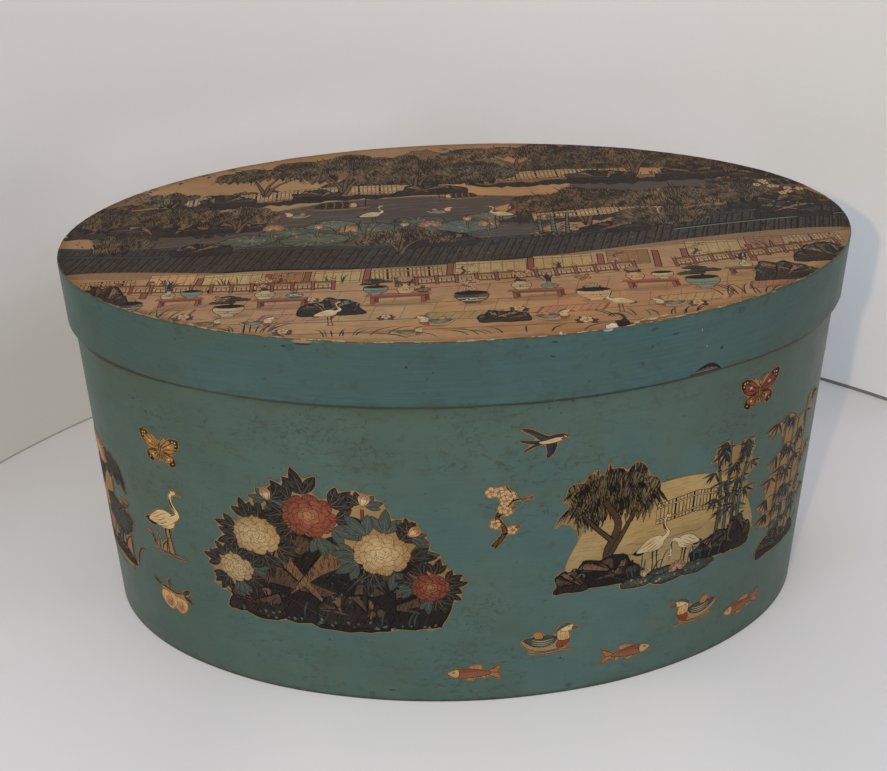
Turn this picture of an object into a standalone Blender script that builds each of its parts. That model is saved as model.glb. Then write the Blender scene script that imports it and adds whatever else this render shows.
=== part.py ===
"""Bentwood oval box with a lift-off lid.

A long thin strip of wood is bent round an oval bottom board and closed with a
scarfed lap at the back, where small tacks hold the two ends together. A second,
shorter strip is bent round the lid board in the same way. Sprigs driven through
the strips hold them to the edges of the boards. The lid board is covered with a
sheet of paper, and paper cut-outs are pasted round the outside of the wall.

Metres, +Z up. The origin is the centre of the underside, where the box stands.
X runs along the oval, and -Y is the front.
"""

import math

import bmesh
import bpy
import numpy as np
from mathutils import Matrix, Vector
from mathutils.geometry import delaunay_2d_cdt

# ---------------------------------------------------------------- dimensions
LENGTH = 0.4060  # over the lid, the longest side
WIDTH = 0.2515  # over the lid
HEIGHT = 0.2152  # from the table to the top of the lid paper
RIM_HEIGHT = 0.0335  # how far the lid comes down over the wall
GAP = 0.0003  # between pieces that touch

WALL_T = 0.0026  # the wall's strip
LID_T = 0.0025  # the lid's strip
LID_CLEAR = 0.0006  # play between the wall and the lid's strip
PAPER_T = 0.00025
CUTOUT_T = 0.0002

BOTTOM_T = 0.0080  # bottom board
LID_BOARD_T = 0.0070

LID_TOP = HEIGHT - PAPER_T - GAP
RIM_Z = HEIGHT - RIM_HEIGHT
WALL_TOP = LID_TOP - LID_BOARD_T - GAP

# Every ring is the wall's outer oval moved out or in by an offset.
LID_OUT = LID_CLEAR + LID_T
OVAL_A = LENGTH / 2 - LID_OUT
OVAL_B = WIDTH / 2 - LID_OUT
STATIONS = 104  # flats round the oval, closer together at its ends

# The laps, from the lap's first point along the oval, which starts at front
# centre and runs to the right, round the back and home.
LAP = 0.055
FEATHER = 0.0004  # thickness of a scarfed end at its tip
WALL_LAP_AT = 0.492
LID_LAP_AT = 0.545

# Sprigs and tacks
SIDES = 10
HEAD_R, HEAD_T, HEAD_UP = 0.0018, 0.0006, 0.00012
SHANK_R, POINT = 0.00085, 0.0022
HOLE_R, SINK_R, SINK = 0.00125, 0.0022, 0.0009
SPRIGS = 10
SPRIG_LONG = 0.013
BOTTOM_SPRIG_Z = 0.0044
LID_SPRIG_Z = LID_TOP - 0.0042

# A chip out of the outside of the lid strip's lower edge, right of centre at the front
CHIP_ANGLE = math.radians(-57.4)
CHIP_WIDE, CHIP_DEEP = 0.0190, 0.0048
CHIP_LEFT = 0.0009  # how much of the strip's thickness is left behind it

# Paper cut-outs: name, place along the wall from front centre (to the right),
# height of the centre, points round the outline, and the ovals that its shape is
# cut round, each as (across, up, half width, half height, turn in degrees), in
# millimetres from the centre.
CUTOUTS = [
    ("cutout_peony_rock", -70, 95, 60, [(0, -4, 40, 34, 0), (-38, 12, 34, 32, 10), (34, 14, 38, 28, -8),
                                        (-52, -30, 22, 18, 0), (50, -32, 24, 16, 0), (0, 34, 26, 16, 0), (0, -38, 62, 12, 0)]),
    ("cutout_waterside", 98, 101, 54, [(0, -28, 57, 16, 0), (-30, 4, 28, 32, 10), (34, 12, 26, 32, -8),
                                       (0, 18, 30, 20, 0), (46, -18, 14, 22, 0), (-46, -24, 14, 18, 0)]),
    ("cutout_bamboo", 186, 92, 46, [(0, 0, 14, 58, 0), (-8, 34, 20, 24, 25), (12, 16, 18, 26, -20),
                                    (-10, -20, 16, 26, 15), (4, -52, 26, 10, 0)]),
    ("cutout_lotus", -226, 80, 50, [(0, 0, 24, 40, 0), (-22, 24, 22, 20, 0), (20, 32, 22, 18, 0),
                                    (18, -16, 24, 20, 0), (-20, -28, 22, 20, 0), (0, -48, 40, 8, 0)]),
    ("cutout_pine", 396, 96, 50, [(0, 0, 30, 40, 0), (-30, 20, 30, 24, 0), (30, 26, 32, 22, 0),
                                  (26, -10, 26, 18, 0), (-22, -20, 22, 20, 0), (0, -44, 40, 8, 0)]),
    ("cutout_chrysanthemum", -392, 86, 46, [(0, 0, 24, 34, 0), (-24, 20, 22, 20, 0), (22, 24, 24, 20, 0),
                                            (20, -20, 24, 20, 0), (-24, -26, 22, 16, 0), (0, -40, 38, 7, 0)]),
    ("cutout_swallow_1", 34, 158, 24, [(0, 0, 9, 5, 0), (-9, 3, 9, 4, -25), (9, 4, 10, 4, 25), (2, -5, 5, 5, 0)]),
    ("cutout_swallow_2", 240, 146, 24, [(0, 0, 9, 5, 0), (-9, 3, 9, 4, -25), (9, 4, 10, 4, 25), (2, -5, 5, 5, 0)]),
    ("cutout_swallow_3", -330, 150, 24, [(0, 0, 9, 5, 0), (-9, 3, 9, 4, -25), (9, 4, 10, 4, 25), (2, -5, 5, 5, 0)]),
    ("cutout_butterfly_1", 148, 160, 24, [(0, 0, 4, 7, 0), (-7, 3, 7, 7, 20), (7, 3, 7, 7, -20), (-5, -5, 5, 4, 0), (5, -5, 5, 4, 0)]),
    ("cutout_butterfly_2", -158, 138, 24, [(0, 0, 4, 7, 0), (-7, 3, 7, 7, 20), (7, 3, 7, 7, -20), (-5, -5, 5, 4, 0), (5, -5, 5, 4, 0)]),
    ("cutout_butterfly_3", 316, 150, 24, [(0, 0, 4, 7, 0), (-7, 3, 7, 7, 20), (7, 3, 7, 7, -20), (-5, -5, 5, 4, 0), (5, -5, 5, 4, 0)]),
    ("cutout_crane_1", -164, 92, 32, [(0, 0, 15, 10, 10), (10, 14, 4, 14, -15), (-12, -2, 8, 7, 20), (1, -16, 5, 12, 0)]),
    ("cutout_crane_2", 302, 92, 32, [(0, 0, 15, 10, 10), (10, 14, 4, 14, -15), (-12, -2, 8, 7, 20), (1, -16, 5, 12, 0)]),
    ("cutout_duck_1", 40, 38, 26, [(0, -1, 15, 8, 0), (10, 6, 6, 6, 0), (-12, 3, 5, 5, 0)]),
    ("cutout_duck_2", 122, 36, 26, [(0, -1, 14, 7, 0), (-10, 5, 6, 6, 0), (12, 3, 5, 5, 0)]),
    ("cutout_duck_3", 302, 30, 26, [(0, -1, 15, 8, 0), (10, 6, 6, 6, 0), (-12, 3, 5, 5, 0)]),
    ("cutout_fish_1", 82, 20, 24, [(0, 0, 11, 6, 0), (-11, 0, 5, 6, 0), (10, 0, 6, 4, 0)]),
    ("cutout_fish_2", 158, 22, 24, [(0, 0, 11, 6, 0), (11, 0, 5, 6, 0), (-10, 0, 6, 4, 0)]),
    ("cutout_fish_3", 2, 20, 24, [(0, 0, 10, 5, 0), (10, 0, 5, 6, 0), (-9, 0, 5, 4, 0)]),
    ("cutout_fish_4", -306, 34, 24, [(0, 0, 11, 6, 0), (-11, 0, 5, 6, 0), (10, 0, 6, 4, 0)]),
    ("cutout_plum_sprig_1", 18, 118, 28, [(0, 0, 8, 16, -15), (6, 12, 8, 8, 0), (-4, -12, 7, 9, 0)]),
    ("cutout_plum_sprig_2", -302, 108, 28, [(0, 0, 8, 16, -15), (6, 12, 8, 8, 0), (-4, -12, 7, 9, 0)]),
    ("cutout_peach_1", -165, 42, 26, [(0, 0, 10, 10, 0), (-9, 8, 7, 5, 30), (9, 9, 7, 5, -30)]),
    ("cutout_peach_2", -456, 130, 26, [(0, 0, 10, 10, 0), (-9, 8, 7, 5, 30), (9, 9, 7, 5, -30)]),
    ("cutout_gourd_1", 247, 40, 28, [(0, -7, 9, 9, 0), (0, 7, 6, 7, 0), (5, 13, 7, 5, 20)]),
    ("cutout_gourd_2", -456, 40, 28, [(0, -7, 9, 9, 0), (0, 7, 6, 7, 0), (5, 13, 7, 5, 20)]),
]

# ---------------------------------------------------------------- the oval
for old in list(bpy.data.objects):
    bpy.data.objects.remove(old, do_unlink=True)


def oval_points():
    """The flats' corners on the oval, from front centre to the right, closer where it bends more."""
    fine = np.linspace(-math.pi / 2, 1.5 * math.pi, 20001)
    x, y = OVAL_A * np.cos(fine), OVAL_B * np.sin(fine)
    dx, dy = -OVAL_A * np.sin(fine), OVAL_B * np.cos(fine)
    speed = np.hypot(dx, dy)
    bend = OVAL_A * OVAL_B / speed**3
    weight = speed * np.sqrt(bend)
    run = np.concatenate([[0], np.cumsum((weight[1:] + weight[:-1]) / 2)])
    at = np.interp(np.linspace(0, run[-1], STATIONS + 1)[:-1], run, fine)
    return np.column_stack([OVAL_A * np.cos(at), OVAL_B * np.sin(at)])


BASE = oval_points()
_step = np.roll(BASE, -1, 0) - BASE
_long = np.hypot(_step[:, 0], _step[:, 1])
ALONG = np.concatenate([[0], np.cumsum(_long)])  # length along the oval at each corner
ROUND = ALONG[-1]
_flat = np.column_stack([_step[:, 1], -_step[:, 0]]) / _long[:, None]  # each flat's outward normal
_miter = _flat + np.roll(_flat, 1, 0)
_miter /= (1 + (_flat * np.roll(_flat, 1, 0)).sum(1))[:, None]


def on_oval(s, offset):
    """The point at length s along the oval, moved out by offset, on flats parallel to the wall's own."""
    s = s % ROUND
    i = int(np.searchsorted(ALONG, s, side="right")) - 1
    i = min(max(i, 0), STATIONS - 1)
    j = (i + 1) % STATIONS
    u = (s - ALONG[i]) / _long[i]
    p = BASE[i] + _miter[i] * offset
    q = BASE[j] + _miter[j] * offset
    return p + (q - p) * u


def outward(s):
    i = int(np.searchsorted(ALONG, s % ROUND, side="right")) - 1
    n = _flat[min(max(i, 0), STATIONS - 1)]
    return Vector((n[0], n[1], 0.0))


def corners_between(start, end):
    """Lengths of all the flats' corners from start to end, both included, running past the front as needed."""
    out = [start]
    turn = math.floor(start / ROUND)
    while turn * ROUND <= end:
        for a in ALONG[:-1]:
            s = turn * ROUND + a
            if start + 1e-5 < s < end - 1e-5:
                out.append(s)
        turn += 1
    return sorted(out) + [end]


# ---------------------------------------------------------------- helpers
def material(name, colour, rough, metal=0.0):
    m = bpy.data.materials.get(name)
    if m is None:
        m = bpy.data.materials.new(name)
        m.use_nodes = True
        p = m.node_tree.nodes["Principled BSDF"]
        p.inputs["Base Color"].default_value = (*colour, 1)
        p.inputs["Roughness"].default_value = rough
        p.inputs["Metallic"].default_value = metal
    return m


def finish_mesh(bm, name, mat, smooth=None):
    """Turns a bmesh into a named object, with its faces pointing out."""
    bmesh.ops.recalc_face_normals(bm, faces=bm.faces)
    me = bpy.data.meshes.new(name)
    bm.to_mesh(me)
    bm.free()
    me.materials.append(mat)
    if smooth is not None:
        me.shade_smooth()
        me.set_sharp_from_angle(angle=math.radians(smooth))
    ob = bpy.data.objects.new(name, me)
    bpy.context.scene.collection.objects.link(ob)
    return ob


def ring_prism(name, mat, offset_at, stops, low, high):
    """A solid board whose edge is the oval moved by offset_at(s)."""
    bm = bmesh.new()
    rings = []
    for z in (low, high):
        ring = []
        for s in stops:
            x, y = on_oval(s, offset_at(s))
            ring.append(bm.verts.new((x, y, z)))
        rings.append(ring)
    n = len(stops)
    for k in range(n):
        bm.faces.new((rings[0][k], rings[0][(k + 1) % n], rings[1][(k + 1) % n], rings[1][k]))
    bm.faces.new(list(reversed(rings[0])))
    bm.faces.new(rings[1])
    return finish_mesh(bm, name, mat, smooth=30)


def strip(name, mat, stops, low, high):
    """A bent strip. stops holds (length along the oval, inner offset, outer offset)."""
    bm = bmesh.new()
    rows = []
    for s, inner, outer in stops:
        xi, yi = on_oval(s, inner)
        xo, yo = on_oval(s, outer)
        rows.append([bm.verts.new(p) for p in ((xi, yi, low), (xo, yo, low), (xo, yo, high), (xi, yi, high))])
    for a, b in zip(rows, rows[1:]):
        for k in range(4):
            bm.faces.new((a[k], a[(k + 1) % 4], b[(k + 1) % 4], b[k]))
    bm.faces.new(rows[0])
    bm.faces.new(list(reversed(rows[-1])))
    return finish_mesh(bm, name, mat, smooth=30)


def turned(bm, profile, frame):
    """Adds a closed turned shape. profile holds (radius, height), from the bottom up, with a radius of 0 at both ends."""
    rings = []
    for r, h in profile:
        if r == 0:
            rings.append([bm.verts.new(frame @ Vector((0, 0, h)))])
        else:
            rings.append([
                bm.verts.new(frame @ Vector((r * math.cos(2 * math.pi * k / SIDES), r * math.sin(2 * math.pi * k / SIDES), h)))
                for k in range(SIDES)
            ])
    for a, b in zip(rings, rings[1:]):
        for k in range(SIDES):
            j = (k + 1) % SIDES
            if len(a) == 1:
                bm.faces.new((a[0], b[k], b[j]))
            elif len(b) == 1:
                bm.faces.new((a[k], a[j], b[0]))
            else:
                bm.faces.new((a[k], a[j], b[j], b[k]))


def frame_at(s, z, offset):
    """A frame on the oval whose Z axis points out of the wall."""
    x, y = on_oval(s, offset)
    n = outward(s)
    up = Vector((0, 0, 1))
    side = up.cross(n)
    m = Matrix((side, up, n)).transposed().to_4x4()
    m.translation = Vector((x, y, z))
    return m


def nail(name, mat, s, z, surface, length):
    """A sprig or tack whose head lies in the surface at that offset, pointing in."""
    bm = bmesh.new()
    turned(bm, [(0, -length), (SHANK_R, -length + POINT), (SHANK_R, HEAD_UP - HEAD_T), (HEAD_R, HEAD_UP - HEAD_T),
                (HEAD_R, HEAD_UP * 0.4), (HEAD_R * 0.6, HEAD_UP), (0, HEAD_UP)], Matrix.Identity(4))
    ob = finish_mesh(bm, name, mat, smooth=40)
    ob.matrix_world = frame_at(s, z, surface)
    return ob


def sink_cutter(bm, s, z, surface, depth):
    """The hole that a nail's shank and head go into."""
    turned(bm, [(0, -depth), (HOLE_R, -depth), (HOLE_R, -SINK), (SINK_R, -SINK), (SINK_R, 0.002), (0, 0.002)],
           frame_at(s, z, surface))


def cutter(name, bm, target):
    ob = finish_mesh(bm, name, material("cutter", (0.8, 0.2, 0.2), 0.5))
    ob.hide_render = True
    ob.display_type = "WIRE"
    cut = target.modifiers.new("holes", "BOOLEAN")
    cut.operation = "DIFFERENCE"
    cut.solver = "EXACT"
    cut.object = ob
    return ob


# ---------------------------------------------------------------- materials
TEAL = material("teal_paint", (0.075, 0.110, 0.092), 0.42)
RIM_TEAL = material("rim_teal_paint", (0.062, 0.105, 0.098), 0.40)
WOOD = material("bare_wood", (0.42, 0.27, 0.15), 0.65)
LID_WOOD = material("lid_board_wood", (0.44, 0.29, 0.16), 0.65)
TOP_PAPER = material("lid_paper", (0.29, 0.18, 0.095), 0.38)
CUT_PAPER = material("cutout_paper", (0.16, 0.11, 0.075), 0.38)
IRON = material("sprig_iron", (0.09, 0.08, 0.07), 0.55, 0.8)
TACK = material("tack_iron", (0.10, 0.09, 0.08), 0.5, 0.8)

# ---------------------------------------------------------------- the wall
SIDE_TILT = FEATHER + GAP


def wall_stops():
    """The wall's strip lies flush outside: its first end is bent in under its last one."""
    s0, s1 = WALL_LAP_AT, WALL_LAP_AT + LAP
    stops = []
    for s in corners_between(s0, s1):
        u = (s - s0) / LAP
        stops.append((s, -WALL_T - SIDE_TILT * (1 - u), -WALL_T + (WALL_T - FEATHER) * u - GAP))
    stops.append((s1 + GAP, -WALL_T, -FEATHER - GAP))
    stops.append((s1 + GAP + 0.0002, -WALL_T, 0.0))
    for s in corners_between(s1 + GAP + 0.0002, s0 + ROUND)[1:]:
        stops.append((s, -WALL_T, 0.0))
    for s in corners_between(s0 + ROUND, s1 + ROUND)[1:]:
        u = (s - s0 - ROUND) / LAP
        stops.append((s, -WALL_T + (WALL_T - FEATHER) * u, 0.0))
    return stops


side_band = strip("side_band", TEAL, wall_stops(), 0.0, WALL_TOP)


def board_edge(s):
    """The bottom board's edge, with room for the wall's inner end."""
    s0 = WALL_LAP_AT
    u = ((s - s0 + ROUND / 2) % ROUND) - ROUND / 2
    if -0.008 < u <= 0:
        extra = SIDE_TILT * (1 + u / 0.008)
    elif 0 < u < LAP:
        extra = SIDE_TILT * (1 - u / LAP)
    else:
        extra = 0.0
    return -WALL_T - GAP - extra


board_stops = sorted(set(list(ALONG[:-1]) + [WALL_LAP_AT - 0.008, WALL_LAP_AT, (WALL_LAP_AT + LAP) % ROUND]))
bottom_board = ring_prism("bottom_board", WOOD, board_edge, board_stops, 0.0, BOTTOM_T)


# ---------------------------------------------------------------- the lid
def lid_stops():
    """The lid's strip lies flush inside: its last end steps out over its first one."""
    s0, s1 = LID_LAP_AT, LID_LAP_AT + LAP
    inn, out = LID_CLEAR, LID_OUT
    stops = []
    for s in corners_between(s0, s1):
        u = (s - s0) / LAP
        stops.append((s, inn, inn + FEATHER + (LID_T - FEATHER) * u))
    end = s0 + ROUND
    for s in corners_between(s1, end - GAP - 0.0002)[1:]:
        stops.append((s, inn, out))
    stops.append((end - GAP, inn + SIDE_TILT, out))
    for s in corners_between(end, end + LAP):
        u = (s - end) / LAP
        stops.append((s, inn + SIDE_TILT + (LID_T - FEATHER) * u, out + SIDE_TILT * u))
    return stops


lid_band = strip("lid_band", RIM_TEAL, lid_stops(), RIM_Z, LID_TOP)
lid_board = ring_prism("lid_board", LID_WOOD, lambda s: LID_CLEAR - GAP, list(ALONG[:-1]), WALL_TOP + GAP, LID_TOP)
lid_paper = ring_prism("lid_paper", TOP_PAPER, lambda s: LID_OUT - 0.0001, list(ALONG[:-1]), HEIGHT - PAPER_T, HEIGHT)

# ---------------------------------------------------------------- sprigs and tacks
wall_holes, bottom_holes = bmesh.new(), bmesh.new()
rim_holes, lid_board_holes = bmesh.new(), bmesh.new()

for k in range(SPRIGS):
    s = ROUND * (k + 0.5) / SPRIGS
    nail(f"bottom_sprig_{k + 1:02d}", IRON, s, BOTTOM_SPRIG_Z, 0.0, SPRIG_LONG)
    for bm in (wall_holes, bottom_holes):
        sink_cutter(bm, s, BOTTOM_SPRIG_Z, 0.0, SPRIG_LONG + 0.0006)
    s = ROUND * (k + 0.23) / SPRIGS
    nail(f"lid_sprig_{k + 1:02d}", IRON, s, LID_SPRIG_Z, LID_OUT, SPRIG_LONG)
    for bm in (rim_holes, lid_board_holes):
        sink_cutter(bm, s, LID_SPRIG_Z, LID_OUT, SPRIG_LONG + 0.0006)

# Five tacks hold the wall's lap, in two staggered rows below the lid.
for k, (u, z) in enumerate([(0.016, 0.030), (0.036, 0.062), (0.016, 0.094), (0.036, 0.126), (0.016, 0.158)]):
    s = WALL_LAP_AT + u
    nail(f"wall_tack_{k + 1}", TACK, s, z, 0.0, 0.0062)
    sink_cutter(wall_holes, s, z, 0.0, 0.0070)

# Two short tacks hold the lid's lap; they stop inside the strip, clear of the wall.
for k, (u, z) in enumerate([(0.030, RIM_Z + 0.009), (0.030, RIM_Z + 0.022)]):
    s = LID_LAP_AT + u
    surface = LID_OUT + SIDE_TILT * u / LAP
    nail(f"lid_tack_{k + 1}", TACK, s, z, surface, LID_T + SIDE_TILT * u / LAP)
    sink_cutter(rim_holes, s, z, surface, 0.0040)

# The chip is a scoop out of the strip's outer face at its lower edge.
chip_r = (CHIP_WIDE**2 / 4 + CHIP_DEEP**2) / (2 * CHIP_DEEP)
chip_x, chip_y = OVAL_A * math.cos(CHIP_ANGLE), OVAL_B * math.sin(CHIP_ANGLE)
chip_i = int(np.argmin(np.hypot(BASE[:, 0] - chip_x, BASE[:, 1] - chip_y)))
chip_s = ALONG[chip_i] + _long[chip_i] * 0.5
chip_frame = frame_at(chip_s, RIM_Z + CHIP_DEEP - chip_r, LID_CLEAR)
chip_side = [
    Vector((chip_r * math.cos(a), chip_r * math.sin(a), 0)) for a in (2 * math.pi * (k + 0.5) / 24 for k in range(24))
]
low_ring = [rim_holes.verts.new(chip_frame @ (v + Vector((0, 0, CHIP_LEFT)))) for v in chip_side]
top_ring = [rim_holes.verts.new(chip_frame @ (v + Vector((0, 0, 0.005)))) for v in chip_side]
for k in range(24):
    j = (k + 1) % 24
    rim_holes.faces.new((low_ring[k], low_ring[j], top_ring[j], top_ring[k]))
rim_holes.faces.new(list(reversed(low_ring)))
rim_holes.faces.new(top_ring)

cutter("wall_hole_cutter", wall_holes, side_band)
cutter("bottom_hole_cutter", bottom_holes, bottom_board)
cutter("rim_hole_cutter", rim_holes, lid_band)
cutter("lid_board_hole_cutter", lid_board_holes, lid_board)


# ---------------------------------------------------------------- paper cut-outs
def outline(ovals, count):
    """The outermost reach of the ovals in each direction from the centre, which is how the scissors went round them."""
    points = []
    for k in range(count):
        a = 2 * math.pi * k / count
        d = (math.cos(a), math.sin(a))
        reach = 0.004
        for cx, cy, rx, ry, turn in ovals:
            t = math.radians(turn)
            c, n = math.cos(t), math.sin(t)
            # the ray in the oval's own frame, scaled to a unit circle
            ox, oy = (-cx * c - cy * n) / rx, (cx * n - cy * c) / ry
            vx, vy = (d[0] * c + d[1] * n) / rx, (-d[0] * n + d[1] * c) / ry
            qa, qb, qc = vx * vx + vy * vy, 2 * (ox * vx + oy * vy), ox * ox + oy * oy - 1
            disc = qb * qb - 4 * qa * qc
            if disc > 0:
                far = (-qb + math.sqrt(disc)) / (2 * qa)
                if far > 0:
                    reach = max(reach, far / 1000)
        points.append((reach, a))
    # the scissors round each corner a little
    smooth = []
    for k in range(count):
        r = (points[k - 1][0] + 2 * points[k][0] + points[(k + 1) % count][0]) / 4
        smooth.append((r * math.cos(points[k][1]), r * math.sin(points[k][1])))
    return smooth


def cutout(name, along_mm, up_mm, count, ovals):
    """A paper cut-out pasted to the wall: its outline is cut along the wall's flats and bent with them."""
    s0, z0 = along_mm / 1000, up_mm / 1000
    shape = [(s0 + x, z0 + y) for x, y in outline(ovals, count)]
    verts = [Vector(p) for p in shape]
    left, right = min(p[0] for p in shape), max(p[0] for p in shape)
    edges = []
    for s in corners_between(left, right)[1:-1]:
        edges.append((len(verts), len(verts) + 1))
        verts += [Vector((s, z0 - 0.2)), Vector((s, z0 + 0.2))]
    out, _, tris, _, _, origin = delaunay_2d_cdt(verts, edges, [list(range(len(shape)))], 0, 1e-7)
    keep = [f for f, o in zip(tris, origin) if o]
    used = sorted({v for f in keep for v in f})
    bm = bmesh.new()
    low, top = {}, {}
    for v in used:
        s, z = out[v]
        for table, offset in ((low, GAP), (top, GAP + CUTOUT_T)):
            x, y = on_oval(s, offset)
            table[v] = bm.verts.new((x, y, z))
    edge_uses = {}
    for f in keep:
        bm.faces.new([top[v] for v in f])
        bm.faces.new([low[v] for v in reversed(f)])
        for a, b in zip(f, f[1:] + f[:1]):
            edge_uses[(a, b)] = True
    for a, b in edge_uses:
        if (b, a) not in edge_uses:
            bm.faces.new((low[a], low[b], top[b], top[a]))
    bmesh.ops.dissolve_limit(bm, angle_limit=math.radians(0.05), verts=bm.verts, edges=bm.edges)
    return finish_mesh(bm, name, CUT_PAPER, smooth=30)


for entry in CUTOUTS:
    cutout(*entry)

# The lid's pieces follow an empty at the middle of its rim, on the line it lifts along.
lift = bpy.data.objects.new("lid_lift_axis", None)
bpy.context.scene.collection.objects.link(lift)
lift.location = (0, 0, RIM_Z)
bpy.context.view_layer.update()
for ob in list(bpy.context.scene.objects):
    if ob.name.startswith("lid_") and ob.type == "MESH" and not ob.hide_render:
        ob.parent = lift
        ob.matrix_parent_inverse = lift.matrix_world.inverted()
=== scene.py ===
import math

import bmesh
import bpy
import numpy as np
from mathutils import Matrix, Vector
from mathutils.geometry import delaunay_2d_cdt


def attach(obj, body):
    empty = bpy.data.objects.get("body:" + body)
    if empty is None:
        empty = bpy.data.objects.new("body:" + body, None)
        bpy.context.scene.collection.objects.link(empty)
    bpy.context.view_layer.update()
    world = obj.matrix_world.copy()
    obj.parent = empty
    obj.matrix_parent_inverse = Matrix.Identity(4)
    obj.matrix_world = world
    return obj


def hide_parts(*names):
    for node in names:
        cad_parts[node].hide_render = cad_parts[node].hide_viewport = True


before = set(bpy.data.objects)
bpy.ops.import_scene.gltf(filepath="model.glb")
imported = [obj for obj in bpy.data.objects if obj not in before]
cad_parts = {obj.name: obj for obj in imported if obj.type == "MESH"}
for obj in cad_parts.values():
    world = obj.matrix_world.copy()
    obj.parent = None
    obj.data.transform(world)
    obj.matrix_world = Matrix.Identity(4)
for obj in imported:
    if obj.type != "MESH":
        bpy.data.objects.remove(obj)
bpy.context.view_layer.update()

# ------------------------------------------------------------------ camera
scene = bpy.context.scene
scene.view_settings.view_transform = "Standard"
scene.view_settings.look = "None"

cam_data = bpy.data.cameras.new("camera")
cam = bpy.data.objects.new("camera", cam_data)
scene.collection.objects.link(cam)
cam_data.sensor_width = 36.0
cam_data.lens = 49.196
cam_data.shift_x = 0.0802
cam_data.clip_start, cam_data.clip_end = 0.02, 50.0
right = Vector((0.99897, -0.01779, -0.04169))
up = Vector((0.04496, 0.50621, 0.86124))
back = Vector((0.00579, -0.86223, 0.50649))
rot = Matrix((right, up, back)).transposed().to_4x4()
cam.matrix_world = Matrix.Translation((-0.04033, -0.58326, 0.46388)) @ rot
scene.camera = cam

# ------------------------------------------------------------------ sizes, as in the construction
HEIGHT, RIM_HEIGHT, GAP = 0.2152, 0.0335, 0.0003
WALL_T, LID_T, LID_CLEAR, PAPER_T = 0.0026, 0.0025, 0.0006, 0.00025
LID_BOARD_T = 0.0070
LID_TOP = HEIGHT - PAPER_T - GAP
RIM_Z = HEIGHT - RIM_HEIGHT
WALL_TOP = LID_TOP - LID_BOARD_T - GAP
LID_OUT = LID_CLEAR + LID_T
OVAL_A, OVAL_B = 0.4060 / 2 - LID_OUT, 0.2515 / 2 - LID_OUT
LAP, FEATHER = 0.055, 0.0004
WALL_LAP_AT, LID_LAP_AT = 0.492, 0.545
STEP_UP = FEATHER + GAP
CHIP_ANGLE = math.radians(-57.4)

# ------------------------------------------------------------------ the oval
_tau = np.linspace(-math.pi / 2, 1.5 * math.pi, 60001)
_speed = np.hypot(OVAL_A * np.sin(_tau), OVAL_B * np.cos(_tau))
_run = np.concatenate([[0], np.cumsum((_speed[1:] + _speed[:-1]) / 2 * np.diff(_tau))])
ROUND = float(_run[-1])


def on_oval(s, offset=0.0):
    """Points at lengths s along the wall's outer oval from front centre, moved out by offset."""
    t = np.interp(np.mod(s, ROUND), _run, _tau)
    c, n = np.cos(t), np.sin(t)
    nx, ny = c / OVAL_A, n / OVAL_B
    k = np.hypot(nx, ny)
    return np.stack([OVAL_A * c + nx / k * offset, OVAL_B * n + ny / k * offset], -1)


def s_of_angle(a):
    return float(np.interp((a + math.pi / 2) % (2 * math.pi) - math.pi / 2, _tau, _run))


def waver(s, z):
    """How far the hand-bent wall stands in or out of a true oval, in metres."""
    k = 2 * math.pi / ROUND
    return (
        0.00007 * np.sin(5 * k * s + 0.7)
        + 0.00005 * np.sin(11 * k * s + 2.1 + 9 * z)
        + 0.00004 * np.sin(17 * k * s + 21 * z)
    )


def smooth_noise(x, seed, knots=64, period=None):
    """A smooth curve through seeded random heights between -1 and 1, one per unit of x."""
    heights = np.random.default_rng(seed).uniform(-1, 1, knots)
    n = period or knots
    i = np.floor(x).astype(int)
    u = x - i
    u = u * u * (3 - 2 * u)
    return heights[np.mod(i, n) % knots] * (1 - u) + heights[np.mod(i + 1, n) % knots] * u


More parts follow.
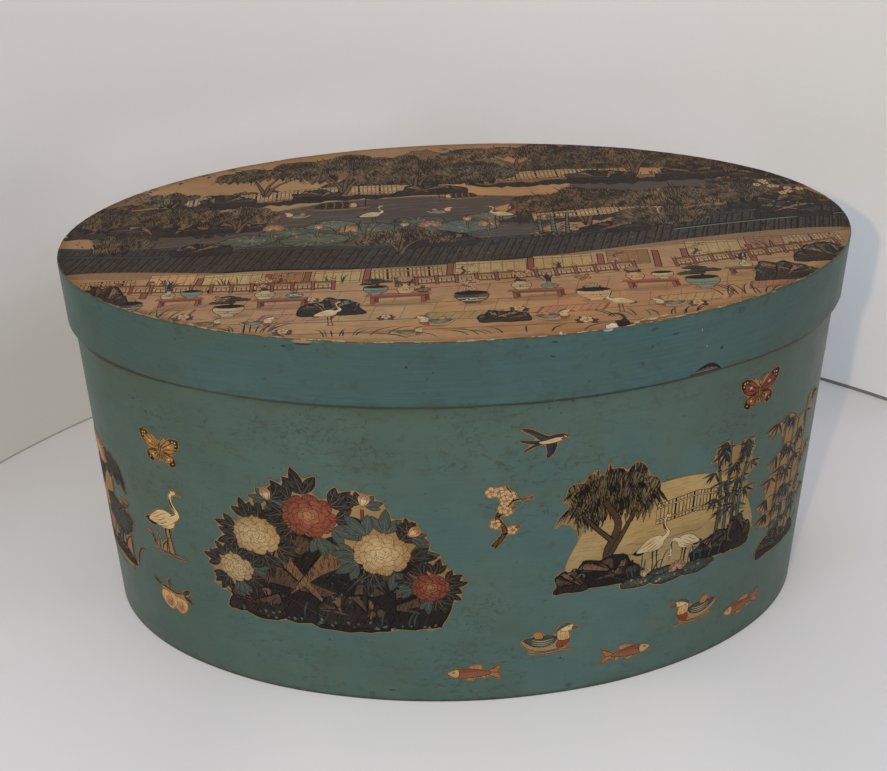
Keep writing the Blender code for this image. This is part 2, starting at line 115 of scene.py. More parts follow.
# ------------------------------------------------------------------ node helpers
class Graph:
    """A material's node tree, written one node a line."""

    def __init__(self, name):
        self.mat = bpy.data.materials.new(name)
        self.mat.use_nodes = True
        self.tree = self.mat.node_tree
        self.tree.nodes.clear()
        self.out = self.tree.nodes.new("ShaderNodeOutputMaterial")

    def put(self, socket, value):
        if isinstance(value, bpy.types.NodeSocket):
            self.tree.links.new(value, socket)
        elif value is not None:
            if socket.type == "RGBA" and not hasattr(value, "__len__"):
                value = (value, value, value, 1.0)
            elif socket.type == "RGBA" and len(value) == 3:
                value = (*value, 1.0)
            elif socket.type == "VECTOR" and not hasattr(value, "__len__"):
                value = (value, value, value)
            socket.default_value = value

    def node(self, kind, inputs=(), **props):
        n = self.tree.nodes.new(kind)
        for k, v in props.items():
            setattr(n, k, v)
        for k, v in dict(inputs).items():
            self.put(n.inputs[k], v)
        return n

    def math(self, op, a, b=None, c=None, clamp=False):
        n = self.node("ShaderNodeMath", operation=op, use_clamp=clamp)
        for i, v in enumerate((a, b, c)):
            if v is not None:
                self.put(n.inputs[i], v)
        return n.outputs[0]

    def vmath(self, op, a, b=None, scale=None):
        n = self.node("ShaderNodeVectorMath", operation=op)
        self.put(n.inputs[0], a)
        if b is not None:
            self.put(n.inputs[1], b)
        if scale is not None:
            self.put(n.inputs["Scale"], scale)
        return n.outputs["Value"] if op in ("LENGTH", "DOT_PRODUCT", "DISTANCE") else n.outputs["Vector"]

    def uv(self, name, scale=1000.0):
        """A UV map that holds metres, as millimetres."""
        return self.vmath("SCALE", self.node("ShaderNodeUVMap", uv_map=name).outputs[0], scale=scale)

    def place(self):
        """The piece's own coordinates, in millimetres."""
        return self.vmath("SCALE", self.node("ShaderNodeTexCoord").outputs["Object"], scale=1000.0)

    def attr(self, name, out="Color"):
        return self.node("ShaderNodeAttribute", attribute_name=name).outputs[out]

    def noise(self, vec, scale, detail=3.0, rough=0.55, stretch=None, warp=0.0, out="Fac"):
        if stretch is not None:
            vec = self.vmath("MULTIPLY", vec, stretch)
        n = self.node("ShaderNodeTexNoise", {"Vector": vec, "Scale": scale, "Detail": detail, "Roughness": rough, "Distortion": warp})
        return n.outputs[out]

    def voronoi(self, vec, scale, feature="F1", stretch=None, out="Distance", random=1.0):
        if stretch is not None:
            vec = self.vmath("MULTIPLY", vec, stretch)
        n = self.node("ShaderNodeTexVoronoi", feature=feature)
        self.put(n.inputs["Vector"], vec)
        self.put(n.inputs["Scale"], scale)
        self.put(n.inputs["Randomness"], random)
        return n.outputs[out]

    def step(self, value, low, high, to_low=0.0, to_high=1.0):
        n = self.node("ShaderNodeMapRange", interpolation_type="SMOOTHSTEP")
        for i, v in enumerate((value, low, high, to_low, to_high)):
            self.put(n.inputs[i], v)
        return n.outputs[0]

    def mix(self, fac, a, b, how="MIX"):
        n = self.node("ShaderNodeMix", data_type="RGBA", blend_type=how)
        n.clamp_factor = True
        self.put(n.inputs[0], fac)
        self.put(n.inputs[6], a)
        self.put(n.inputs[7], b)
        return n.outputs[2]

    def split(self, vec):
        n = self.node("ShaderNodeSeparateXYZ")
        self.put(n.inputs[0], vec)
        return n.outputs

    def join(self, x=0.0, y=0.0, z=0.0):
        n = self.node("ShaderNodeCombineXYZ")
        for i, v in enumerate((x, y, z)):
            self.put(n.inputs[i], v)
        return n.outputs[0]

    def bump(self, height, far, under=None, strength=1.0):
        n = self.node("ShaderNodeBump", {"Height": height, "Distance": far, "Strength": strength})
        if under is not None:
            self.put(n.inputs["Normal"], under)
        return n.outputs[0]

    def shader(self, colour, rough, normal=None, metal=0.0, spec=0.5, coat=0.0, coat_rough=0.2):
        p = self.node("ShaderNodeBsdfPrincipled")
        self.put(p.inputs["Base Color"], colour)
        self.put(p.inputs["Roughness"], rough)
        self.put(p.inputs["Metallic"], metal)
        self.put(p.inputs["Specular IOR Level"], spec)
        self.put(p.inputs["Coat Weight"], coat)
        self.put(p.inputs["Coat Roughness"], coat_rough)
        if normal is not None:
            self.put(p.inputs["Normal"], normal)
        self.tree.links.new(p.outputs[0], self.out.inputs["Surface"])
        return self.mat


# ------------------------------------------------------------------ materials
def paint(name, tone_a, tone_b, seed, brush, crackle, low_z, top_z, start, marks, aged_top=0.35, lid_edge_z=None, streaked=None, crisp=False, nets=(), blots_at=()):
    """Old hand-brushed paint under varnish. Its UV map is (length along the strip, height). marks: (s, z, half width, half height, lean, colour) in mm. nets and blots_at: (s, z, half width, half height) where craquelure or soft dark spots gather."""
    g = Graph(name)
    flat = g.uv("sz")

    def near(places):
        share = None
        for s, h, rx, ry in places:
            at = s / 1000 % ROUND
            at = at + ROUND if at < start else at
            d = g.vmath("LENGTH", g.vmath("MULTIPLY", g.vmath("SUBTRACT", flat, (at * 1000, h, 0.0)), (1 / rx, 1 / ry, 0.0)))
            part = g.step(d, 1.20, 0.50)
            share = part if share is None else g.math("MAXIMUM", share, part)
        return share

    p = g.vmath("ADD", flat, (seed * 137.0, 0.0, 0.0))
    z = g.split(flat)[1]
    # colour: two tones in soft clouds, brush strokes along the strip
    cloud = g.step(g.noise(p, 0.013, 4, 0.6, warp=0.3), 0.36, 0.64)
    colour = g.mix(cloud, tone_a, tone_b)
    strokes = g.noise(p, 1.0, 4, 0.62, stretch=(0.030, 0.85, 1.0), warp=0.3)
    fine = g.noise(p, 1.0, 3, 0.7, stretch=(0.10, 3.2, 1.0), warp=0.2)
    soft = g.noise(p, 0.055, 4, 0.6, warp=0.3)
    tone = g.math("ADD", g.math("MULTIPLY", g.math("SUBTRACT", strokes, 0.5), brush), 1.0)
    tone = g.math("ADD", tone, g.math("MULTIPLY", g.math("SUBTRACT", fine, 0.5), brush * 0.6))
    tone = g.math("ADD", tone, g.math("MULTIPLY", g.math("SUBTRACT", soft, 0.5), 0.36))
    colour = g.mix(1.0, colour, g.join(tone, tone, tone), "MULTIPLY")
    # dry strokes of a bluer second coat
    if streaked is not None:
        coat = g.step(g.noise(g.vmath("ADD", p, (7.0, 44.0, 0.0)), 1.0, 4, 0.66, stretch=(0.016, 0.62, 1.0), warp=0.2), 0.47, 0.62)
        thin = g.step(fine, 0.44, 0.62)
        colour = g.mix(g.math("MULTIPLY", coat, g.math("ADD", g.math("MULTIPLY", thin, 0.55), 0.30)), colour, streaked)
    # the band that the lid covers has kept its colour, and shows where the lid slides
    covered = 0.0
    if lid_edge_z is not None:
        covered = g.step(g.math("SUBTRACT", z, lid_edge_z * 1000), -0.2, 1.8)
        colour = g.mix(g.math("MULTIPLY", covered, 0.75), colour, g.mix(1.0, colour, (0.98, 1.20, 1.30), "MULTIPLY"))
    open_ = g.math("SUBTRACT", 1.0, covered)
    # yellowed varnish: broad patches, and more of it toward the top
    high_up = g.math("MULTIPLY", g.step(g.math("SUBTRACT", top_z * 1000, z), 95.0, 8.0), g.math("SUBTRACT", 1.0, g.math("MULTIPLY", covered, 0.8)))
    old = g.step(g.noise(p, 0.021, 5, 0.62, warp=0.6), 0.44, 0.72)
    aged = g.math("ADD", g.math("MULTIPLY", old, 0.42), g.math("MULTIPLY", high_up, aged_top))
    colour = g.mix(aged, colour, (tone_a[0] * 1.22, tone_a[1] * 0.90, tone_a[2] * 0.66))
    # painted shade: the oval's ends are darker and yellower, as the sides turn from the light, with yellowed varnish
    # there too
    along = g.math("WRAP", g.split(flat)[0], ROUND * 500, ROUND * -500)
    aside = g.math("ABSOLUTE", along)
    ends = g.math("MULTIPLY", g.step(aside, 95.0, 165.0), g.step(aside, 275.0, 205.0, 0.35, 1.0))
    colour = g.mix(ends, colour, g.mix(1.0, colour, (0.88, 0.83, 0.74), "MULTIPLY"))
    # painted shade: on the lid's strip the right end is darker still
    if crisp:
        right = g.math("MULTIPLY", g.step(along, 168.0, 212.0), g.step(along, 300.0, 248.0))
        colour = g.mix(right, colour, g.mix(1.0, colour, (0.68, 0.76, 0.58), "MULTIPLY"))
    # painted light: the left end is lighter
    painted_light_left_end = g.math("MULTIPLY", g.step(along, -194.0, -215.0), g.step(along, -300.0, -245.0))
    colour = g.mix(painted_light_left_end, colour, g.mix(1.0, colour, (1.22, 1.16, 1.20), "MULTIPLY"))
    # painted light: the front is lighter
    painted_front_light = g.step(g.math("ABSOLUTE", g.math("SUBTRACT", along, 70.0)), 105.0, 15.0)
    colour = g.mix(painted_front_light, colour, g.mix(1.0, colour, (1.08, 1.09, 1.13), "MULTIPLY"))
    # olive blotches, where grime sits in the brush marks
    blot = g.noise(g.vmath("ADD", p, (61.0, 19.0, 0.0)), 0.13, 4, 0.68, warp=0.4)
    where = g.step(g.noise(p, 0.028, 3, 0.6), 0.42, 0.60)
    blots = g.math("MULTIPLY", g.math("MULTIPLY", g.step(blot, 0.53, 0.66), g.math("MAXIMUM", where, g.math("MULTIPLY", ends, 0.8))), 0.42)
    colour = g.mix(blots, colour, (tone_a[0] * 0.92, tone_a[1] * 0.62, tone_a[2] * 0.42))
    # hairline craquelure: long level cracks, and a faint net in patches
    wander = g.noise(p, 0.12, 3, 0.6, out="Color")
    bent = g.vmath("ADD", p, g.vmath("SCALE", g.vmath("SUBTRACT", wander, (0.5, 0.5, 0.5)), scale=8.0))
    net_a = g.voronoi(bent, 0.13, "DISTANCE_TO_EDGE", stretch=(0.30, 1.0, 1.0))
    net_b = g.voronoi(bent, 0.26, "DISTANCE_TO_EDGE", stretch=(0.60, 1.0, 1.0))
    up_here = g.math("MULTIPLY", high_up, 0.05)
    patch_a = g.step(g.math("ADD", g.noise(p, 0.016, 3, 0.6, warp=0.4), up_here), 0.48, 0.60)
    patch_b = g.step(g.math("ADD", g.noise(g.vmath("ADD", p, (311.0, 77.0, 0.0)), 0.024, 3, 0.6), up_here), 0.53, 0.63)
    dense = near(nets)
    if dense is not None:
        patch_b = g.math("MAXIMUM", patch_b, dense)
        colour = g.mix(g.math("MULTIPLY", dense, 0.35), colour, (tone_a[0] * 1.10, tone_a[1] * 0.86, tone_a[2] * 0.66))
    line_a = g.math("MULTIPLY", g.step(net_a, 0.034, 0.006), patch_a)
    line_b = g.math("MULTIPLY", g.step(net_b, 0.060, 0.012), patch_b)
    cracks = g.math("MAXIMUM", line_a, line_b)
    stained = g.math("MAXIMUM", g.math("MULTIPLY", g.step(net_a, 0.16, 0.0), patch_a), g.math("MULTIPLY", g.step(net_b, 0.26, 0.0), patch_b))
    broken = g.step(g.noise(p, 0.30, 2), 0.40, 0.56)
    cracks = g.math("MULTIPLY", g.math("MULTIPLY", cracks, broken), crackle)
    stained = g.math("MULTIPLY", g.math("MULTIPLY", stained, broken), crackle)
    colour = g.mix(g.math("MULTIPLY", stained, 0.13), colour, (0.052, 0.056, 0.036))
    colour = g.mix(g.math("MULTIPLY", cracks, 0.46), colour, (0.034, 0.038, 0.022))
    spotted = near(blots_at)
    if spotted is not None:
        soft_dot = g.step(g.noise(g.vmath("ADD", p, (11.0, 29.0, 0.0)), 0.34, 3, 0.6, warp=0.4), 0.55, 0.66)
        colour = g.mix(g.math("MULTIPLY", g.math("MULTIPLY", soft_dot, spotted), 0.55), colour, (0.028, 0.046, 0.032))
    # dark specks, gathered in clusters, and small knocks
    cell = g.split(g.voronoi(p, 0.085, out="Color"))
    dot = g.voronoi(g.vmath("ADD", p, g.vmath("SCALE", wander, scale=0.8)), 0.085)
    size = g.math("MULTIPLY", g.step(cell[0], 0.74, 1.0), 0.060)
    speck = g.step(g.math("SUBTRACT", dot, size), 0.012, -0.006)
    speck = g.math("MULTIPLY", speck, g.step(cell[0], 0.72, 0.76))
    gather = g.step(g.noise(g.vmath("ADD", p, (17.0, 201.0, 0.0)), 0.030, 3, 0.6), 0.53, 0.64)
    cell2 = g.split(g.voronoi(p, 0.30, out="Color"))
    dot2 = g.voronoi(p, 0.30)
    speck2 = g.math("MULTIPLY", g.step(dot2, 0.20, 0.08), g.step(cell2[1], 0.62, 0.66))
    speck2 = g.math("MULTIPLY", speck2, g.math("ADD", g.math("MULTIPLY", gather, 0.9), g.step(cell2[1], 0.93, 0.95), clamp=True))
    specks = g.math("MAXIMUM", speck, g.math("MULTIPLY", speck2, 0.8))
    colour = g.mix(g.math("MULTIPLY", specks, 0.70), colour, (0.020, 0.020, 0.013))
    # dark along the lower edge, with olive smears near it, and the paint rubbed through at the edges
    low = g.math("SUBTRACT", z, low_z * 1000)
    high = g.math("SUBTRACT", top_z * 1000, z)
    rough_edge = g.math("MULTIPLY", g.noise(p, 0.35, 4, 0.6), 3.0)
    if crisp:
        dark_lower_edge = g.step(g.math("SUBTRACT", low, g.math("MULTIPLY", rough_edge, 0.42)), 0.75, -0.30)
    else:
        dark_lower_edge = g.step(g.math("SUBTRACT", low, rough_edge), 1.4, -1.2)
    colour = g.mix(g.math("MULTIPLY", dark_lower_edge, 0.68), colour, (0.012, 0.014, 0.009))
    smear = g.math("MULTIPLY", g.step(g.noise(p, 1.0, 4, 0.66, stretch=(0.045, 0.12, 1.0), warp=0.5), 0.46, 0.66), g.step(low, 8.0, 0.5))
    colour = g.mix(g.math("MULTIPLY", smear, 0.50), colour, (0.034, 0.044, 0.026))
    if lid_edge_z is not None:
        # where the lid's lower edge comes: a dark line of painted shadow from the lid's edge, with grime, reaching
        # lower round the ends; and darker patches under it
        under = g.math("SUBTRACT", lid_edge_z * 1000, z)
        uneven = g.math("ADD", g.math("MULTIPLY", g.noise(p, 1.0, 3, 0.6, stretch=(0.07, 0.2, 1.0)), 1.7), 1.35)
        # painted shadow: the dark line reaches lower round the ends
        round_the_end = g.math("MULTIPLY", g.step(aside, 118.0, 202.0), g.step(aside, 300.0, 236.0))
        uneven = g.math("ADD", uneven, g.math("MULTIPLY", round_the_end, 2.7))
        darker_under_lid = g.math("MULTIPLY", g.step(under, 13.0, 0.0), g.math("MULTIPLY", old, 0.32))
        colour = g.mix(g.math("MULTIPLY", darker_under_lid, open_), colour, (0.040, 0.046, 0.028))
        # the dark line: painted shadow under the lid's edge, with grime
        line = g.math("MULTIPLY", g.step(g.math("SUBTRACT", under, uneven), 0.50, -0.35), 0.74)
        colour = g.mix(g.math("MULTIPLY", line, open_), colour, (0.011, 0.012, 0.008))
        scuffs = g.step(g.noise(g.vmath("ADD", p, (90.0, 3.0, 0.0)), 1.0, 4, 0.7, stretch=(1.3, 0.035, 1.0), warp=0.2), 0.56, 0.68)
        patchy = g.step(g.noise(p, 0.045, 3, 0.6), 0.42, 0.62)
        colour = g.mix(g.math("MULTIPLY", g.math("MULTIPLY", scuffs, patchy), g.math("MULTIPLY", covered, 0.42)), colour, (0.130, 0.120, 0.085))
    worn = g.noise(p, 1.0, 4, 0.65, stretch=(0.16, 0.7, 1.0))
    near_top = g.step(high, 1.1, 0.1)
    rub = g.math("MULTIPLY", g.step(worn, 0.58, 0.64), near_top)
    smudge = g.math("MULTIPLY", g.step(g.noise(g.vmath("ADD", p, (5.0, 77.0, 0.0)), 0.20, 5, 0.7, warp=0.5), 0.545, 0.63), g.step(high, 10.0, 1.5))
    smudge = g.math("MULTIPLY", smudge, g.step(g.noise(p, 0.022, 2), 0.40, 0.60))
    colour = g.mix(g.math("MULTIPLY", smudge, 0.55), colour, (0.026, 0.036, 0.020))
    dirt_top = g.math("MULTIPLY", g.step(worn, 0.56, 0.44), g.step(high, 1.6, 0.3))
    colour = g.mix(g.math("MULTIPLY", dirt_top, 0.55), colour, (0.050, 0.042, 0.024))
    near_low = g.step(low, 0.55, 0.05)
    rub_low = g.math("MULTIPLY", g.step(worn, 0.60, 0.66), near_low)
    if crisp:
        near_low = g.step(g.math("ABSOLUTE", g.math("SUBTRACT", low, 0.75)), 0.55, 0.10)
        rub_low = g.math("MAXIMUM", rub_low, g.math("MULTIPLY", g.math("MULTIPLY", g.step(worn, 0.44, 0.56), near_low), g.math("MULTIPLY", ends, 0.8)))
    colour = g.mix(g.math("MULTIPLY", rub, 0.75), colour, (0.26, 0.19, 0.11))
    colour = g.mix(g.math("MULTIPLY", rub_low, 0.6), colour, (0.13, 0.085, 0.045))
    # single marks
    knocked = None
    for s, h, rx, ry, lean, tint in marks:
        at = s / 1000 % ROUND
        at = at + ROUND if at < start else at
        d = g.vmath("SUBTRACT", flat, (at * 1000, h, 0.0))
        d = g.node("ShaderNodeVectorRotate", {"Vector": d, "Angle": -math.radians(lean)}).outputs[0]
        d = g.vmath("LENGTH", g.vmath("MULTIPLY", d, (1 / rx, 1 / ry, 0.0)))
        d = g.math("ADD", d, g.math("MULTIPLY", g.math("SUBTRACT", g.noise(p, 1.1, 2), 0.5), 0.9))
        hit = g.step(d, 1.15, 0.75)
        colour = g.mix(g.math("MULTIPLY", hit, 0.9), colour, tint)
        knocked = hit if knocked is None else g.math("MAXIMUM", knocked, hit)
    # bare fractured wood, dark along its upper lip and where the cut is shallow: painted shadow under the lip, with
    # dirt
    bare = g.attr("bare", "Fac")
    grain = g.noise(p, 1.0, 4, 0.7, stretch=(0.35, 4.0, 1.0))
    raw = g.mix(g.step(grain, 0.40, 0.62), (0.026, 0.025, 0.022), (0.130, 0.122, 0.108))
    raw = g.mix(g.math("MAXIMUM", g.step(bare, 0.80, 0.45), g.step(g.attr("lip", "Fac"), 0.28, 0.62)), raw, (0.005, 0.006, 0.006))
    colour = g.mix(g.step(bare, 0.02, 0.08), colour, raw)
    # surface
    skin = g.noise(p, 0.9, 3, 0.6)
    rough = g.math("ADD", g.math("MULTIPLY", g.noise(p, 0.05, 4, 0.6), 0.22), 0.32)
    rough = g.math("ADD", rough, g.math("MULTIPLY", g.math("MAXIMUM", specks, rub), 0.22))
    rough = g.math("ADD", rough, g.math("MULTIPLY", g.step(bare, 0.02, 0.08), 0.3))
    height = g.math("ADD", g.math("MULTIPLY", strokes, 0.50), g.math("MULTIPLY", fine, 0.28))
    height = g.math("ADD", height, g.math("MULTIPLY", skin, 0.35))
    height = g.math("SUBTRACT", height, g.math("MULTIPLY", cracks, 0.6))
    height = g.math("SUBTRACT", height, g.math("MULTIPLY", specks, 0.9))
    height = g.math("SUBTRACT", height, g.math("MULTIPLY", rub, 0.8))
    if knocked is not None:
        height = g.math("SUBTRACT", height, g.math("MULTIPLY", knocked, 1.2))
    normal = g.bump(height, 0.00016)
    return g.shader(colour, rough, normal, spec=0.24, coat=0.04, coat_rough=0.24)


def wood(name, light, dark, coords, seed, along=0, stain=0.5):
    """Bare planed softwood, aged. coords is a UV map in metres, or None for the piece's own place. The grain runs along its first axis."""
    g = Graph(name)
    p = g.uv(coords) if coords else g.place()
    p = g.vmath("ADD", p, (seed * 53.0, seed * 31.0, seed * 17.0))
    drift = g.noise(p, 1.0, 3, 0.5, stretch=(0.0035, 0.022, 0.022))
    xyz = g.split(p)
    across = g.math("ADD", xyz[1], g.math("MULTIPLY", xyz[2], 0.6))
    rings = g.math("SINE", g.math("ADD", g.math("MULTIPLY", across, 0.95), g.math("MULTIPLY", drift, 44.0)))
    late = g.math("MULTIPLY", g.step(rings, 0.10, 1.0), g.step(g.noise(p, 1.0, 3, 0.6, stretch=(0.010, 0.10, 0.10)), 0.30, 0.65, 0.22, 0.62))
    colour = g.mix(late, light, dark)
    fibre = g.noise(p, 1.0, 4, 0.7, stretch=(0.035, 2.6, 2.6))
    tone = g.math("ADD", g.math("MULTIPLY", fibre, 0.44), 0.78)
    colour = g.mix(1.0, colour, g.join(tone, tone, tone), "MULTIPLY")
    blotch = g.step(g.noise(p, 0.017, 5, 0.65, warp=0.5), 0.46, 0.72)
    colour = g.mix(g.math("MULTIPLY", blotch, stain), colour, (dark[0] * 0.62, dark[1] * 0.58, dark[2] * 0.55))
    pores = g.step(g.noise(p, 1.0, 2, 0.5, stretch=(0.06, 1.9, 1.9)), 0.66, 0.74)
    colour = g.mix(g.math("MULTIPLY", pores, 0.45), colour, (dark[0] * 0.4, dark[1] * 0.36, dark[2] * 0.34))
    dot = g.split(g.voronoi(p, 0.06, out="Color"))
    knot = g.math("MULTIPLY", g.step(g.voronoi(p, 0.06), 0.07, 0.03), g.step(dot[0], 0.86, 0.88))
    colour = g.mix(g.math("MULTIPLY", knot, 0.6), colour, (0.05, 0.035, 0.022))
    rough = g.math("ADD", g.math("MULTIPLY", fibre, 0.18), 0.52)
    height = g.math("SUBTRACT", g.math("ADD", g.math("MULTIPLY", fibre, 0.8), g.math("MULTIPLY", late, 0.35)), g.math("MULTIPLY", pores, 0.6))
    return g.shader(colour, rough, g.bump(height, 0.00022), spec=0.35)


DARK, PALE = (0.014, 0.013, 0.010), (0.26, 0.31, 0.31)
WALL_MARKS = [
    (244.3, 133.3, 0.9, 1.5, 10, DARK), (-150.9, 145.2, 0.8, 0.8, 0, DARK), (-40.6, 7.7, 1.6, 0.5, 4, DARK), (-172.0, 163.0, 0.7, 0.6, 0, DARK),
    (-164.0, 158.0, 0.6, 0.7, 0, DARK), (150.0, 168.0, 0.7, 0.5, 20, DARK), (388.0, 150.0, 1.4, 0.6, -20, DARK), (-420.0, 20.0, 1.6, 0.7, 30, DARK),
]
RIM_MARKS = [
    (-73.0, 212.7, 3.8, 0.60, 2, (0.018, 0.017, 0.012)), (-73.5, 213.9, 4.6, 0.80, 0, (0.240, 0.155, 0.100)),
    (-81.4, 211.0, 1.5, 0.6, -5, DARK), (-28.1, 202.9, 0.6, 0.6, 0, DARK), (117.3, 193.8, 0.8, 0.9, 0, DARK), (36.0, 211.7, 1.5, 0.40, -8, DARK), (35.4, 204.7, 1.2, 0.38, -16, DARK),
    (81.4, 211.0, 1.7, 0.8, 10, (0.030, 0.050, 0.032)), (92.0, 206.6, 1.8, 0.7, -6, (0.024, 0.046, 0.048)), (81.0, 202.3, 1.1, 0.7, 30, (0.030, 0.050, 0.032)),
    (77.0, 194.4, 0.9, 1.4, 20, (0.030, 0.050, 0.032)), (105.5, 205.6, 0.26, 0.8, 8, PALE), (109.0, 196.6, 0.24, 0.55, -12, PALE), (59.6, 214.5, 2.4, 0.8, 0, (0.26, 0.31, 0.32)),
    (420.0, 196.0, 1.3, 0.7, 15, DARK), (-390.0, 201.0, 0.9, 0.8, 0, DARK), (505.0, 206.0, 0.7, 1.2, 0, DARK), (-250.0, 190.0, 1.2, 0.5, 10, DARK),
]
WALL_PAINT = paint("wall_paint", (0.049, 0.096, 0.086), (0.059, 0.104, 0.089), 1, 0.22, 1.0, 0.0, WALL_TOP, WALL_LAP_AT, WALL_MARKS, lid_edge_z=RIM_Z,
                   nets=((142, 163, 21, 12), (128, 147, 22, 10), (-46, 151, 17, 11), (-92, 128, 24, 12), (470, 120, 30, 20), (-360, 60, 26, 18)),
                   blots_at=((-161, 158, 21, 13), (-70, 164, 24, 8), (150, 150, 18, 14), (360, 40, 30, 18), (-430, 150, 26, 14)))
RIM_PAINT = paint("rim_paint", (0.036, 0.083, 0.080), (0.044, 0.090, 0.082), 4, 0.40, 0.40, RIM_Z, LID_TOP, LID_LAP_AT, RIM_MARKS, 0.10, streaked=(0.044, 0.094, 0.112), crisp=True)
STRIP_WOOD = wood("strip_wood", (0.46, 0.30, 0.165), (0.29, 0.165, 0.080), "sz", 2)
BOARD_WOOD = wood("board_wood", (0.50, 0.335, 0.19), (0.31, 0.18, 0.09), None, 5)
UNDER_WOOD = wood("underside_wood", (0.42, 0.275, 0.155), (0.25, 0.145, 0.075), None, 9, stain=0.75)


# ------------------------------------------------------------------ mesh helpers
def mesh_object(name, verts, faces, mats, face_mats=None, smooth=None):
    me = bpy.data.meshes.new(name)
    me.from_pydata([tuple(map(float, v)) for v in verts], [], [tuple(map(int, f)) for f in faces])
    for m in mats:
        me.materials.append(m)
    if face_mats is not None:
        me.polygons.foreach_set("material_index", np.asarray(face_mats, np.int32))
    me.validate()
    if smooth is not None:
        me.shade_smooth()
        me.set_sharp_from_angle(angle=math.radians(smooth))
    ob = bpy.data.objects.new(name, me)
    scene.collection.objects.link(ob)
    return ob


def strip_mesh(name, stations, inner_at, outer_at, low_at, high_at, round_r, out_rows, in_rows, mats, scoop=None, lip=None):
    """A bent strip as one closed mesh: a rounded cross-section carried along the oval. UV map sz is (length, height). scoop(s, z) is how deep the outer face is cut, and lip(s, z) how near the cut's upper edge a place is."""
    corner = [math.radians(a) for a in (0, 30, 60, 90)]
    verts, uvs, part = [], [], None
    rows = []
    for s in stations:
        inn, out, low, high = inner_at(s), outer_at(s), low_at(s), high_at(s)
        r = min(round_r, (out - inn) * 0.42)
        section = []  # (offset, z, part): 0 outside, 1 top edge, 2 inside, 3 lower edge
        for k in out_rows:
            section.append((out, low + r + (high - low - 2 * r) * k, 0))
        section += [(out - r + r * math.cos(a), high - r + r * math.sin(a), 0) for a in corner[1:]]
        section += [(inn + r - r * math.sin(a), high - r + r * math.cos(a), 1) for a in corner]
        for k in range(1, in_rows + 1):
            section.append((inn, high - r - (high - low - 2 * r) * k / in_rows, 2))
        section += [(inn + r - r * math.cos(a), low + r - r * math.sin(a), 2) for a in corner[1:]]
        section += [(out - r + r * math.sin(a), low + r - r * math.cos(a), 3) for a in corner[:3]]
        rows.append(section)
    n, m = len(rows), len(rows[0])
    off = np.array([[q[0] for q in r] for r in rows])
    zz = np.array([[q[1] for q in r] for r in rows])
    ss = np.repeat(np.array(stations)[:, None], m, 1)
    cut = np.zeros_like(off)
    if scoop is not None:
        outer = np.array([q[2] in (0, 3) for q in rows[0]])
        cut[:, outer] = scoop(ss, zz)[:, outer]
    off = off - cut + waver(ss, zz)
    xy = on_oval(ss.ravel(), off.ravel()).reshape(n, m, 2)
    verts = np.concatenate([xy, zz[:, :, None]], 2).reshape(-1, 3)
    kinds = [q[2] for q in rows[0]]
    faces, face_mats, face_uv = [], [], []
    for i in range(n - 1):
        for k in range(m):
            j = (k + 1) % m
            faces.append((i * m + k, (i + 1) * m + k, (i + 1) * m + j, i * m + j))
            face_mats.append(0 if kinds[k] in (0, 1, 3) and kinds[j] in (0, 1, 3) else 1)
    first, last = list(range(m)), [(n - 1) * m + k for k in range(m)]
    faces.append(first)
    faces.append(list(reversed(last)))
    face_mats += [1, 1]
    ob = mesh_object(name, verts, faces, mats, face_mats, smooth=40)
    uv = ob.data.uv_layers.new(name="sz")
    loops = np.empty(len(ob.data.loops), np.int32)
    ob.data.loops.foreach_get("vertex_index", loops)
    flat_s, flat_z = ss.ravel(), zz.ravel()
    uv.uv.foreach_set("vector", np.column_stack([flat_s[loops], flat_z[loops]]).astype(np.float32).ravel())
    bare = ob.data.attributes.new("bare", "FLOAT", "POINT")
    bare.data.foreach_set("value", (cut.ravel() / 0.0012).astype(np.float32))
    if lip is not None:
        upper = ob.data.attributes.new("lip", "FLOAT", "POINT")
        upper.data.foreach_set("value", (lip(ss, zz) * (cut > 0)).ravel().astype(np.float32))
    bm = bmesh.new()
    bm.from_mesh(ob.data)
    if bm.calc_volume(signed=True) < 0:
        bmesh.ops.reverse_faces(bm, faces=bm.faces)
        bm.to_mesh(ob.data)
    bm.free()
    return ob


# ------------------------------------------------------------------ the wall
def spread(start, end, step):
    n = max(1, int(round((end - start) / step)))
    return [start + (end - start) * k / n for k in range(n + 1)]


W0, W1 = WALL_LAP_AT, WALL_LAP_AT + LAP
wall_stations = (
    spread(W0, W1, 0.0016) + [W1 + GAP, W1 + GAP + 0.0002] + spread(W1 + 0.0015, W0 + ROUND, 0.0016)
    + spread(W0 + ROUND, W1 + ROUND, 0.0016)[1:]
)


def wall_inner(s):
    if s <= W1:
        return -WALL_T - STEP_UP * (1 - (s - W0) / LAP)
    if s > W0 + ROUND:
        return -WALL_T + (WALL_T - FEATHER) * (s - W0 - ROUND) / LAP
    return -WALL_T


def wall_outer(s):
    if s <= W1 + 1e-9:
        return -WALL_T + (WALL_T - FEATHER) * (s - W0) / LAP - GAP
    if s <= W1 + GAP + 1e-9:
        return -FEATHER - GAP
    return 0.0


wall = strip_mesh("wall_strip", wall_stations, wall_inner, wall_outer, lambda s: 0.0, lambda s: WALL_TOP,
                  0.0006, np.linspace(0, 1, 23), 6, [WALL_PAINT, STRIP_WOOD])
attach(wall, "box")
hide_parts("side_band")

# ------------------------------------------------------------------ the lid's strip
L0, L1 = LID_LAP_AT, LID_LAP_AT + LAP
CHIP_S = s_of_angle(CHIP_ANGLE)
lid_stations = sorted(set(
    spread(L0, L1, 0.0016) + spread(L1, L0 + ROUND - GAP - 0.0002, 0.0014) + [L0 + ROUND - GAP]
    + spread(L0 + ROUND, L1 + ROUND, 0.0016)
    + [CHIP_S + ROUND + d for d in np.linspace(-0.0135, 0.0100, 92)]
))


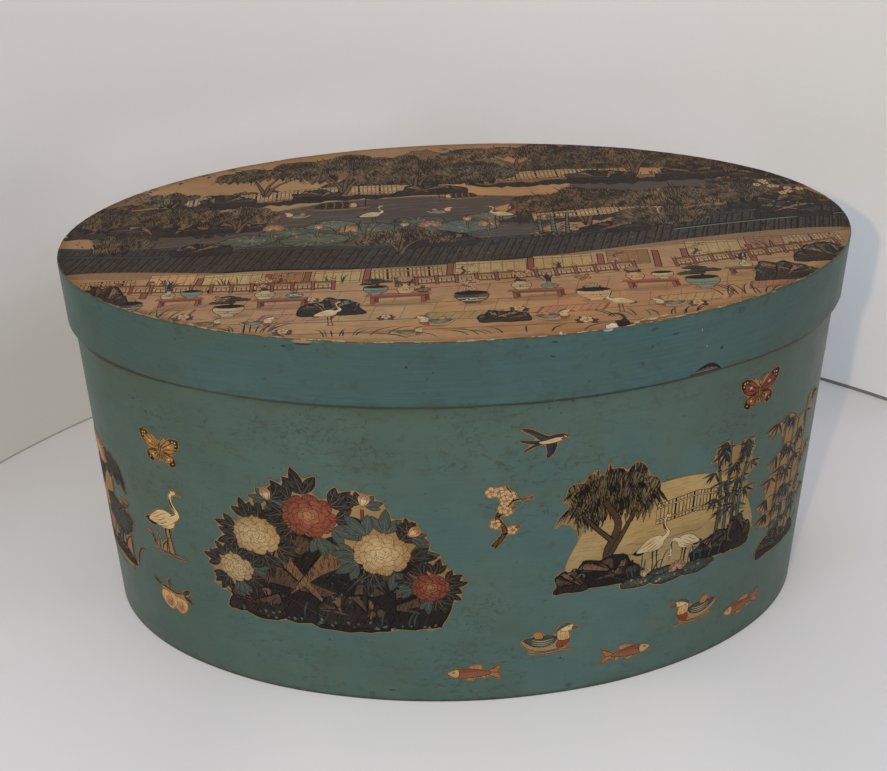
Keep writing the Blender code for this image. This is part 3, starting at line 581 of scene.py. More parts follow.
def lid_inner(s):
    if s > L0 + ROUND - GAP - 1e-6:
        return LID_CLEAR + STEP_UP + (LID_T - FEATHER) * max(0.0, s - L0 - ROUND) / LAP
    return LID_CLEAR


def lid_outer(s):
    if s <= L1:
        return LID_CLEAR + FEATHER + (LID_T - FEATHER) * (s - L0) / LAP
    if s > L0 + ROUND:
        return LID_OUT + STEP_UP * (s - L0 - ROUND) / LAP
    return LID_OUT


def lid_low(s):
    """The lower edge: slightly uneven."""
    front = (s + ROUND / 2) % ROUND - ROUND / 2
    dip = 0.0008 * math.exp(-(((front + 0.060) / 0.055) ** 2)) - 0.0005 * math.exp(-(((front - 0.100) / 0.045) ** 2))
    return RIM_Z - dip + 0.00022 * float(smooth_noise(np.array(s * 95), 3, 97)) + 0.00010 * float(smooth_noise(np.array(s * 400), 4, 89))


def chip_arch(s):
    """How high the chip reaches. It rises slowly from the left and ends short on the right."""
    u = np.clip((s - CHIP_S - ROUND + 0.0125) / 0.0213, 0, 1)
    return 0.0053 * np.sin(math.pi * u**1.66) ** 0.85 + 0.00014 * np.sin(s * 5200) * np.sin(math.pi * u)


def chip_lip(s, z):
    arch = np.maximum(chip_arch(s), 1e-6)
    u = np.clip((s - CHIP_S - ROUND + 0.0125) / 0.0213, 0, 1)
    share = 0.68 - 0.20 * u + 0.05 * np.sin(s * 2600)
    return np.clip(0.5 + (share - (RIM_Z + arch - z) / arch) * 2.6, 0, 1) * (arch > 0.0004)


def chip(s, z):
    """The scoop broken out of the lower edge at the front right: how deep it is."""
    arch = chip_arch(s)
    below = np.clip((RIM_Z + arch - z) / 0.0044, 0, 1)
    return np.where(arch > 0.00005, 0.00150 * np.clip(below * 3.6, 0, 1) ** 0.5 + 0.00030 * below, 0.0) * (below > 0)


def lid_high(s):
    return LID_TOP - 0.00006 * (1 + float(smooth_noise(np.array(s * 150), 6, 91)))


rim_rows = np.concatenate([np.linspace(0, 0.165, 23), np.linspace(0.20, 1, 11)])
rim = strip_mesh("lid_strip", lid_stations, lid_inner, lid_outer, lid_low, lid_high, 0.0006, rim_rows, 4, [RIM_PAINT, STRIP_WOOD], scoop=chip, lip=chip_lip)
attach(rim, "lid")
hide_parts("lid_band")

# ------------------------------------------------------------------ drawing on paper
# Colours of an old print on toned paper, as linear light.
TAN = (0.335, 0.196, 0.101)
TAN_PALE = (0.440, 0.284, 0.148)
TAN_DEEP = (0.235, 0.130, 0.064)
STRAW = (0.375, 0.270, 0.122)
OCHRE = (0.375, 0.205, 0.075)
CREAM = (0.560, 0.440, 0.245)
INK = (0.012, 0.010, 0.009)
CHAR = (0.028, 0.023, 0.021)
CHAR_WARM = (0.042, 0.032, 0.026)
BROWN = (0.125, 0.078, 0.046)
OLIVE = (0.120, 0.102, 0.058)
SLATE = (0.050, 0.062, 0.070)
BLUE = (0.045, 0.066, 0.088)
TEAL = (0.085, 0.130, 0.112)
TEAL_PALE = (0.170, 0.215, 0.165)
BRICK = (0.235, 0.072, 0.046)
BRICK_DEEP = (0.130, 0.036, 0.026)
ROSE = (0.400, 0.180, 0.115)

PLAIN, DABS, HATCH, SCALES, VEINS, HAIR, RIPPLE, SPOKES, STIPPLE = range(9)


def mixed(a, b, t):
    return tuple(x + (y - x) * t for x, y in zip(a, b))


def curve(points, n=16):
    """A smooth open line through the points."""
    p = np.asarray(points, float)
    p = np.vstack([2 * p[0] - p[1], p, 2 * p[-1] - p[-2]])
    t = np.linspace(0, len(p) - 3 - 1e-9, n)
    i, u = t.astype(int), (t - t.astype(int))[:, None]
    a, b, c, d = p[i], p[i + 1], p[i + 2], p[i + 3]
    return 0.5 * (2 * b + (c - a) * u + (2 * a - 5 * b + 4 * c - d) * u**2 + (3 * b - a - 3 * c + d) * u**3)


def closed(points, n=32):
    """A smooth loop through the points."""
    p = np.asarray(points, float)
    m = len(p)
    t = np.linspace(0, m, n, endpoint=False)
    i, u = t.astype(int), (t - t.astype(int))[:, None]
    a, b, c, d = p[(i - 1) % m], p[i % m], p[(i + 1) % m], p[(i + 2) % m]
    return 0.5 * (2 * b + (c - a) * u + (2 * a - 5 * b + 4 * c - d) * u**2 + (3 * b - a - 3 * c + d) * u**3)


def turned(points, degrees):
    a = math.radians(degrees)
    c, s = math.cos(a), math.sin(a)
    p = np.asarray(points, float)
    return np.column_stack([p[:, 0] * c - p[:, 1] * s, p[:, 0] * s + p[:, 1] * c])


def oval(cx, cy, rx, ry, turn=0, n=16):
    a = np.linspace(0, 2 * math.pi, n, endpoint=False)
    return turned(np.column_stack([rx * np.cos(a), ry * np.sin(a)]), turn) + (cx, cy)


def lobed(cx, cy, rx, ry, lobes, depth, turn=0, n=40, shift=0.0):
    """An oval with a scalloped edge."""
    a = np.linspace(0, 2 * math.pi, n, endpoint=False)
    r = 1 - depth + depth * 2 * np.abs(np.sin(lobes * a / 2 + shift)) ** 0.7
    return turned(np.column_stack([rx * r * np.cos(a), ry * r * np.sin(a)]), turn) + (cx, cy)


def blade(length, width, bend=0.0, n=9, tip=0.5):
    """A pointed leaf from the origin along +X, widest at tip of its length."""
    t = np.linspace(0, 1, n)
    w = width / 2 * np.sin(math.pi * t ** (math.log(0.5) / math.log(tip))) ** 0.9
    x, y = length * t, bend * np.sin(math.pi * t * 0.5) ** 2
    top = np.column_stack([x, y + w])
    low = np.column_stack([x, y - w])[1:-1][::-1]
    return np.vstack([top, low])


def grown(points, by):
    """The loop moved outward by an amount, at its corners."""
    p = np.asarray(points, float)
    q = p - np.roll(p, 1, 0)
    q = q / np.maximum(np.hypot(q[:, 0], q[:, 1]), 1e-9)[:, None]
    nrm = np.column_stack([q[:, 1], -q[:, 0]])
    m = nrm + np.roll(nrm, -1, 0)
    m = m / np.maximum(np.hypot(m[:, 0], m[:, 1]), 0.35)[:, None]
    area = np.sum(p[:, 0] * np.roll(p[:, 1], -1) - np.roll(p[:, 0], -1) * p[:, 1])
    return p + m * by * (1 if area > 0 else -1)


def ribbon(path, widths):
    """A brush stroke along a path, with a width at each point."""
    p = np.asarray(path, float)
    w = np.interp(np.linspace(0, 1, len(p)), np.linspace(0, 1, len(widths)), widths) / 2
    d = np.gradient(p, axis=0)
    d = d / np.maximum(np.hypot(d[:, 0], d[:, 1]), 1e-9)[:, None]
    nrm = np.column_stack([-d[:, 1], d[:, 0]])
    return np.vstack([p + nrm * w[:, None], (p - nrm * w[:, None])[::-1]])


def within(points, loop):
    """Which points a loop winds round."""
    px, py = points[:, 0:1], points[:, 1:2]
    x0, y0 = loop[:, 0], loop[:, 1]
    x1, y1 = np.roll(x0, -1), np.roll(y0, -1)
    side = (x1 - x0) * (py - y0) - (px - x0) * (y1 - y0)
    up_ = (y0 <= py) & (y1 > py) & (side > 0)
    down = (y0 > py) & (y1 <= py) & (side < 0)
    return (up_.sum(1) - down.sum(1)) != 0


class Pen:
    """Draws in its own place, size and turn on a sheet. Units are millimetres."""

    def __init__(self, shapes, m=None, size=1.0):
        self.shapes = shapes
        self.m = np.eye(3) if m is None else m
        self.size = size

    def at(self, x=0.0, y=0.0, size=1.0, turn=0.0, flip=False):
        a = math.radians(turn)
        c, s = math.cos(a) * size, math.sin(a) * size
        f = -1 if flip else 1
        m = self.m @ np.array([[c * f, -s, x], [s * f, c, y], [0, 0, 1.0]])
        return Pen(self.shapes, m, self.size * size)

    def to(self, points):
        p = np.asarray(points, float)
        return p @ self.m[:2, :2].T + self.m[:2, 2]

    def fill(self, points, colour, alpha=1.0, kind=PLAIN, ink=INK, grain=0.0, unit=1.0, about=(0, 0), edge=True):
        """A shape of one colour. kind and ink say what is drawn over it, along grain degrees, from about; unit scales that drawing."""
        a = math.radians(grain)
        c, s = math.cos(a), math.sin(a)
        inv = np.linalg.inv(self.m)
        ux, uy = (unit if hasattr(unit, "__len__") else (unit, unit))
        # from the sheet back to this pen's own millimetres, then along the grain
        k = 1.0 if kind in (SCALES, VEINS, SPOKES) else self.size
        local = np.array([[c, s, 0], [-s, c, 0], [0, 0, 1.0]]) @ np.array([[1, 0, -about[0]], [0, 1, -about[1]], [0, 0, 1.0]]) @ inv
        local = np.diag([k / ux, k / uy, 1.0]) @ local
        self.shapes.append((self.to(points), colour, alpha, kind, ink, local[:2], edge))

    def line(self, path, widths, colour=INK, alpha=1.0, n=None, edge=True, kind=None):
        if n:
            path = curve(path, n)
        self.shapes.append((self.to(ribbon(path, widths)), colour, alpha, kind, INK, None, edge))

    def inked(self, points, colour, w=0.35, line=INK, **more):
        """A filled shape with an ink outline."""
        self.fill(grown(points, w), line, edge=more.get("edge", True))
        self.fill(points, colour, **more)


def unseen(shapes):
    """For each shape, which of its edges lie wholly under later opaque shapes."""
    pts, owner, first, count = [], [], [], 0
    for k, sh in enumerate(shapes):
        p = sh[0]
        first.append(count)
        count += 2 * len(p)
        pts += [p, (p + np.roll(p, -1, 0)) / 2]
        owner += [k] * (2 * len(p))
    pts, owner = np.vstack(pts), np.array(owner)
    order = np.argsort(pts[:, 1])
    ys = pts[order, 1]
    under = np.zeros(len(pts), bool)
    for k, sh in enumerate(shapes):
        if sh[2] < 0.995 or k == 0:
            continue
        p = sh[0]
        (x0, y0), (x1, y1) = p.min(0), p.max(0)
        some = order[np.searchsorted(ys, y0) : np.searchsorted(ys, y1)]
        some = some[(pts[some, 0] >= x0) & (pts[some, 0] <= x1) & (owner[some] < k) & ~under[some]]
        if len(some):
            under[some[within(pts[some], p)]] = True
    result = []
    for k, sh in enumerate(shapes):
        n = len(sh[0])
        ends, mids = under[first[k] : first[k] + n], under[first[k] + n : first[k] + 2 * n]
        result.append(ends & np.roll(ends, -1) & mids)
    return result


def settle(shapes, outline, ground, cuts=(), ground_kind=(PLAIN, INK, None)):
    """Cuts a drawing into triangles along its shapes' visible edges, and gives each the colours of what lies over it."""
    verts, edges = [], []

    def loop(p, hidden=None):
        base, n = len(verts), len(p)
        if hidden is None or not hidden.any():
            verts.extend(Vector((float(x), float(y))) for x, y in p)
            edges.extend((base + k, base + (k + 1) % n) for k in range(n))
            return
        place = {}
        for k in np.nonzero(~hidden)[0].tolist():
            for q in (k, (k + 1) % n):
                if q not in place:
                    place[q] = len(verts)
                    verts.append(Vector((float(p[q, 0]), float(p[q, 1]))))
            edges.append((place[k], place[(k + 1) % n]))

    loop(outline)
    lo, hi = outline.min(0), outline.max(0)
    used = [sh for sh in shapes if not ((sh[0].max(0) < lo).any() or (sh[0].min(0) > hi).any())]
    for sh, hidden in zip(used, unseen(used)):
        loop(sh[0], hidden)
    for a, b in cuts:
        edges.append((len(verts), len(verts) + 1))
        verts += [Vector(a), Vector(b)]
    out, _, tris, _, _, _ = delaunay_2d_cdt(verts, edges, [], 0, 2e-4, False)
    pts = np.array([(v.x, v.y) for v in out])
    tri = np.array([t for t in tris if len(t) == 3])
    corner = pts[tri]
    area = (corner[:, 1, 0] - corner[:, 0, 0]) * (corner[:, 2, 1] - corner[:, 0, 1]) - (corner[:, 2, 0] - corner[:, 0, 0]) * (corner[:, 1, 1] - corner[:, 0, 1])
    tri[area < 0] = tri[area < 0][:, ::-1]
    mid = pts[tri].mean(1)
    keep = within_many(mid, outline)
    tri, mid = tri[keep], mid[keep]
    n = len(tri)
    colour = np.tile(np.array(ground, float), (n, 1)) if np.ndim(ground) == 1 else ground(mid)
    ink = np.tile(np.array(ground_kind[1], float), (n, 1))
    kind = np.full(n, ground_kind[0])
    source = np.full(n, -1)
    order = np.argsort(mid[:, 1])
    ys = mid[order, 1]
    for k, (p, c, alpha, what, line, _, _) in enumerate(used):
        (x0, y0), (x1, y1) = p.min(0), p.max(0)
        some = order[np.searchsorted(ys, y0) : np.searchsorted(ys, y1)]
        some = some[(mid[some, 0] >= x0) & (mid[some, 0] <= x1)]
        if not len(some):
            continue
        some = some[within(mid[some], p)]
        colour[some] = colour[some] * (1 - alpha) + np.array(c) * alpha
        if what is not None:
            kind[some], ink[some], source[some] = what, line, k
        elif alpha > 0.6:
            kind[some], source[some] = PLAIN, -1
    pat = np.zeros((n, 3, 3))
    pat[:, :, :2] = pts[tri]
    pat[:, :, 2] = kind[:, None]
    for k in np.unique(source[source >= 0]):
        some = np.nonzero(source == k)[0]
        local = used[k][5]
        if local is not None:
            q = pts[tri[some]].reshape(-1, 2)
            pat[some, :, :2] = (q @ local[:, :2].T + local[:, 2]).reshape(-1, 3, 2)
    return pts, tri, colour, ink, pat


def within_many(points, loop, chunk=20000):
    return np.concatenate([within(points[i : i + chunk], loop) for i in range(0, len(points), chunk)]) if len(points) else np.zeros(0, bool)


def silhouette(shapes, margin, wobble, seed, cell=0.3, skip=1.0):
    """The line that scissors took round a drawing: a little outside its edge."""
    solid = [s[0] for s in shapes if s[6]]
    lo = np.min([p.min(0) for p in solid], 0) - margin * 2 - 2
    hi = np.max([p.max(0) for p in solid], 0) + margin * 2 + 2
    nx, ny = (int((hi[i] - lo[i]) / cell) + 2 for i in (0, 1))
    mask = np.zeros((ny, nx), bool)
    xs, ys = lo[0] + (np.arange(nx) + 0.5) * cell, lo[1] + (np.arange(ny) + 0.5) * cell
    for p in solid:
        i0, i1 = np.searchsorted(xs, [p[:, 0].min() - cell, p[:, 0].max() + cell])
        j0, j1 = np.searchsorted(ys, [p[:, 1].min() - cell, p[:, 1].max() + cell])
        if i1 <= i0 or j1 <= j0:
            continue
        gx, gy = np.meshgrid(xs[i0:i1], ys[j0:j1])
        mask[j0:j1, i0:i1] |= within_many(np.column_stack([gx.ravel(), gy.ravel()]), p).reshape(gx.shape)
        for x, y in p:  # keeps strokes thinner than a cell
            mask[min(ny - 1, int((y - lo[1]) / cell)), min(nx - 1, int((x - lo[0]) / cell))] = True

    def spread_by(m, r):
        k = int(math.ceil(r / cell))
        grid = np.zeros_like(m)
        for dy in range(-k, k + 1):
            for dx in range(-k, k + 1):
                if (dx * dx + dy * dy) * cell * cell <= r * r:
                    a, b = max(0, dy), max(0, dx)
                    c, d = max(0, -dy), max(0, -dx)
                    grid[a : ny - c, b : nx - d] |= m[c : ny - a, d : nx - b]
        return grid

    # scissors skip narrow inlets: close them, then leave the margin
    wide = spread_by(mask, margin + skip)
    mask = ~spread_by(~wide, skip)
    # the longest boundary
    pad = np.zeros((ny + 2, nx + 2), bool)
    pad[1:-1, 1:-1] = mask
    step = {}
    ii, jj = np.nonzero(pad)
    for j, i in zip(ii.tolist(), jj.tolist()):
        if not pad[j - 1, i]:
            step.setdefault((i, j), []).append((i + 1, j))
        if not pad[j, i + 1]:
            step.setdefault((i + 1, j), []).append((i + 1, j + 1))
        if not pad[j + 1, i]:
            step.setdefault((i + 1, j + 1), []).append((i, j + 1))
        if not pad[j, i - 1]:
            step.setdefault((i, j + 1), []).append((i, j))
    best = []
    while step:
        start = next(iter(step))
        path, here = [], start
        while here in step:
            nxt = step[here].pop()
            if not step[here]:
                del step[here]
            path.append(here)
            here = nxt
        if len(path) > len(best):
            best = path
    p = np.array(best, float)
    p = (p - 1) * cell + lo
    soft = max(1, int(0.55 / cell))
    for _ in range(3):
        p = sum(np.roll(p, k, 0) for k in range(-soft, soft + 1)) / (2 * soft + 1)
    d = np.hypot(*(np.roll(p, -1, 0) - p).T)
    run = np.concatenate([[0], np.cumsum(d)])
    count = max(24, int(run[-1] / 0.8))
    t = np.linspace(0, run[-1], count, endpoint=False)
    ring = np.vstack([p, p[:1]])
    q = np.column_stack([np.interp(t, run, ring[:, 0]), np.interp(t, run, ring[:, 1])])
    rng = np.random.default_rng(seed)
    jog = rng.normal(0, wobble, count)
    jog = (np.roll(jog, 1) + jog * 2 + np.roll(jog, -1)) / 4
    return grown_by(q, jog)


def grown_by(p, by):
    q = np.roll(p, -1, 0) - np.roll(p, 1, 0)
    q = q / np.maximum(np.hypot(q[:, 0], q[:, 1]), 1e-9)[:, None]
    return p + np.column_stack([q[:, 1], -q[:, 0]]) * np.asarray(by)[:, None]


def paper_mesh(name, picture, to_world, under, mat, hidden_mat=None):
    """A sheet of paper as one closed mesh: the picture on top, a plain face below, and an edge. to_world maps (mm, mm, raised) to metres."""
    pts, tri, colour, ink, pat = picture
    used = np.unique(tri)
    remap = np.full(len(pts), -1)
    remap[used] = np.arange(len(used))
    pts, tri = pts[used], remap[tri]
    n = len(pts)
    # the boundary of the top face, in order
    e = np.concatenate([tri[:, [0, 1]], tri[:, [1, 2]], tri[:, [2, 0]]])
    key = e[:, 0].astype(np.int64) * n + e[:, 1]
    back_key = e[:, 1].astype(np.int64) * n + e[:, 0]
    rim_edges = e[~np.isin(key, back_key)]
    follow = {}
    for a, b in rim_edges.tolist():
        follow.setdefault(a, []).append(b)
    loops = []
    while follow:
        start = next(iter(follow))
        ring, here = [], start
        while here in follow:
            nxt = follow[here].pop()
            if not follow[here]:
                del follow[here]
            ring.append(here)
            here = nxt
        loops.append(ring)
    ring = max(loops, key=len)
    # the plain lower face, cut the same way across so that it bends with the top
    low_verts = [Vector((float(x), float(y))) for x, y in pts[ring]]
    m = len(ring)
    low_edges = [(k, (k + 1) % m) for k in range(m)]
    for a, b in under:
        low_edges.append((len(low_verts), len(low_verts) + 1))
        low_verts += [Vector(a), Vector(b)]
    out, _, faces, origins, _, _ = delaunay_2d_cdt(low_verts, low_edges, [], 0, 2e-4, True)
    low = np.array([(v.x, v.y) for v in out])
    low_tri = np.array([t for t in faces if len(t) == 3])
    c = low[low_tri]
    area = (c[:, 1, 0] - c[:, 0, 0]) * (c[:, 2, 1] - c[:, 0, 1]) - (c[:, 2, 0] - c[:, 0, 0]) * (c[:, 1, 1] - c[:, 0, 1])
    low_tri[area < 0] = low_tri[area < 0][:, ::-1]
    low_tri = low_tri[within_many(low[low_tri].mean(1), pts[ring])]
    same = {}
    for k, o in enumerate(origins):
        for v in o:
            if v < m:
                same[v] = k
    verts = np.vstack([to_world(pts, 1.0), to_world(low, 0.0)])
    quads = []
    for k in range(m):
        a, b = ring[k], ring[(k + 1) % m]
        qa, qb = same.get(k), same.get((k + 1) % m)
        if qa is None or qb is None or qa == qb:
            continue
        quads.append((a, n + qa, n + qb, b))
    all_faces = tri.tolist() + [[n + v for v in reversed(t)] for t in low_tri.tolist()] + [list(q) for q in quads]
    me = bpy.data.meshes.new(name)
    me.from_pydata(verts.tolist(), [], all_faces)
    me.materials.append(mat)
    corners = np.array([len(f) for f in all_faces])
    top = len(tri)
    rest = int(corners[top:].sum())

    def put(label, values, edge_value):
        layer = me.attributes.new(label, "FLOAT_COLOR", "CORNER")
        flat = np.empty((len(values) * 3 + rest, 4), np.float32)
        flat[: len(values) * 3] = np.concatenate([np.repeat(values, 3, 0), np.ones((len(values) * 3, 1))], 1)
        flat[len(values) * 3 :] = (*edge_value, 1)
        layer.data.foreach_set("color", flat.ravel())

    put("art", colour, TAN_DEEP)
    put("art2", ink, BROWN)
    layer = me.attributes.new("pat", "FLOAT_VECTOR", "CORNER")
    flat = np.zeros((top * 3 + rest, 3), np.float32)
    flat[: top * 3] = pat.reshape(-1, 3)
    layer.data.foreach_set("vector", flat.ravel())
    flat_pts = np.vstack([pts, low])
    uv = me.uv_layers.new(name="flat")
    loops_v = np.empty(len(me.loops), np.int32)
    me.loops.foreach_get("vertex_index", loops_v)
    uv.uv.foreach_set("vector", (flat_pts[loops_v] / 1000).astype(np.float32).ravel())
    me.validate()
    me.shade_smooth()
    me.set_sharp_from_angle(angle=math.radians(30))
    ob = bpy.data.objects.new(name, me)
    scene.collection.objects.link(ob)
    return ob


# ------------------------------------------------------------------ motifs, drawn with a pen
def fan(rng, low, high, n, jitter=0.25):
    """n angles spread from low to high degrees, slightly uneven."""
    a = np.linspace(low, high, n)
    return a + rng.normal(0, 1, n) * jitter * abs(high - low) / max(n, 2)


def dots(pen, points, rng, r, colour, alpha=1.0, edge=False):
    for x, y in points:
        k = r * rng.uniform(0.6, 1.25)
        pen.fill(oval(x, y, k, k * rng.uniform(0.55, 0.9), rng.uniform(0, 180), 6), colour, alpha, edge=edge)


def lotus_leaf(pen, w, h, rng, tone=CHAR, vein=(0.125, 0.135, 0.100), back_=(0.062, 0.088, 0.076)):
    ph = rng.uniform(0, 6, 3)
    a = np.linspace(0, 2 * math.pi, 46, endpoint=False)
    r = 1 + 0.055 * np.sin(4 * a + ph[0]) + 0.04 * np.sin(9 * a + ph[1]) + 0.022 * np.sin(17 * a + ph[2])
    notch = rng.uniform(0, 2 * math.pi)
    r = r - 0.22 * np.exp(-((np.angle(np.exp(1j * (a - notch))) / 0.10) ** 2))
    edge = np.column_stack([w / 2 * r * np.cos(a), h / 2 * r * np.sin(a)])
    off = (rng.uniform(-0.08, 0.08) * w, rng.uniform(-0.05, 0.12) * h)
    pen.fill(grown(edge, 0.55), INK)
    pen.fill(edge, tone, kind=VEINS, ink=vein, about=off, unit=(1.0, h / w))
    # part of the rim turned over
    k = rng.integers(4, 40)
    idx = (np.arange(k, k + 13)) % 46
    lip = np.vstack([edge[idx], (edge[idx] * (1 - 0.20 * np.sin(np.linspace(0, math.pi, 13)))[:, None])[::-1]])
    pen.fill(lip, back_, kind=HAIR, ink=tone, grain=rng.uniform(0, 180))
    pen.line(lip[13:], (0.3, 0.6, 0.3), INK)
    # washes and insect holes
    sweep = np.linspace(0, 2 * math.pi, 14, endpoint=False)
    c = rng.uniform(-0.2, 0.2, 2) * (w, h)
    pen.fill(np.column_stack([c[0] + 0.24 * w * np.cos(sweep), c[1] + 0.2 * h * np.sin(sweep)]), mixed(tone, back_, 0.5), 0.35, kind=None)
    pen.fill(oval(off[0], off[1], 1.5, 1.5 * h / w, 0, 10), vein)
    pen.fill(oval(off[0], off[1], 0.8, 0.8 * h / w, 0, 8), INK)
    for _ in range(3):
        q = rng.uniform(-0.32, 0.32, 2) * (w, h)
        pen.fill(oval(*q, rng.uniform(0.5, 1.1), rng.uniform(0.4, 0.8), rng.uniform(0, 90), 7), TAN)


def lotus_side(pen, w, h, rng, tone=CHAR, vein=(0.125, 0.135, 0.100)):
    """A leaf seen from its edge, as a drooping bowl. The stem meets it at the origin."""
    x = np.linspace(-w / 2, w / 2, 17)
    up_ = h * (1 - (2 * x / w) ** 2) ** 0.5 * 0.72 + h * 0.10 + 0.05 * h * np.sin(x * 9 / w * 3 + rng.uniform(0, 6))
    low = -h * 0.12 - 0.10 * h * np.cos(x * 2 * math.pi / w * 3.5 + rng.uniform(0, 2)) - 0.18 * h * (2 * np.abs(x) / w) ** 1.5
    body = np.vstack([np.column_stack([x, up_]), np.column_stack([x, low])[::-1]])
    pen.fill(grown(body, 0.5), INK)
    pen.fill(body, tone, kind=VEINS, ink=vein, about=(0, h * 0.72), unit=(1.0, 0.8))
    inner = np.vstack([np.column_stack([x[2:-2], low[2:-2] + h * 0.16]), np.column_stack([x[2:-2], low[2:-2]])[::-1]])
    pen.fill(inner, (0.062, 0.088, 0.076), kind=HAIR, ink=tone, grain=90)
    pen.line(np.column_stack([x[1:-1], low[1:-1] + h * 0.16]), (0.2, 0.5, 0.2), INK)


def petal(pen, length, width, turn, colour, tint, bend=0.0, line=BRICK_DEEP, w=0.28, tip=0.6):
    p = pen.at(turn=turn)
    shape = blade(length, width, bend, 9, tip)
    p.inked(shape, colour, w, line, kind=HAIR, ink=tint, unit=(1.6, 0.8))
    cap = shape[(shape[:, 0] > length * 0.62)]
    p.fill(cap, tint, 0.55, kind=None, edge=False)


def lotus_flower(pen, r, rng, pale=CREAM, tint=BRICK):
    for a in fan(rng, 28, 152, 6, 0.1):
        petal(pen, r * 1.05, r * 0.52, a, mixed(pale, tint, 0.55), tint)
    for a in fan(rng, 0, 180, 6, 0.1):
        petal(pen, r * 0.98, r * 0.46, a, mixed(pale, tint, 0.3), tint)
    pen.fill(oval(0, r * 0.34, r * 0.26, r * 0.2, 0, 14), OCHRE, kind=DABS, ink=BROWN)
    for a in fan(rng, 40, 140, 4, 0.1):
        petal(pen, r * 0.70, r * 0.42, a, pale, tint)
    for a in (-12, 192, 22, 158):
        petal(pen, r * 0.74, r * 0.34, a, mixed(pale, tint, 0.2), tint)


def lotus_bud(pen, r, rng, turn=0):
    p = pen.at(turn=turn)
    petal(p.at(-r * 0.12, 0), r * 1.25, r * 0.6, 96, mixed(CREAM, BRICK, 0.35), BRICK)
    petal(p.at(r * 0.12, 0), r * 1.25, r * 0.6, 84, mixed(CREAM, BRICK, 0.2), BRICK)
    petal(p, r * 1.1, r * 0.5, 90, CREAM, BRICK)


def lotus_pod(pen, r, rng):
    cup = closed([(-r, r * 0.9), (0, r * 1.15), (r, r * 0.9), (r * 0.35, 0), (-r * 0.35, 0)], 24)
    pen.inked(cup, OLIVE, 0.35, kind=HATCH, ink=CHAR, grain=90)
    pen.inked(oval(0, r * 0.98, r * 0.95, r * 0.30, 0, 18), mixed(OCHRE, OLIVE, 0.5), 0.3)
    for x in (-0.6, -0.2, 0.2, 0.6):
        pen.fill(oval(x * r, r * (0.98 + 0.05 * math.cos(9 * x)), r * 0.11, r * 0.07, 0, 7), INK)


def stem(pen, a, b, sway, w, colour=OLIVE, dark=INK):
    a, b = np.array(a, float), np.array(b, float)
    d = b - a
    nrm = np.array([-d[1], d[0]]) / max(np.hypot(*d), 1e-6)
    path = curve([a, a + d * 0.35 + nrm * sway, a + d * 0.7 + nrm * sway * 0.8, b], 12)
    pen.line(path, (w + 0.7, w + 0.5), dark)
    pen.line(path, (w, w * 0.8), colour)


def reeds(pen, n, height, spread_, rng, tone=CHAR, w=1.6):
    for _ in range(n):
        x = rng.normal(0, spread_ * 0.35)
        h = height * rng.uniform(0.55, 1.0)
        lean = rng.normal(0, 0.34) * h + x * 0.5
        path = curve([(x, 0), (x + lean * 0.2, h * 0.45), (x + lean * 0.62, h * 0.82), (x + lean * 1.15, h * rng.uniform(0.86, 1.04))], 9)
        pen.line(path, (w * 0.5, w, w * 0.7, 0.15), tone if rng.random() < 0.75 else mixed(tone, TEAL, 0.5))


def rock(pen, w, h, rng, tone=CHAR_WARM, light=BROWN, moss=True, lean=0.0, pale=TAN_DEEP):
    n = 12
    a = np.linspace(math.pi, 0, n)
    r = 1 + rng.uniform(-0.17, 0.15, n)
    top = np.column_stack([np.cos(a) * w / 2 * r + lean * np.sin(a) * w, np.sin(a) ** 0.8 * h * r])
    foot = np.array([(w * 0.40, -h * 0.07), (w * 0.14, -h * 0.10), (-w * 0.16, -h * 0.05), (-w * 0.42, -h * 0.09)])
    body = closed(np.vstack([top, foot]), 54)
    body = body + rng.normal(0, min(w, h) * 0.012, body.shape)
    pen.fill(grown(body, 0.7), INK)
    pen.fill(body, tone, kind=HATCH, ink=INK, grain=68 + rng.normal(0, 8), unit=1.3)
    mid = np.array([lean * w * 0.4, h * 0.05])
    for k in range(1, n - 2, 2):
        t0, t1 = top[k], top[k + 1]
        inner = mid + (np.array([rng.uniform(-0.34, 0.34) * w, rng.uniform(0.05, 0.3) * h]))
        side = t0 * 0.55 + inner * 0.45
        facet = closed([t0 * 0.93 + mid * 0.07, t1 * 0.90 + mid * 0.10, t1 * 0.5 + inner * 0.5, inner, side], 18)
        pen.fill(facet, light if k % 4 == 1 else pale, 0.85, kind=HATCH, ink=tone, grain=60 + 40 * rng.random(), unit=0.9)
        path = curve([t0 * 0.97 + mid * 0.03, side + rng.normal(0, 0.03, 2) * w, inner], 9)
        pen.line(path, (0.4, 1.1, 0.3), INK)
    for _ in range(4):
        x = rng.uniform(-0.36, 0.36) * w
        y = rng.uniform(0.0, 0.42) * h
        pen.line(curve([(x, y), (x + rng.normal(0, 0.06) * w, y + 0.12 * h), (x + rng.normal(0, 0.10) * w, y + 0.22 * h)], 7), (0.2, 0.8, 0.2), INK)
    if moss:
        for k in range(2, n - 2):
            for _ in range(3):
                q = top[k] * rng.uniform(0.9, 1.0) + rng.normal(0, 0.03, 2) * w
                dots(pen, [q], rng, 0.85, TEAL if rng.random() < 0.35 else INK, edge=False)


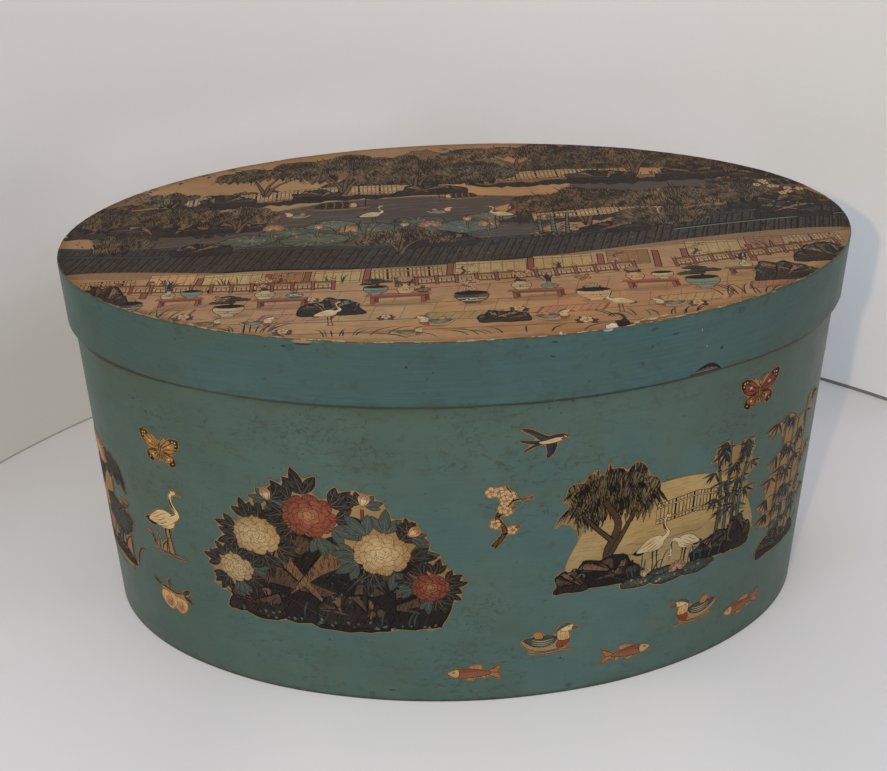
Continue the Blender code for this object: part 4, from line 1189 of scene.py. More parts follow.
def needles(pen, w, h, rng, tone=CHAR, under=OLIVE):
    """A flat cushion of pine needles: overlapping tufts, each a fan of fine strokes."""
    for k in range(7):
        t = k / 6 - 0.5
        x, y = t * w * 0.86, h * (0.16 - 0.9 * t * t) + rng.normal(0, 0.05) * h
        r = h * rng.uniform(0.46, 0.62) * (1.1 - abs(t) * 0.5)
        pen.fill(lobed(x, y, r * 1.15, r * 0.78, 8, 0.13, rng.uniform(-12, 12), 30, rng.uniform(0, 3)), mixed(under, tone, 0.35), kind=SPOKES, ink=tone if k % 2 else INK, about=(x, y - r * 0.75), unit=(1.0, 0.8))
        for a in fan(rng, 14, 166, 9, 0.5):
            c, s = math.cos(math.radians(a)), math.sin(math.radians(a))
            p0 = np.array([x + c * r * 0.80, y + s * r * 0.50])
            pen.line([p0, p0 + np.array([c * 0.9, s + 0.15]) * r * rng.uniform(0.26, 0.46)], (0.5, 0.1), tone if rng.random() < 0.7 else INK)
    pen.line(curve([(-w * 0.46, -h * 0.22), (-w * 0.2, -h * 0.30), (w * 0.2, -h * 0.28), (w * 0.46, -h * 0.20)], 16), (0.4, 1.1, 1.2, 0.4), INK)


def pine(pen, w, h, rng, tone=CHAR, boughs=9, side=1):
    """A leaning pine. Its root is at the origin."""
    path = curve([(0, 0), (0.06 * w * side, 0.24 * h), (-0.05 * w * side, 0.48 * h), (0.10 * w * side, 0.70 * h), (0.04 * w * side, 0.93 * h)], 20)
    places = []
    for k in range(boughs):
        t = 0.30 + 0.66 * k / (boughs - 1)
        root = path[int(t * 19)]
        out = side * (1 if k % 2 else -1)
        reach = w * (0.30 + 0.18 * rng.random()) * (1.12 - 0.52 * t)
        end = root + (out * reach, h * rng.uniform(0.00, 0.10))
        pen.line(curve([root, (root + end) / 2 + (0, -0.03 * h), end], 9), (2.6, 1.8, 0.7), INK)
        pen.line(curve([root, (root + end) / 2 + (0, -0.03 * h), end], 9), (1.6, 1.0, 0.3), BROWN)
        places.append((root * 0.35 + end * 0.65, end, t))
    pen.line(path, (7.4, 5.6, 4.2, 3.0, 1.4), INK)
    trunk = ribbon(path, np.array((6.2, 4.6, 3.2, 2.1, 0.8)))
    pen.fill(trunk, BROWN, kind=SCALES, ink=INK, unit=1.5, grain=5)
    for a, b, t in places:
        size = 1.18 - 0.5 * t
        needles(pen.at(*(b + (0, h * 0.02))), w * 0.34 * size, h * 0.135 * size, rng, tone)
        needles(pen.at(*(a + (0, h * 0.045))), w * 0.28 * size, h * 0.12 * size, rng, tone)
    needles(pen.at(*(path[-1] + (0, h * 0.005))), w * 0.34, h * 0.12, rng, tone)


def bamboo_leaves(pen, n, size, rng, tone=CHAR, down=-90):
    for a in fan(rng, down - 46, down + 46, n, 0.5):
        length = size * rng.uniform(0.7, 1.15)
        p = pen.at(turn=a)
        colour = tone if rng.random() < 0.72 else mixed(tone, TEAL, 0.6)
        p.fill(blade(length, size * 0.155, length * rng.normal(0, 0.05), 8, 0.38), colour, kind=HAIR, ink=mixed(colour, TEAL_PALE, 0.35), unit=(2.0, 1.0))


def bamboo(pen, w, h, rng, culms=4):
    """A stand of bamboo on a low mound. Its foot is at the origin."""
    for k in range(culms):
        x = (k / (culms - 1) - 0.5) * w * 0.55
        top = x + rng.normal(0, 0.10) * w + 0.10 * x
        hh = h * rng.uniform(0.80, 0.98)
        thick = 2.6 if k % 2 else 1.9
        path = curve([(x, 0), (x * 1.02 + (top - x) * 0.3, hh * 0.4), (top, hh)], 30)
        joints = np.linspace(0, 29, 8).astype(int)
        for i, j in zip(joints[:-1], joints[1:]):
            seg = path[i : j + 1]
            ww = thick * (1 - 0.45 * i / 29)
            pen.line(seg, (ww + 1.1, ww + 0.6, ww + 1.1), INK)
            pen.line(seg, (ww, ww * 0.8, ww), TEAL if k % 2 else OLIVE)
            pen.line(seg + (ww * 0.22, 0), (ww * 0.16, ww * 0.12), TEAL_PALE, edge=False)
        for i in joints[2:]:
            for side in (-1, 1):
                if rng.random() < 0.72:
                    q = path[i] + (side * rng.uniform(0.08, 0.20) * w, rng.uniform(-0.01, 0.05) * h)
                    pen.line(curve([path[i], (path[i] + q) / 2 + (0, 0.01 * h), q], 7), (0.8, 0.3), INK)
                    bamboo_leaves(pen.at(*q), rng.integers(4, 7), h * 0.115, rng, down=-90 + side * 22)
    rock(pen.at(-w * 0.16, -h * 0.02), w * 0.62, h * 0.15, rng)
    rock(pen.at(w * 0.24, -h * 0.03), w * 0.42, h * 0.10, rng)
    reeds(pen.at(w * 0.05, 0), 9, h * 0.12, w * 0.6, rng, w=1.0)


def peony_leaf(pen, size, turn, rng, tone=CHAR):
    p = pen.at(turn=turn)
    colour = tone if rng.random() < 0.7 else mixed(tone, TEAL, 0.55)
    for a in (-38, 36, 0):
        q = p.at(size * 0.18, 0, 1, a + rng.normal(0, 4))
        shape = blade(size * (0.82 if a else 1.0), size * 0.36, size * 0.03, 10, 0.52)
        q.inked(shape, colour, 0.25, INK, kind=HATCH, ink=mixed(colour, TEAL_PALE, 0.30), grain=25)
        q.line([(size * 0.06, 0), (size * 0.4, size * 0.01), (size * 0.74, size * 0.02)], (0.35, 0.3, 0.1), mixed(colour, TAN, 0.55), edge=False)
    p.line([(0, 0), (size * 0.2, 0)], (0.9, 0.7), OLIVE)


def peony(pen, r, rng, outer=(0.350, 0.232, 0.108), inner=(0.450, 0.335, 0.172), heart=CREAM, line=BROWN):
    rings = ((9, 0.60, 0.50, outer), (8, 0.46, 0.44, mixed(outer, inner, 0.45)), (7, 0.31, 0.38, inner), (5, 0.17, 0.30, mixed(inner, heart, 0.5)), (3, 0.06, 0.22, heart))
    for k, (count, dist, size, colour) in enumerate(rings):
        for i in range(count):
            a = 2 * math.pi * (i + 0.5 * k) / count + rng.normal(0, 0.08)
            c, s = math.cos(a) * dist * r, math.sin(a) * dist * r * 0.88
            deg = math.degrees(a)
            shape = lobed(c, s, size * r * 0.66, size * r * 0.62, 5, 0.07, deg, 22, rng.uniform(0, 1))
            pen.inked(shape, mixed(colour, heart, rng.uniform(0, 0.16)), 0.26, line, kind=HAIR, ink=line, grain=deg, unit=(1.5, 1.0))
            pen.fill(lobed(c * 1.22, s * 1.22, size * r * 0.30, size * r * 0.50, 4, 0.08, deg, 12), mixed(colour, heart, 0.45), 0.40, kind=None, edge=False)
    for _ in range(9):
        q = rng.normal(0, 0.07, 2) * r
        dots(pen, [q], rng, 0.5, OCHRE)


def chrysanthemum(pen, r, rng, pale=CREAM, deep=OCHRE, line=BROWN):
    for count, length, width, tone in ((19, 1.0, 0.24, mixed(pale, deep, 0.55)), (16, 0.80, 0.22, mixed(pale, deep, 0.25)), (13, 0.58, 0.20, pale), (9, 0.36, 0.16, mixed(pale, deep, 0.35))):
        for a in fan(rng, 0, 360 * (1 - 1 / count), count, 0.35):
            n = length * r * rng.uniform(0.88, 1.06)
            p = pen.at(turn=a)
            shape = blade(n, width * r, n * rng.normal(0, 0.06), 8, 0.68)
            p.inked(shape, tone, 0.22, line, kind=HAIR, ink=deep, unit=(2.0, 1.0))
    pen.fill(oval(0, 0, r * 0.11, r * 0.11, 0, 10), deep, kind=DABS, ink=BROWN)


def chrysanthemum_leaf(pen, size, turn, rng, tone=CHAR):
    p = pen.at(turn=turn)
    colour = tone if rng.random() < 0.7 else mixed(tone, OLIVE, 0.6)
    shape = [(0, 0), (0.2, 0.20), (0.12, 0.36), (0.42, 0.28), (0.40, 0.46), (0.70, 0.24), (0.78, 0.34), (1.0, 0.0), (0.78, -0.30), (0.68, -0.22), (0.42, -0.44), (0.40, -0.26), (0.14, -0.36), (0.2, -0.18)]
    p.inked(closed(np.array(shape) * size, 36), colour, 0.28, INK, kind=HATCH, ink=mixed(colour, TEAL_PALE, 0.25), grain=30)
    p.line([(0, 0), (size * 0.5, 0), (size * 0.86, 0)], (0.5, 0.35, 0.1), mixed(colour, TAN, 0.5), edge=False)


def blossom(pen, r, rng, pale=CREAM, tint=BRICK):
    start = rng.uniform(0, 72)
    for k in range(5):
        a = math.radians(start + 72 * k)
        pen.inked(oval(math.cos(a) * r * 0.55, math.sin(a) * r * 0.55, r * 0.50, r * 0.44, math.degrees(a), 11), mixed(pale, tint, 0.18), 0.24, BRICK_DEEP, kind=HAIR, ink=tint, grain=math.degrees(a), unit=0.8)
    pen.fill(oval(0, 0, r * 0.26, r * 0.26, 0, 8), mixed(pale, tint, 0.55))
    for k in range(7):
        a = rng.uniform(0, 6.28)
        pen.line([(0, 0), (math.cos(a) * r * 0.42, math.sin(a) * r * 0.42)], (0.16, 0.22), BRICK_DEEP, edge=False)
    pen.fill(oval(0, 0, r * 0.10, r * 0.10, 0, 6), OCHRE)


def plum_branch(pen, points, rng, w=2.4, flowers=7, r=3.2, twigs=5):
    path = curve(points, 8 * len(points)) + rng.normal(0, 0.16, (8 * len(points), 2))
    pen.line(path, (w + 0.9, w * 0.8 + 0.8, w * 0.55 + 0.6, 0.5), INK)
    pen.fill(ribbon(path, (w, w * 0.75, w * 0.45, 0.2)), BROWN, kind=HATCH, ink=INK, grain=60)
    spots = []
    for k in range(twigs):
        i = int((0.22 + 0.68 * k / max(twigs - 1, 1)) * (len(path) - 1))
        d = path[min(i + 1, len(path) - 1)] - path[i - 1]
        a = math.atan2(d[1], d[0]) + (1 if k % 2 else -1) * rng.uniform(0.6, 1.1)
        n = w * rng.uniform(2.6, 4.6)
        end = path[i] + (math.cos(a) * n, math.sin(a) * n)
        pen.line(curve([path[i], (path[i] + end) / 2 + rng.normal(0, 0.3, 2), end], 7), (w * 0.45, w * 0.3, 0.4), INK)
        spots += [end, path[i] * 0.4 + end * 0.6]
    spots += [path[int(len(path) * t)] for t in (0.35, 0.6, 0.8)] + [path[-1]]
    rng.shuffle(spots)
    for k, q in enumerate(spots[:flowers]):
        blossom(pen.at(*q), r * rng.uniform(0.8, 1.1), rng)
    for q in spots[flowers : flowers + 5]:
        pen.inked(oval(q[0], q[1], r * 0.34, r * 0.28, rng.uniform(0, 90), 9), BRICK, 0.2)


def swallow(pen, size, rng, turn=0, flip=False):
    p = pen.at(0, 0, size / 30, turn, flip)
    blue = mixed(BLUE, CHAR, 0.35)
    for pts in ([(3, 0.6), (-2, 3.6), (-8.5, 8.6), (-13.5, 10.2), (-8.0, 5.4), (-4.4, 1.2), (-1, -0.8)],
                [(3, -0.4), (3.4, -3.6), (1.4, -8.0), (-2.2, -10.6), (-1.6, -6.6), (-1.8, -3.0), (-1.6, -0.2)]):
        p.inked(closed(pts, 30), blue, 0.3, kind=HAIR, ink=INK, grain=128 if pts[1][1] > 0 else 72, unit=(1.6, 1.0))
    for pts in ([(-4, 0.4), (-9, 1.6), (-15.5, 3.2), (-10, 0.4), (-4.6, -0.6)], [(-4, -0.2), (-9, -1.2), (-14.2, -3.8), (-9.4, -2.2), (-4.4, -1.2)]):
        p.inked(closed(pts, 20), blue, 0.28)
    body = closed([(9.6, 0.9), (6.8, 2.4), (1.5, 2.5), (-4.8, 0.8), (-4.8, -0.8), (1.0, -1.9), (6.8, -1.2), (9.2, -0.2)], 30)
    p.inked(body, CREAM, 0.3, kind=HAIR, ink=TAN_DEEP)
    p.fill(closed([(9.6, 0.9), (6.8, 2.4), (1.5, 2.5), (-4.8, 0.8), (-3.0, 0.3), (3.2, 0.9), (7.0, 0.4)], 24), blue)
    p.fill(closed([(9.0, -0.1), (7.2, 0.2), (6.0, -0.5), (7.2, -1.1)], 12), BRICK)
    p.line([(9.4, 0.5), (11.2, 0.1)], (0.8, 0.1), INK)
    p.fill(oval(8.2, 1.0, 0.34, 0.3, 0, 6), CREAM, edge=False)


def crane(pen, size, rng, flip=False, bowed=False):
    """A standing crane, size tall. Its feet are at the origin."""
    p = pen.at(0, 0, size / 46, 0, flip)
    for a, b in ((-0.6, 0.2), (2.4, 4.2)):
        p.line([(b, 0.0), (a + 0.6, 8.0), (a, 14.5), (a + 0.4, 18)], (0.9, 0.7, 1.1, 1.5), INK)
        p.line([(b - 1.6, -0.2), (b + 0.2, 0.1), (b + 2.6, -0.3)], (0.4, 0.7, 0.3), INK)
    for k, a in enumerate(np.linspace(200, 246, 7)):
        petal(p.at(-6.0, 21.5), 10.5 - k * 0.7, 2.2, a, CHAR, INK, line=INK, w=0.2, tip=0.5)
    body = closed([(7.5, 25.0), (4.0, 28.6), (-3.0, 28.2), (-9.2, 23.4), (-12.6, 18.4), (-6.4, 17.6), (0.5, 16.8), (6.0, 19.4)], 36)
    p.inked(body, CREAM, 0.35, kind=HAIR, ink=TAN_DEEP, grain=32, unit=(1.6, 1.1))
    for x, y, n, a in ((-1.5, 26.0, 9.5, 212), (0.5, 24.0, 10.5, 208), (1.8, 21.6, 9.0, 202), (2.8, 19.6, 7.0, 196)):
        p.line(curve([(x, y), (x + n * 0.5 * math.cos(math.radians(a)), y + n * 0.5 * math.sin(math.radians(a)) - 0.8), (x + n * math.cos(math.radians(a)), y + n * math.sin(math.radians(a)))], 7), (0.25, 0.5, 0.15), BROWN, edge=False)
    if bowed:
        neck = curve([(5.5, 24.5), (10.5, 27.5), (13.4, 24.0), (12.6, 18.6), (13.0, 14.6)], 16)
        head, beak, cap = (13.2, 13.6), [(13.0, 12.8), (13.8, 10.4), (14.4, 8.0)], (14.1, 14.2)
    else:
        neck = curve([(5.5, 24.5), (10.2, 29.0), (7.2, 34.6), (6.4, 39.8), (8.6, 43.4)], 16)
        head, beak, cap = (9.2, 43.6), [(10.2, 43.6), (12.8, 43.2), (15.6, 42.6)], (9.0, 44.9)
    p.line(neck, (4.6, 3.0, 2.4, 2.3), INK)
    p.line(neck, (3.9, 2.3, 1.7, 1.6), CREAM)
    p.line(neck[5:13] + (-0.35, 0), (0.3, 1.3, 0.9, 0.2), CHAR)
    p.line(beak, (1.1, 0.8, 0.15), BROWN)
    p.inked(oval(*head, 1.7, 1.35, 10, 12), CREAM, 0.25)
    p.fill(oval(*cap, 1.1, 0.55, 5, 9), BRICK)
    p.fill(oval(head[0] + 0.3, head[1] + 0.15, 0.3, 0.3, 0, 6), INK, edge=False)


def duck(pen, size, rng, flip=False, drake=True):
    """A duck on the water, size long."""
    p = pen.at(0, 0, size / 32, 0, flip)
    body = closed([(12.6, 2.6), (11.5, -1.6), (6.0, -4.2), (-4.0, -4.6), (-11.0, -2.0), (-15.2, 3.6), (-11.8, 3.4), (-6.0, 4.4), (2.0, 4.2), (8.0, 4.6)], 44)
    p.inked(body, mixed(CREAM, TAN_DEEP, 0.4), 0.38, kind=SCALES, ink=BROWN, unit=1.5, grain=10)
    p.fill(closed([(12.4, 2.4), (11.4, -1.6), (6.5, -4.0), (5.0, -1.0), (7.5, 3.6)], 22), BRICK if drake else BROWN, kind=HATCH, ink=BRICK_DEEP, grain=70)
    wing = closed([(5.0, 4.4), (3.6, 0.4), (-3.0, -1.6), (-9.5, 0.4), (-13.2, 4.6), (-7.0, 5.6), (0.0, 6.2)], 34)
    p.inked(wing, mixed(SLATE, TEAL, 0.4) if drake else BROWN, 0.35, kind=HAIR, ink=INK, grain=-8, unit=(1.8, 1.2))
    for y, w in ((3.4, 0.5), (1.8, 0.45), (0.4, 0.35)):
        p.line(curve([(3.4, y), (-3.0, y - 1.0), (-8.8, y + 0.5)], 9), (w * 0.4, w, w * 0.4), CREAM, edge=False)
    if drake:
        p.inked(closed([(-2.6, 5.2), (-4.4, 9.6), (-8.2, 8.2), (-6.6, 4.8)], 18), OCHRE, 0.3, kind=HAIR, ink=BRICK, grain=110)
    neck = closed([(12.4, 2.0), (12.4, 6.2), (10.0, 10.6), (6.4, 9.8), (5.6, 6.2), (6.8, 2.0)], 28)
    p.inked(neck, mixed(CREAM, OCHRE, 0.3), 0.35, kind=HAIR, ink=BRICK, grain=80)
    head = closed([(8.0, 12.6), (11.2, 13.4), (14.4, 11.8), (14.8, 9.6), (12.0, 8.0), (8.6, 8.2), (6.8, 10.0)], 26)
    p.inked(head, CREAM if drake else mixed(CREAM, TAN_DEEP, 0.5), 0.3)
    p.fill(closed([(8.0, 12.6), (11.2, 13.4), (14.0, 12.2), (11.0, 11.4), (7.0, 9.2), (4.4, 7.0), (5.6, 10.6)], 24), mixed(BLUE, TEAL, 0.5) if drake else BROWN)
    p.inked(closed([(14.4, 10.8), (17.4, 9.6), (17.2, 8.8), (14.4, 9.0)], 14), BRICK if drake else OCHRE, 0.22)
    p.fill(oval(12.2, 10.9, 0.42, 0.42, 0, 8), INK, edge=False)
    for x0, x1, y in ((-14, 14, -5.4), (-9, 17, -6.8)):
        p.line(curve([(x0, y), (x0 * 0.3 + x1 * 0.2, y - 0.5), (x0 * 0.1 + x1 * 0.6, y + 0.3), (x1, y - 0.2)], 12), (0.2, 0.7, 0.5, 0.2), SLATE)


def butterfly(pen, size, rng, turn=0, tone=BRICK):
    p = pen.at(0, 0, size / 27, turn)
    for side in (1, -1):
        q = p.at(0, 0, 1, 0, side < 0)
        low = closed([(0.6, -0.6), (4.0, -1.0), (8.6, -3.0), (9.4, -6.6), (6.4, -8.6), (5.4, -6.8), (3.0, -7.6), (1.0, -4.0)], 32)
        q.inked(low, mixed(tone, OCHRE, 0.4), 0.4, kind=VEINS, ink=INK, about=(0.5, -1.0))
        q.fill(closed([(8.6, -3.0), (9.4, -6.6), (6.4, -8.6), (5.8, -6.4), (7.6, -5.4)], 18), CHAR, edge=False)
        top = closed([(0.5, 0.4), (3.0, 4.0), (8.0, 8.4), (12.8, 8.8), (12.2, 4.4), (9.0, 0.6), (4.0, -1.0)], 34)
        q.inked(top, tone, 0.42, kind=VEINS, ink=INK, about=(0.3, 0.2))
        q.fill(closed([(8.0, 8.4), (12.8, 8.8), (12.2, 4.4), (10.4, 4.0), (10.4, 6.6), (7.6, 6.9)], 20), CHAR, edge=False)
        for x, y, r in ((11.2, 7.4, 0.6), (11.4, 5.6, 0.5), (9.6, 7.7, 0.5), (6.4, 3.6, 0.9), (5.4, -4.4, 0.8), (7.8, -6.6, 0.5)):
            q.fill(oval(x, y, r, r * 0.8, 20, 8), CREAM, edge=False)
        q.line(curve([(0.3, 3.2), (1.6, 6.2), (3.6, 8.6)], 8), (0.35, 0.3, 0.5), INK)
    p.line([(0, 3.8), (0, 1.5), (0, -2.0), (0, -6.2)], (1.0, 1.8, 1.5, 0.5), INK)
    p.line([(0, 3.0), (0, 0), (0, -4.8)], (0.3, 0.7, 0.3), OCHRE, edge=False)


def fish(pen, size, rng, turn=0, flip=False, tone=BRICK):
    p = pen.at(0, 0, size / 30, turn, flip)
    tail = closed([(-7.0, 0.5), (-11.0, 3.6), (-15.0, 5.2), (-13.2, 1.4), (-13.0, -0.6), (-15.4, -4.6), (-10.8, -3.2), (-7.0, -0.8)], 30)
    p.inked(tail, mixed(tone, CREAM, 0.3), 0.3, kind=VEINS, ink=BRICK_DEEP, about=(-4.0, 0))
    for pts in ([(4.0, 2.6), (0.6, 5.8), (-4.4, 5.4), (-3.0, 2.2)], [(5.0, -2.2), (3.0, -5.0), (0.4, -5.2), (2.0, -2.4)], [(-3.0, -1.8), (-5.4, -4.2), (-6.6, -3.4), (-5.6, -1.2)]):
        p.inked(closed(pts, 18), mixed(tone, CREAM, 0.4), 0.28, kind=HAIR, ink=BRICK_DEEP, grain=115)
    body = closed([(14.4, 0.2), (11.0, 2.5), (5.0, 3.6), (-2.0, 2.6), (-8.4, 0.7), (-8.4, -0.8), (-2.0, -2.5), (5.0, -3.2), (11.4, -2.2)], 40)
    p.inked(body, mixed(tone, CREAM, 0.25), 0.35, kind=SCALES, ink=BRICK_DEEP, unit=1.15)
    p.fill(closed([(9.0, 0.2), (11.0, 2.5), (5.0, 3.6), (-2.0, 2.6), (-6.4, 1.2), (2.0, 1.0)], 26), tone, 0.6, kind=None, edge=False)
    p.fill(closed([(14.4, 0.2), (11.4, 2.4), (8.6, 2.6), (8.0, 0), (8.8, -2.5), (11.4, -2.2)], 24), mixed(CREAM, tone, 0.3))
    p.line(curve([(8.8, 2.6), (7.9, 0), (8.9, -2.4)], 8), (0.2, 0.5, 0.2), INK, edge=False)
    p.fill(oval(11.4, 0.9, 0.75, 0.75, 0, 10), INK, edge=False)
    p.fill(oval(11.5, 1.0, 0.3, 0.3, 0, 6), CREAM, edge=False)


def peach(pen, size, rng, flip=False):
    p = pen.at(0, 0, size / 29, 0, flip)
    p.line(curve([(-13, 9), (-4, 8.6), (3, 7.4), (10, 9.6)], 14), (1.0, 1.6, 1.2, 0.7), INK)
    for x, y, a in ((-10, 8.6, 150), (9, 9.0, 30), (-3, 8.8, 78), (10, 8.6, -40)):
        peony_like = p.at(x, y, 1, a)
        peony_like.inked(blade(9.5, 3.2, 0.8, 10, 0.5), CHAR if a != 78 else mixed(CHAR, TEAL, 0.5), 0.28, kind=HATCH, ink=TEAL, grain=25)
        peony_like.line([(0.5, 0), (8.0, 0.6)], (0.35, 0.1), mixed(CHAR, TAN, 0.5), edge=False)
    for cx, cy, r in ((5.4, -1.4, 6.9), (-4.8, -0.4, 7.6)):
        shape = closed([(cx, cy + r * 0.80), (cx + r * 0.72, cy + r * 0.72), (cx + r, cy), (cx + r * 0.62, cy - r * 0.74), (cx + 0.4, cy - r * 1.16), (cx - r * 0.62, cy - r * 0.74), (cx - r, cy), (cx - r * 0.72, cy + r * 0.72)], 36)
        p.inked(shape, mixed(CREAM, OCHRE, 0.35), 0.38, kind=HAIR, ink=ROSE, grain=78, unit=(1.5, 1.0))
        p.fill(oval(cx + 0.4, cy - r * 0.35, r * 0.62, r * 0.66, 0, 18), BRICK, 0.42, kind=None, edge=False)
        p.fill(oval(cx + 0.4, cy - r * 0.55, r * 0.36, r * 0.40, 0, 14), BRICK, 0.50, kind=None, edge=False)
        p.line(curve([(cx, cy + r * 0.8), (cx + r * 0.34, cy + r * 0.1), (cx + r * 0.18, cy - r * 0.6)], 9), (0.3, 0.55, 0.2), BRICK_DEEP, edge=False)


def gourd(pen, size, rng, flip=False):
    p = pen.at(0, 0, size / 33.5, 0, flip)
    p.line(curve([(0, 12.5), (0.5, 15.0), (-1.5, 17.0), (-5.0, 16.6)], 10), (1.2, 1.0, 0.7), INK)
    p.line(curve([(-1, 15.5), (-6.5, 13.0), (-7.6, 9.0), (-5.6, 7.4), (-4.6, 9.2), (-6.4, 10.2)], 18), (0.5, 0.45, 0.3), INK)
    for x, y, a, n in ((0.4, 14.6, 12, 9.0), (-1.0, 15.4, 168, 7.5)):
        chrysanthemum_leaf(p.at(x, y), n, a, rng)
    low = closed([(0, 3.4), (5.0, 1.6), (8.4, -4.4), (7.0, -11.6), (0.2, -15.0), (-7.0, -11.8), (-8.4, -4.6), (-5.0, 1.6)], 34)
    p.inked(low, mixed(OCHRE, CREAM, 0.35), 0.4, kind=HAIR, ink=BROWN, grain=90, unit=(1.8, 1.4))
    top = closed([(0, 13.2), (3.2, 11.4), (4.9, 7.4), (3.4, 2.8), (0, 1.6), (-3.4, 2.8), (-4.9, 7.4), (-3.2, 11.4)], 28)
    p.inked(top, mixed(OCHRE, CREAM, 0.45), 0.38, kind=HAIR, ink=BROWN, grain=90, unit=(1.8, 1.4))
    p.line([(-3.6, 2.6), (0, 1.7), (3.6, 2.6)], (1.0, 1.5, 1.0), BRICK)
    p.fill(oval(2.8, -6.4, 3.4, 6.0, 8, 16), BROWN, 0.35, kind=None, edge=False)
    p.fill(oval(-3.2, -4.0, 1.6, 3.8, -8, 12), CREAM, 0.55, kind=None, edge=False)
    p.fill(oval(-1.8, 8.2, 0.9, 2.2, -8, 10), CREAM, 0.55, kind=None, edge=False)


def willow(pen, w, h, rng, tone=CHAR, clumps=11, strokes=110, under=TAN, trunk=True, grit=(1.15, 0.72)):
    """A crown of hanging twigs, drawn as hair. Its middle is at the origin."""
    if trunk:
        root = (rng.normal(0, 0.04) * w, -h * 0.78)
        for x in (-0.20, 0.04, 0.24):
            path = curve([root, (root[0] + x * w * 0.3, -h * 0.36), (x * w, h * 0.06)], 10)
            pen.line(path, (3.6, 2.2, 1.0), INK)
            pen.line(path, (2.2, 1.2, 0.3), BROWN)
    spots = []
    for k in range(clumps):
        t = (k + 0.5) / clumps * 2 - 1
        spots.append((t * w * 0.38 + rng.normal(0, 0.02) * w, h * (0.20 - 0.20 * t * t) + rng.normal(0, 0.07) * h, t))
    rng.shuffle(spots)
    for x, y, t in spots:
        cw, ch = w * rng.uniform(0.20, 0.28), h * rng.uniform(0.44, 0.66)
        crown = curve([(x - cw / 2, y - ch * 0.30), (x - cw * 0.44, y + ch * 0.16), (x - cw * 0.1, y + ch * 0.38), (x + cw * 0.40, y + ch * 0.20), (x + cw / 2, y - ch * 0.30)], 13)
        n = 8
        foot = np.array([(x + cw / 2 - cw * (i + 0.5) / n, y - ch * ((0.36 if i % 2 else 0.60) + rng.uniform(-0.06, 0.06))) for i in range(n)])
        c = (tone, tone, mixed(tone, OLIVE, 0.5), mixed(tone, SLATE, 0.5), CHAR_WARM)[rng.integers(0, 5)]
        pen.fill(np.vstack([crown, foot]), mixed(c, mixed(under, OLIVE, 0.40), rng.uniform(0.45, 0.80)), kind=STIPPLE, ink=INK, grain=90 - t * 22, unit=grit)
    for _ in range(strokes):
        t = rng.uniform(-1, 1)
        x, y = t * w * 0.46, h * (0.40 - 0.42 * t * t) * rng.uniform(-0.5, 1.0)
        n = h * rng.uniform(0.10, 0.24)
        lean = t * 0.5 + rng.normal(0, 0.12)
        down = -1 if y < h * 0.22 else 1
        pen.line([(x, y), (x + lean * n * 0.8, y + down * n * 0.6), (x + lean * n * 1.2, y + down * n * (0.95 if down < 0 else 0.72))], (0.75, 0.45, 0.12), INK if rng.random() < 0.75 else mixed(OLIVE, CHAR, 0.5))


def fence(pen, points, h, rng, step=2.3, pale=TAN_PALE, dark=BROWN):
    """A fence of split bamboo: pale pickets with dark gaps between two rails."""
    path = np.asarray(points, float)
    d = np.hypot(*np.diff(path, axis=0).T)
    run = np.concatenate([[0], np.cumsum(d)])
    n = int(run[-1] / step)
    xs = np.linspace(0, run[-1], n + 1)
    q = np.column_stack([np.interp(xs, run, path[:, 0]), np.interp(xs, run, path[:, 1])])
    pen.inked(np.vstack([q, (q + (0, h))[::-1]]), pale, 0.4, kind=HAIR, ink=dark, grain=90)
    for k in range(1, n):
        a, b = q[k], q[k] + (rng.normal(0, 0.12), h)
        pen.line([a, b], (0.7, 0.6) if k % 5 else (1.2, 1.1), INK if k % 5 == 0 else dark)
    for t in (0.18, 0.80):
        pen.line(q + (0, h * t), (1.3, 1.3), INK)
        pen.line(q + (0, h * t), (0.6, 0.6), pale)


def railing(pen, points, h, rng, post=9.0, tone=mixed(BRICK, BROWN, 0.35)):
    """Red posts with a fret of thin bars between them."""
    path = np.asarray(points, float)
    d = np.hypot(*np.diff(path, axis=0).T)
    run = np.concatenate([[0], np.cumsum(d)])
    n = max(1, int(run[-1] / post))
    xs = np.linspace(0, run[-1], n + 1)
    q = np.column_stack([np.interp(xs, run, path[:, 0]), np.interp(xs, run, path[:, 1])])
    for a, b in zip(q[:-1], q[1:]):
        quad = [a + (0, h * 0.12), b + (0, h * 0.12), b + (0, h * 0.84), a + (0, h * 0.84)]
        pen.fill(quad, TAN_PALE, 0.8, kind=HAIR, ink=TAN_DEEP)
        u = (b - a) / 4
        for k in (1, 2, 3):
            pen.line([a + u * k + (0, h * 0.14), a + u * k + (0, h * (0.60 if k != 2 else 0.46))], (0.45, 0.45), INK)
        pen.line([a + u + (0, h * 0.46), b - u + (0, h * 0.46)], (0.45, 0.45), INK)
        pen.line([a + (0, h * 0.62), b + (0, h * 0.62)], (0.6, 0.6), BROWN)
    for t, w in ((0.10, 1.5), (0.86, 1.9)):
        pen.line(q + (0, h * t), (w, w), INK)
        pen.line(q + (0, h * t), (w - 0.8, w - 0.8), tone)
    for a in q:
        pen.line([a + (0, -1.0), a + (0, h * 1.06)], (2.1, 2.1), INK)
        pen.line([a + (0, -0.6), a + (0, h * 1.02)], (1.3, 1.3), tone)
        pen.inked(oval(a[0], a[1] + h * 1.12, 1.3, 1.0, 0, 8), OCHRE, 0.25)


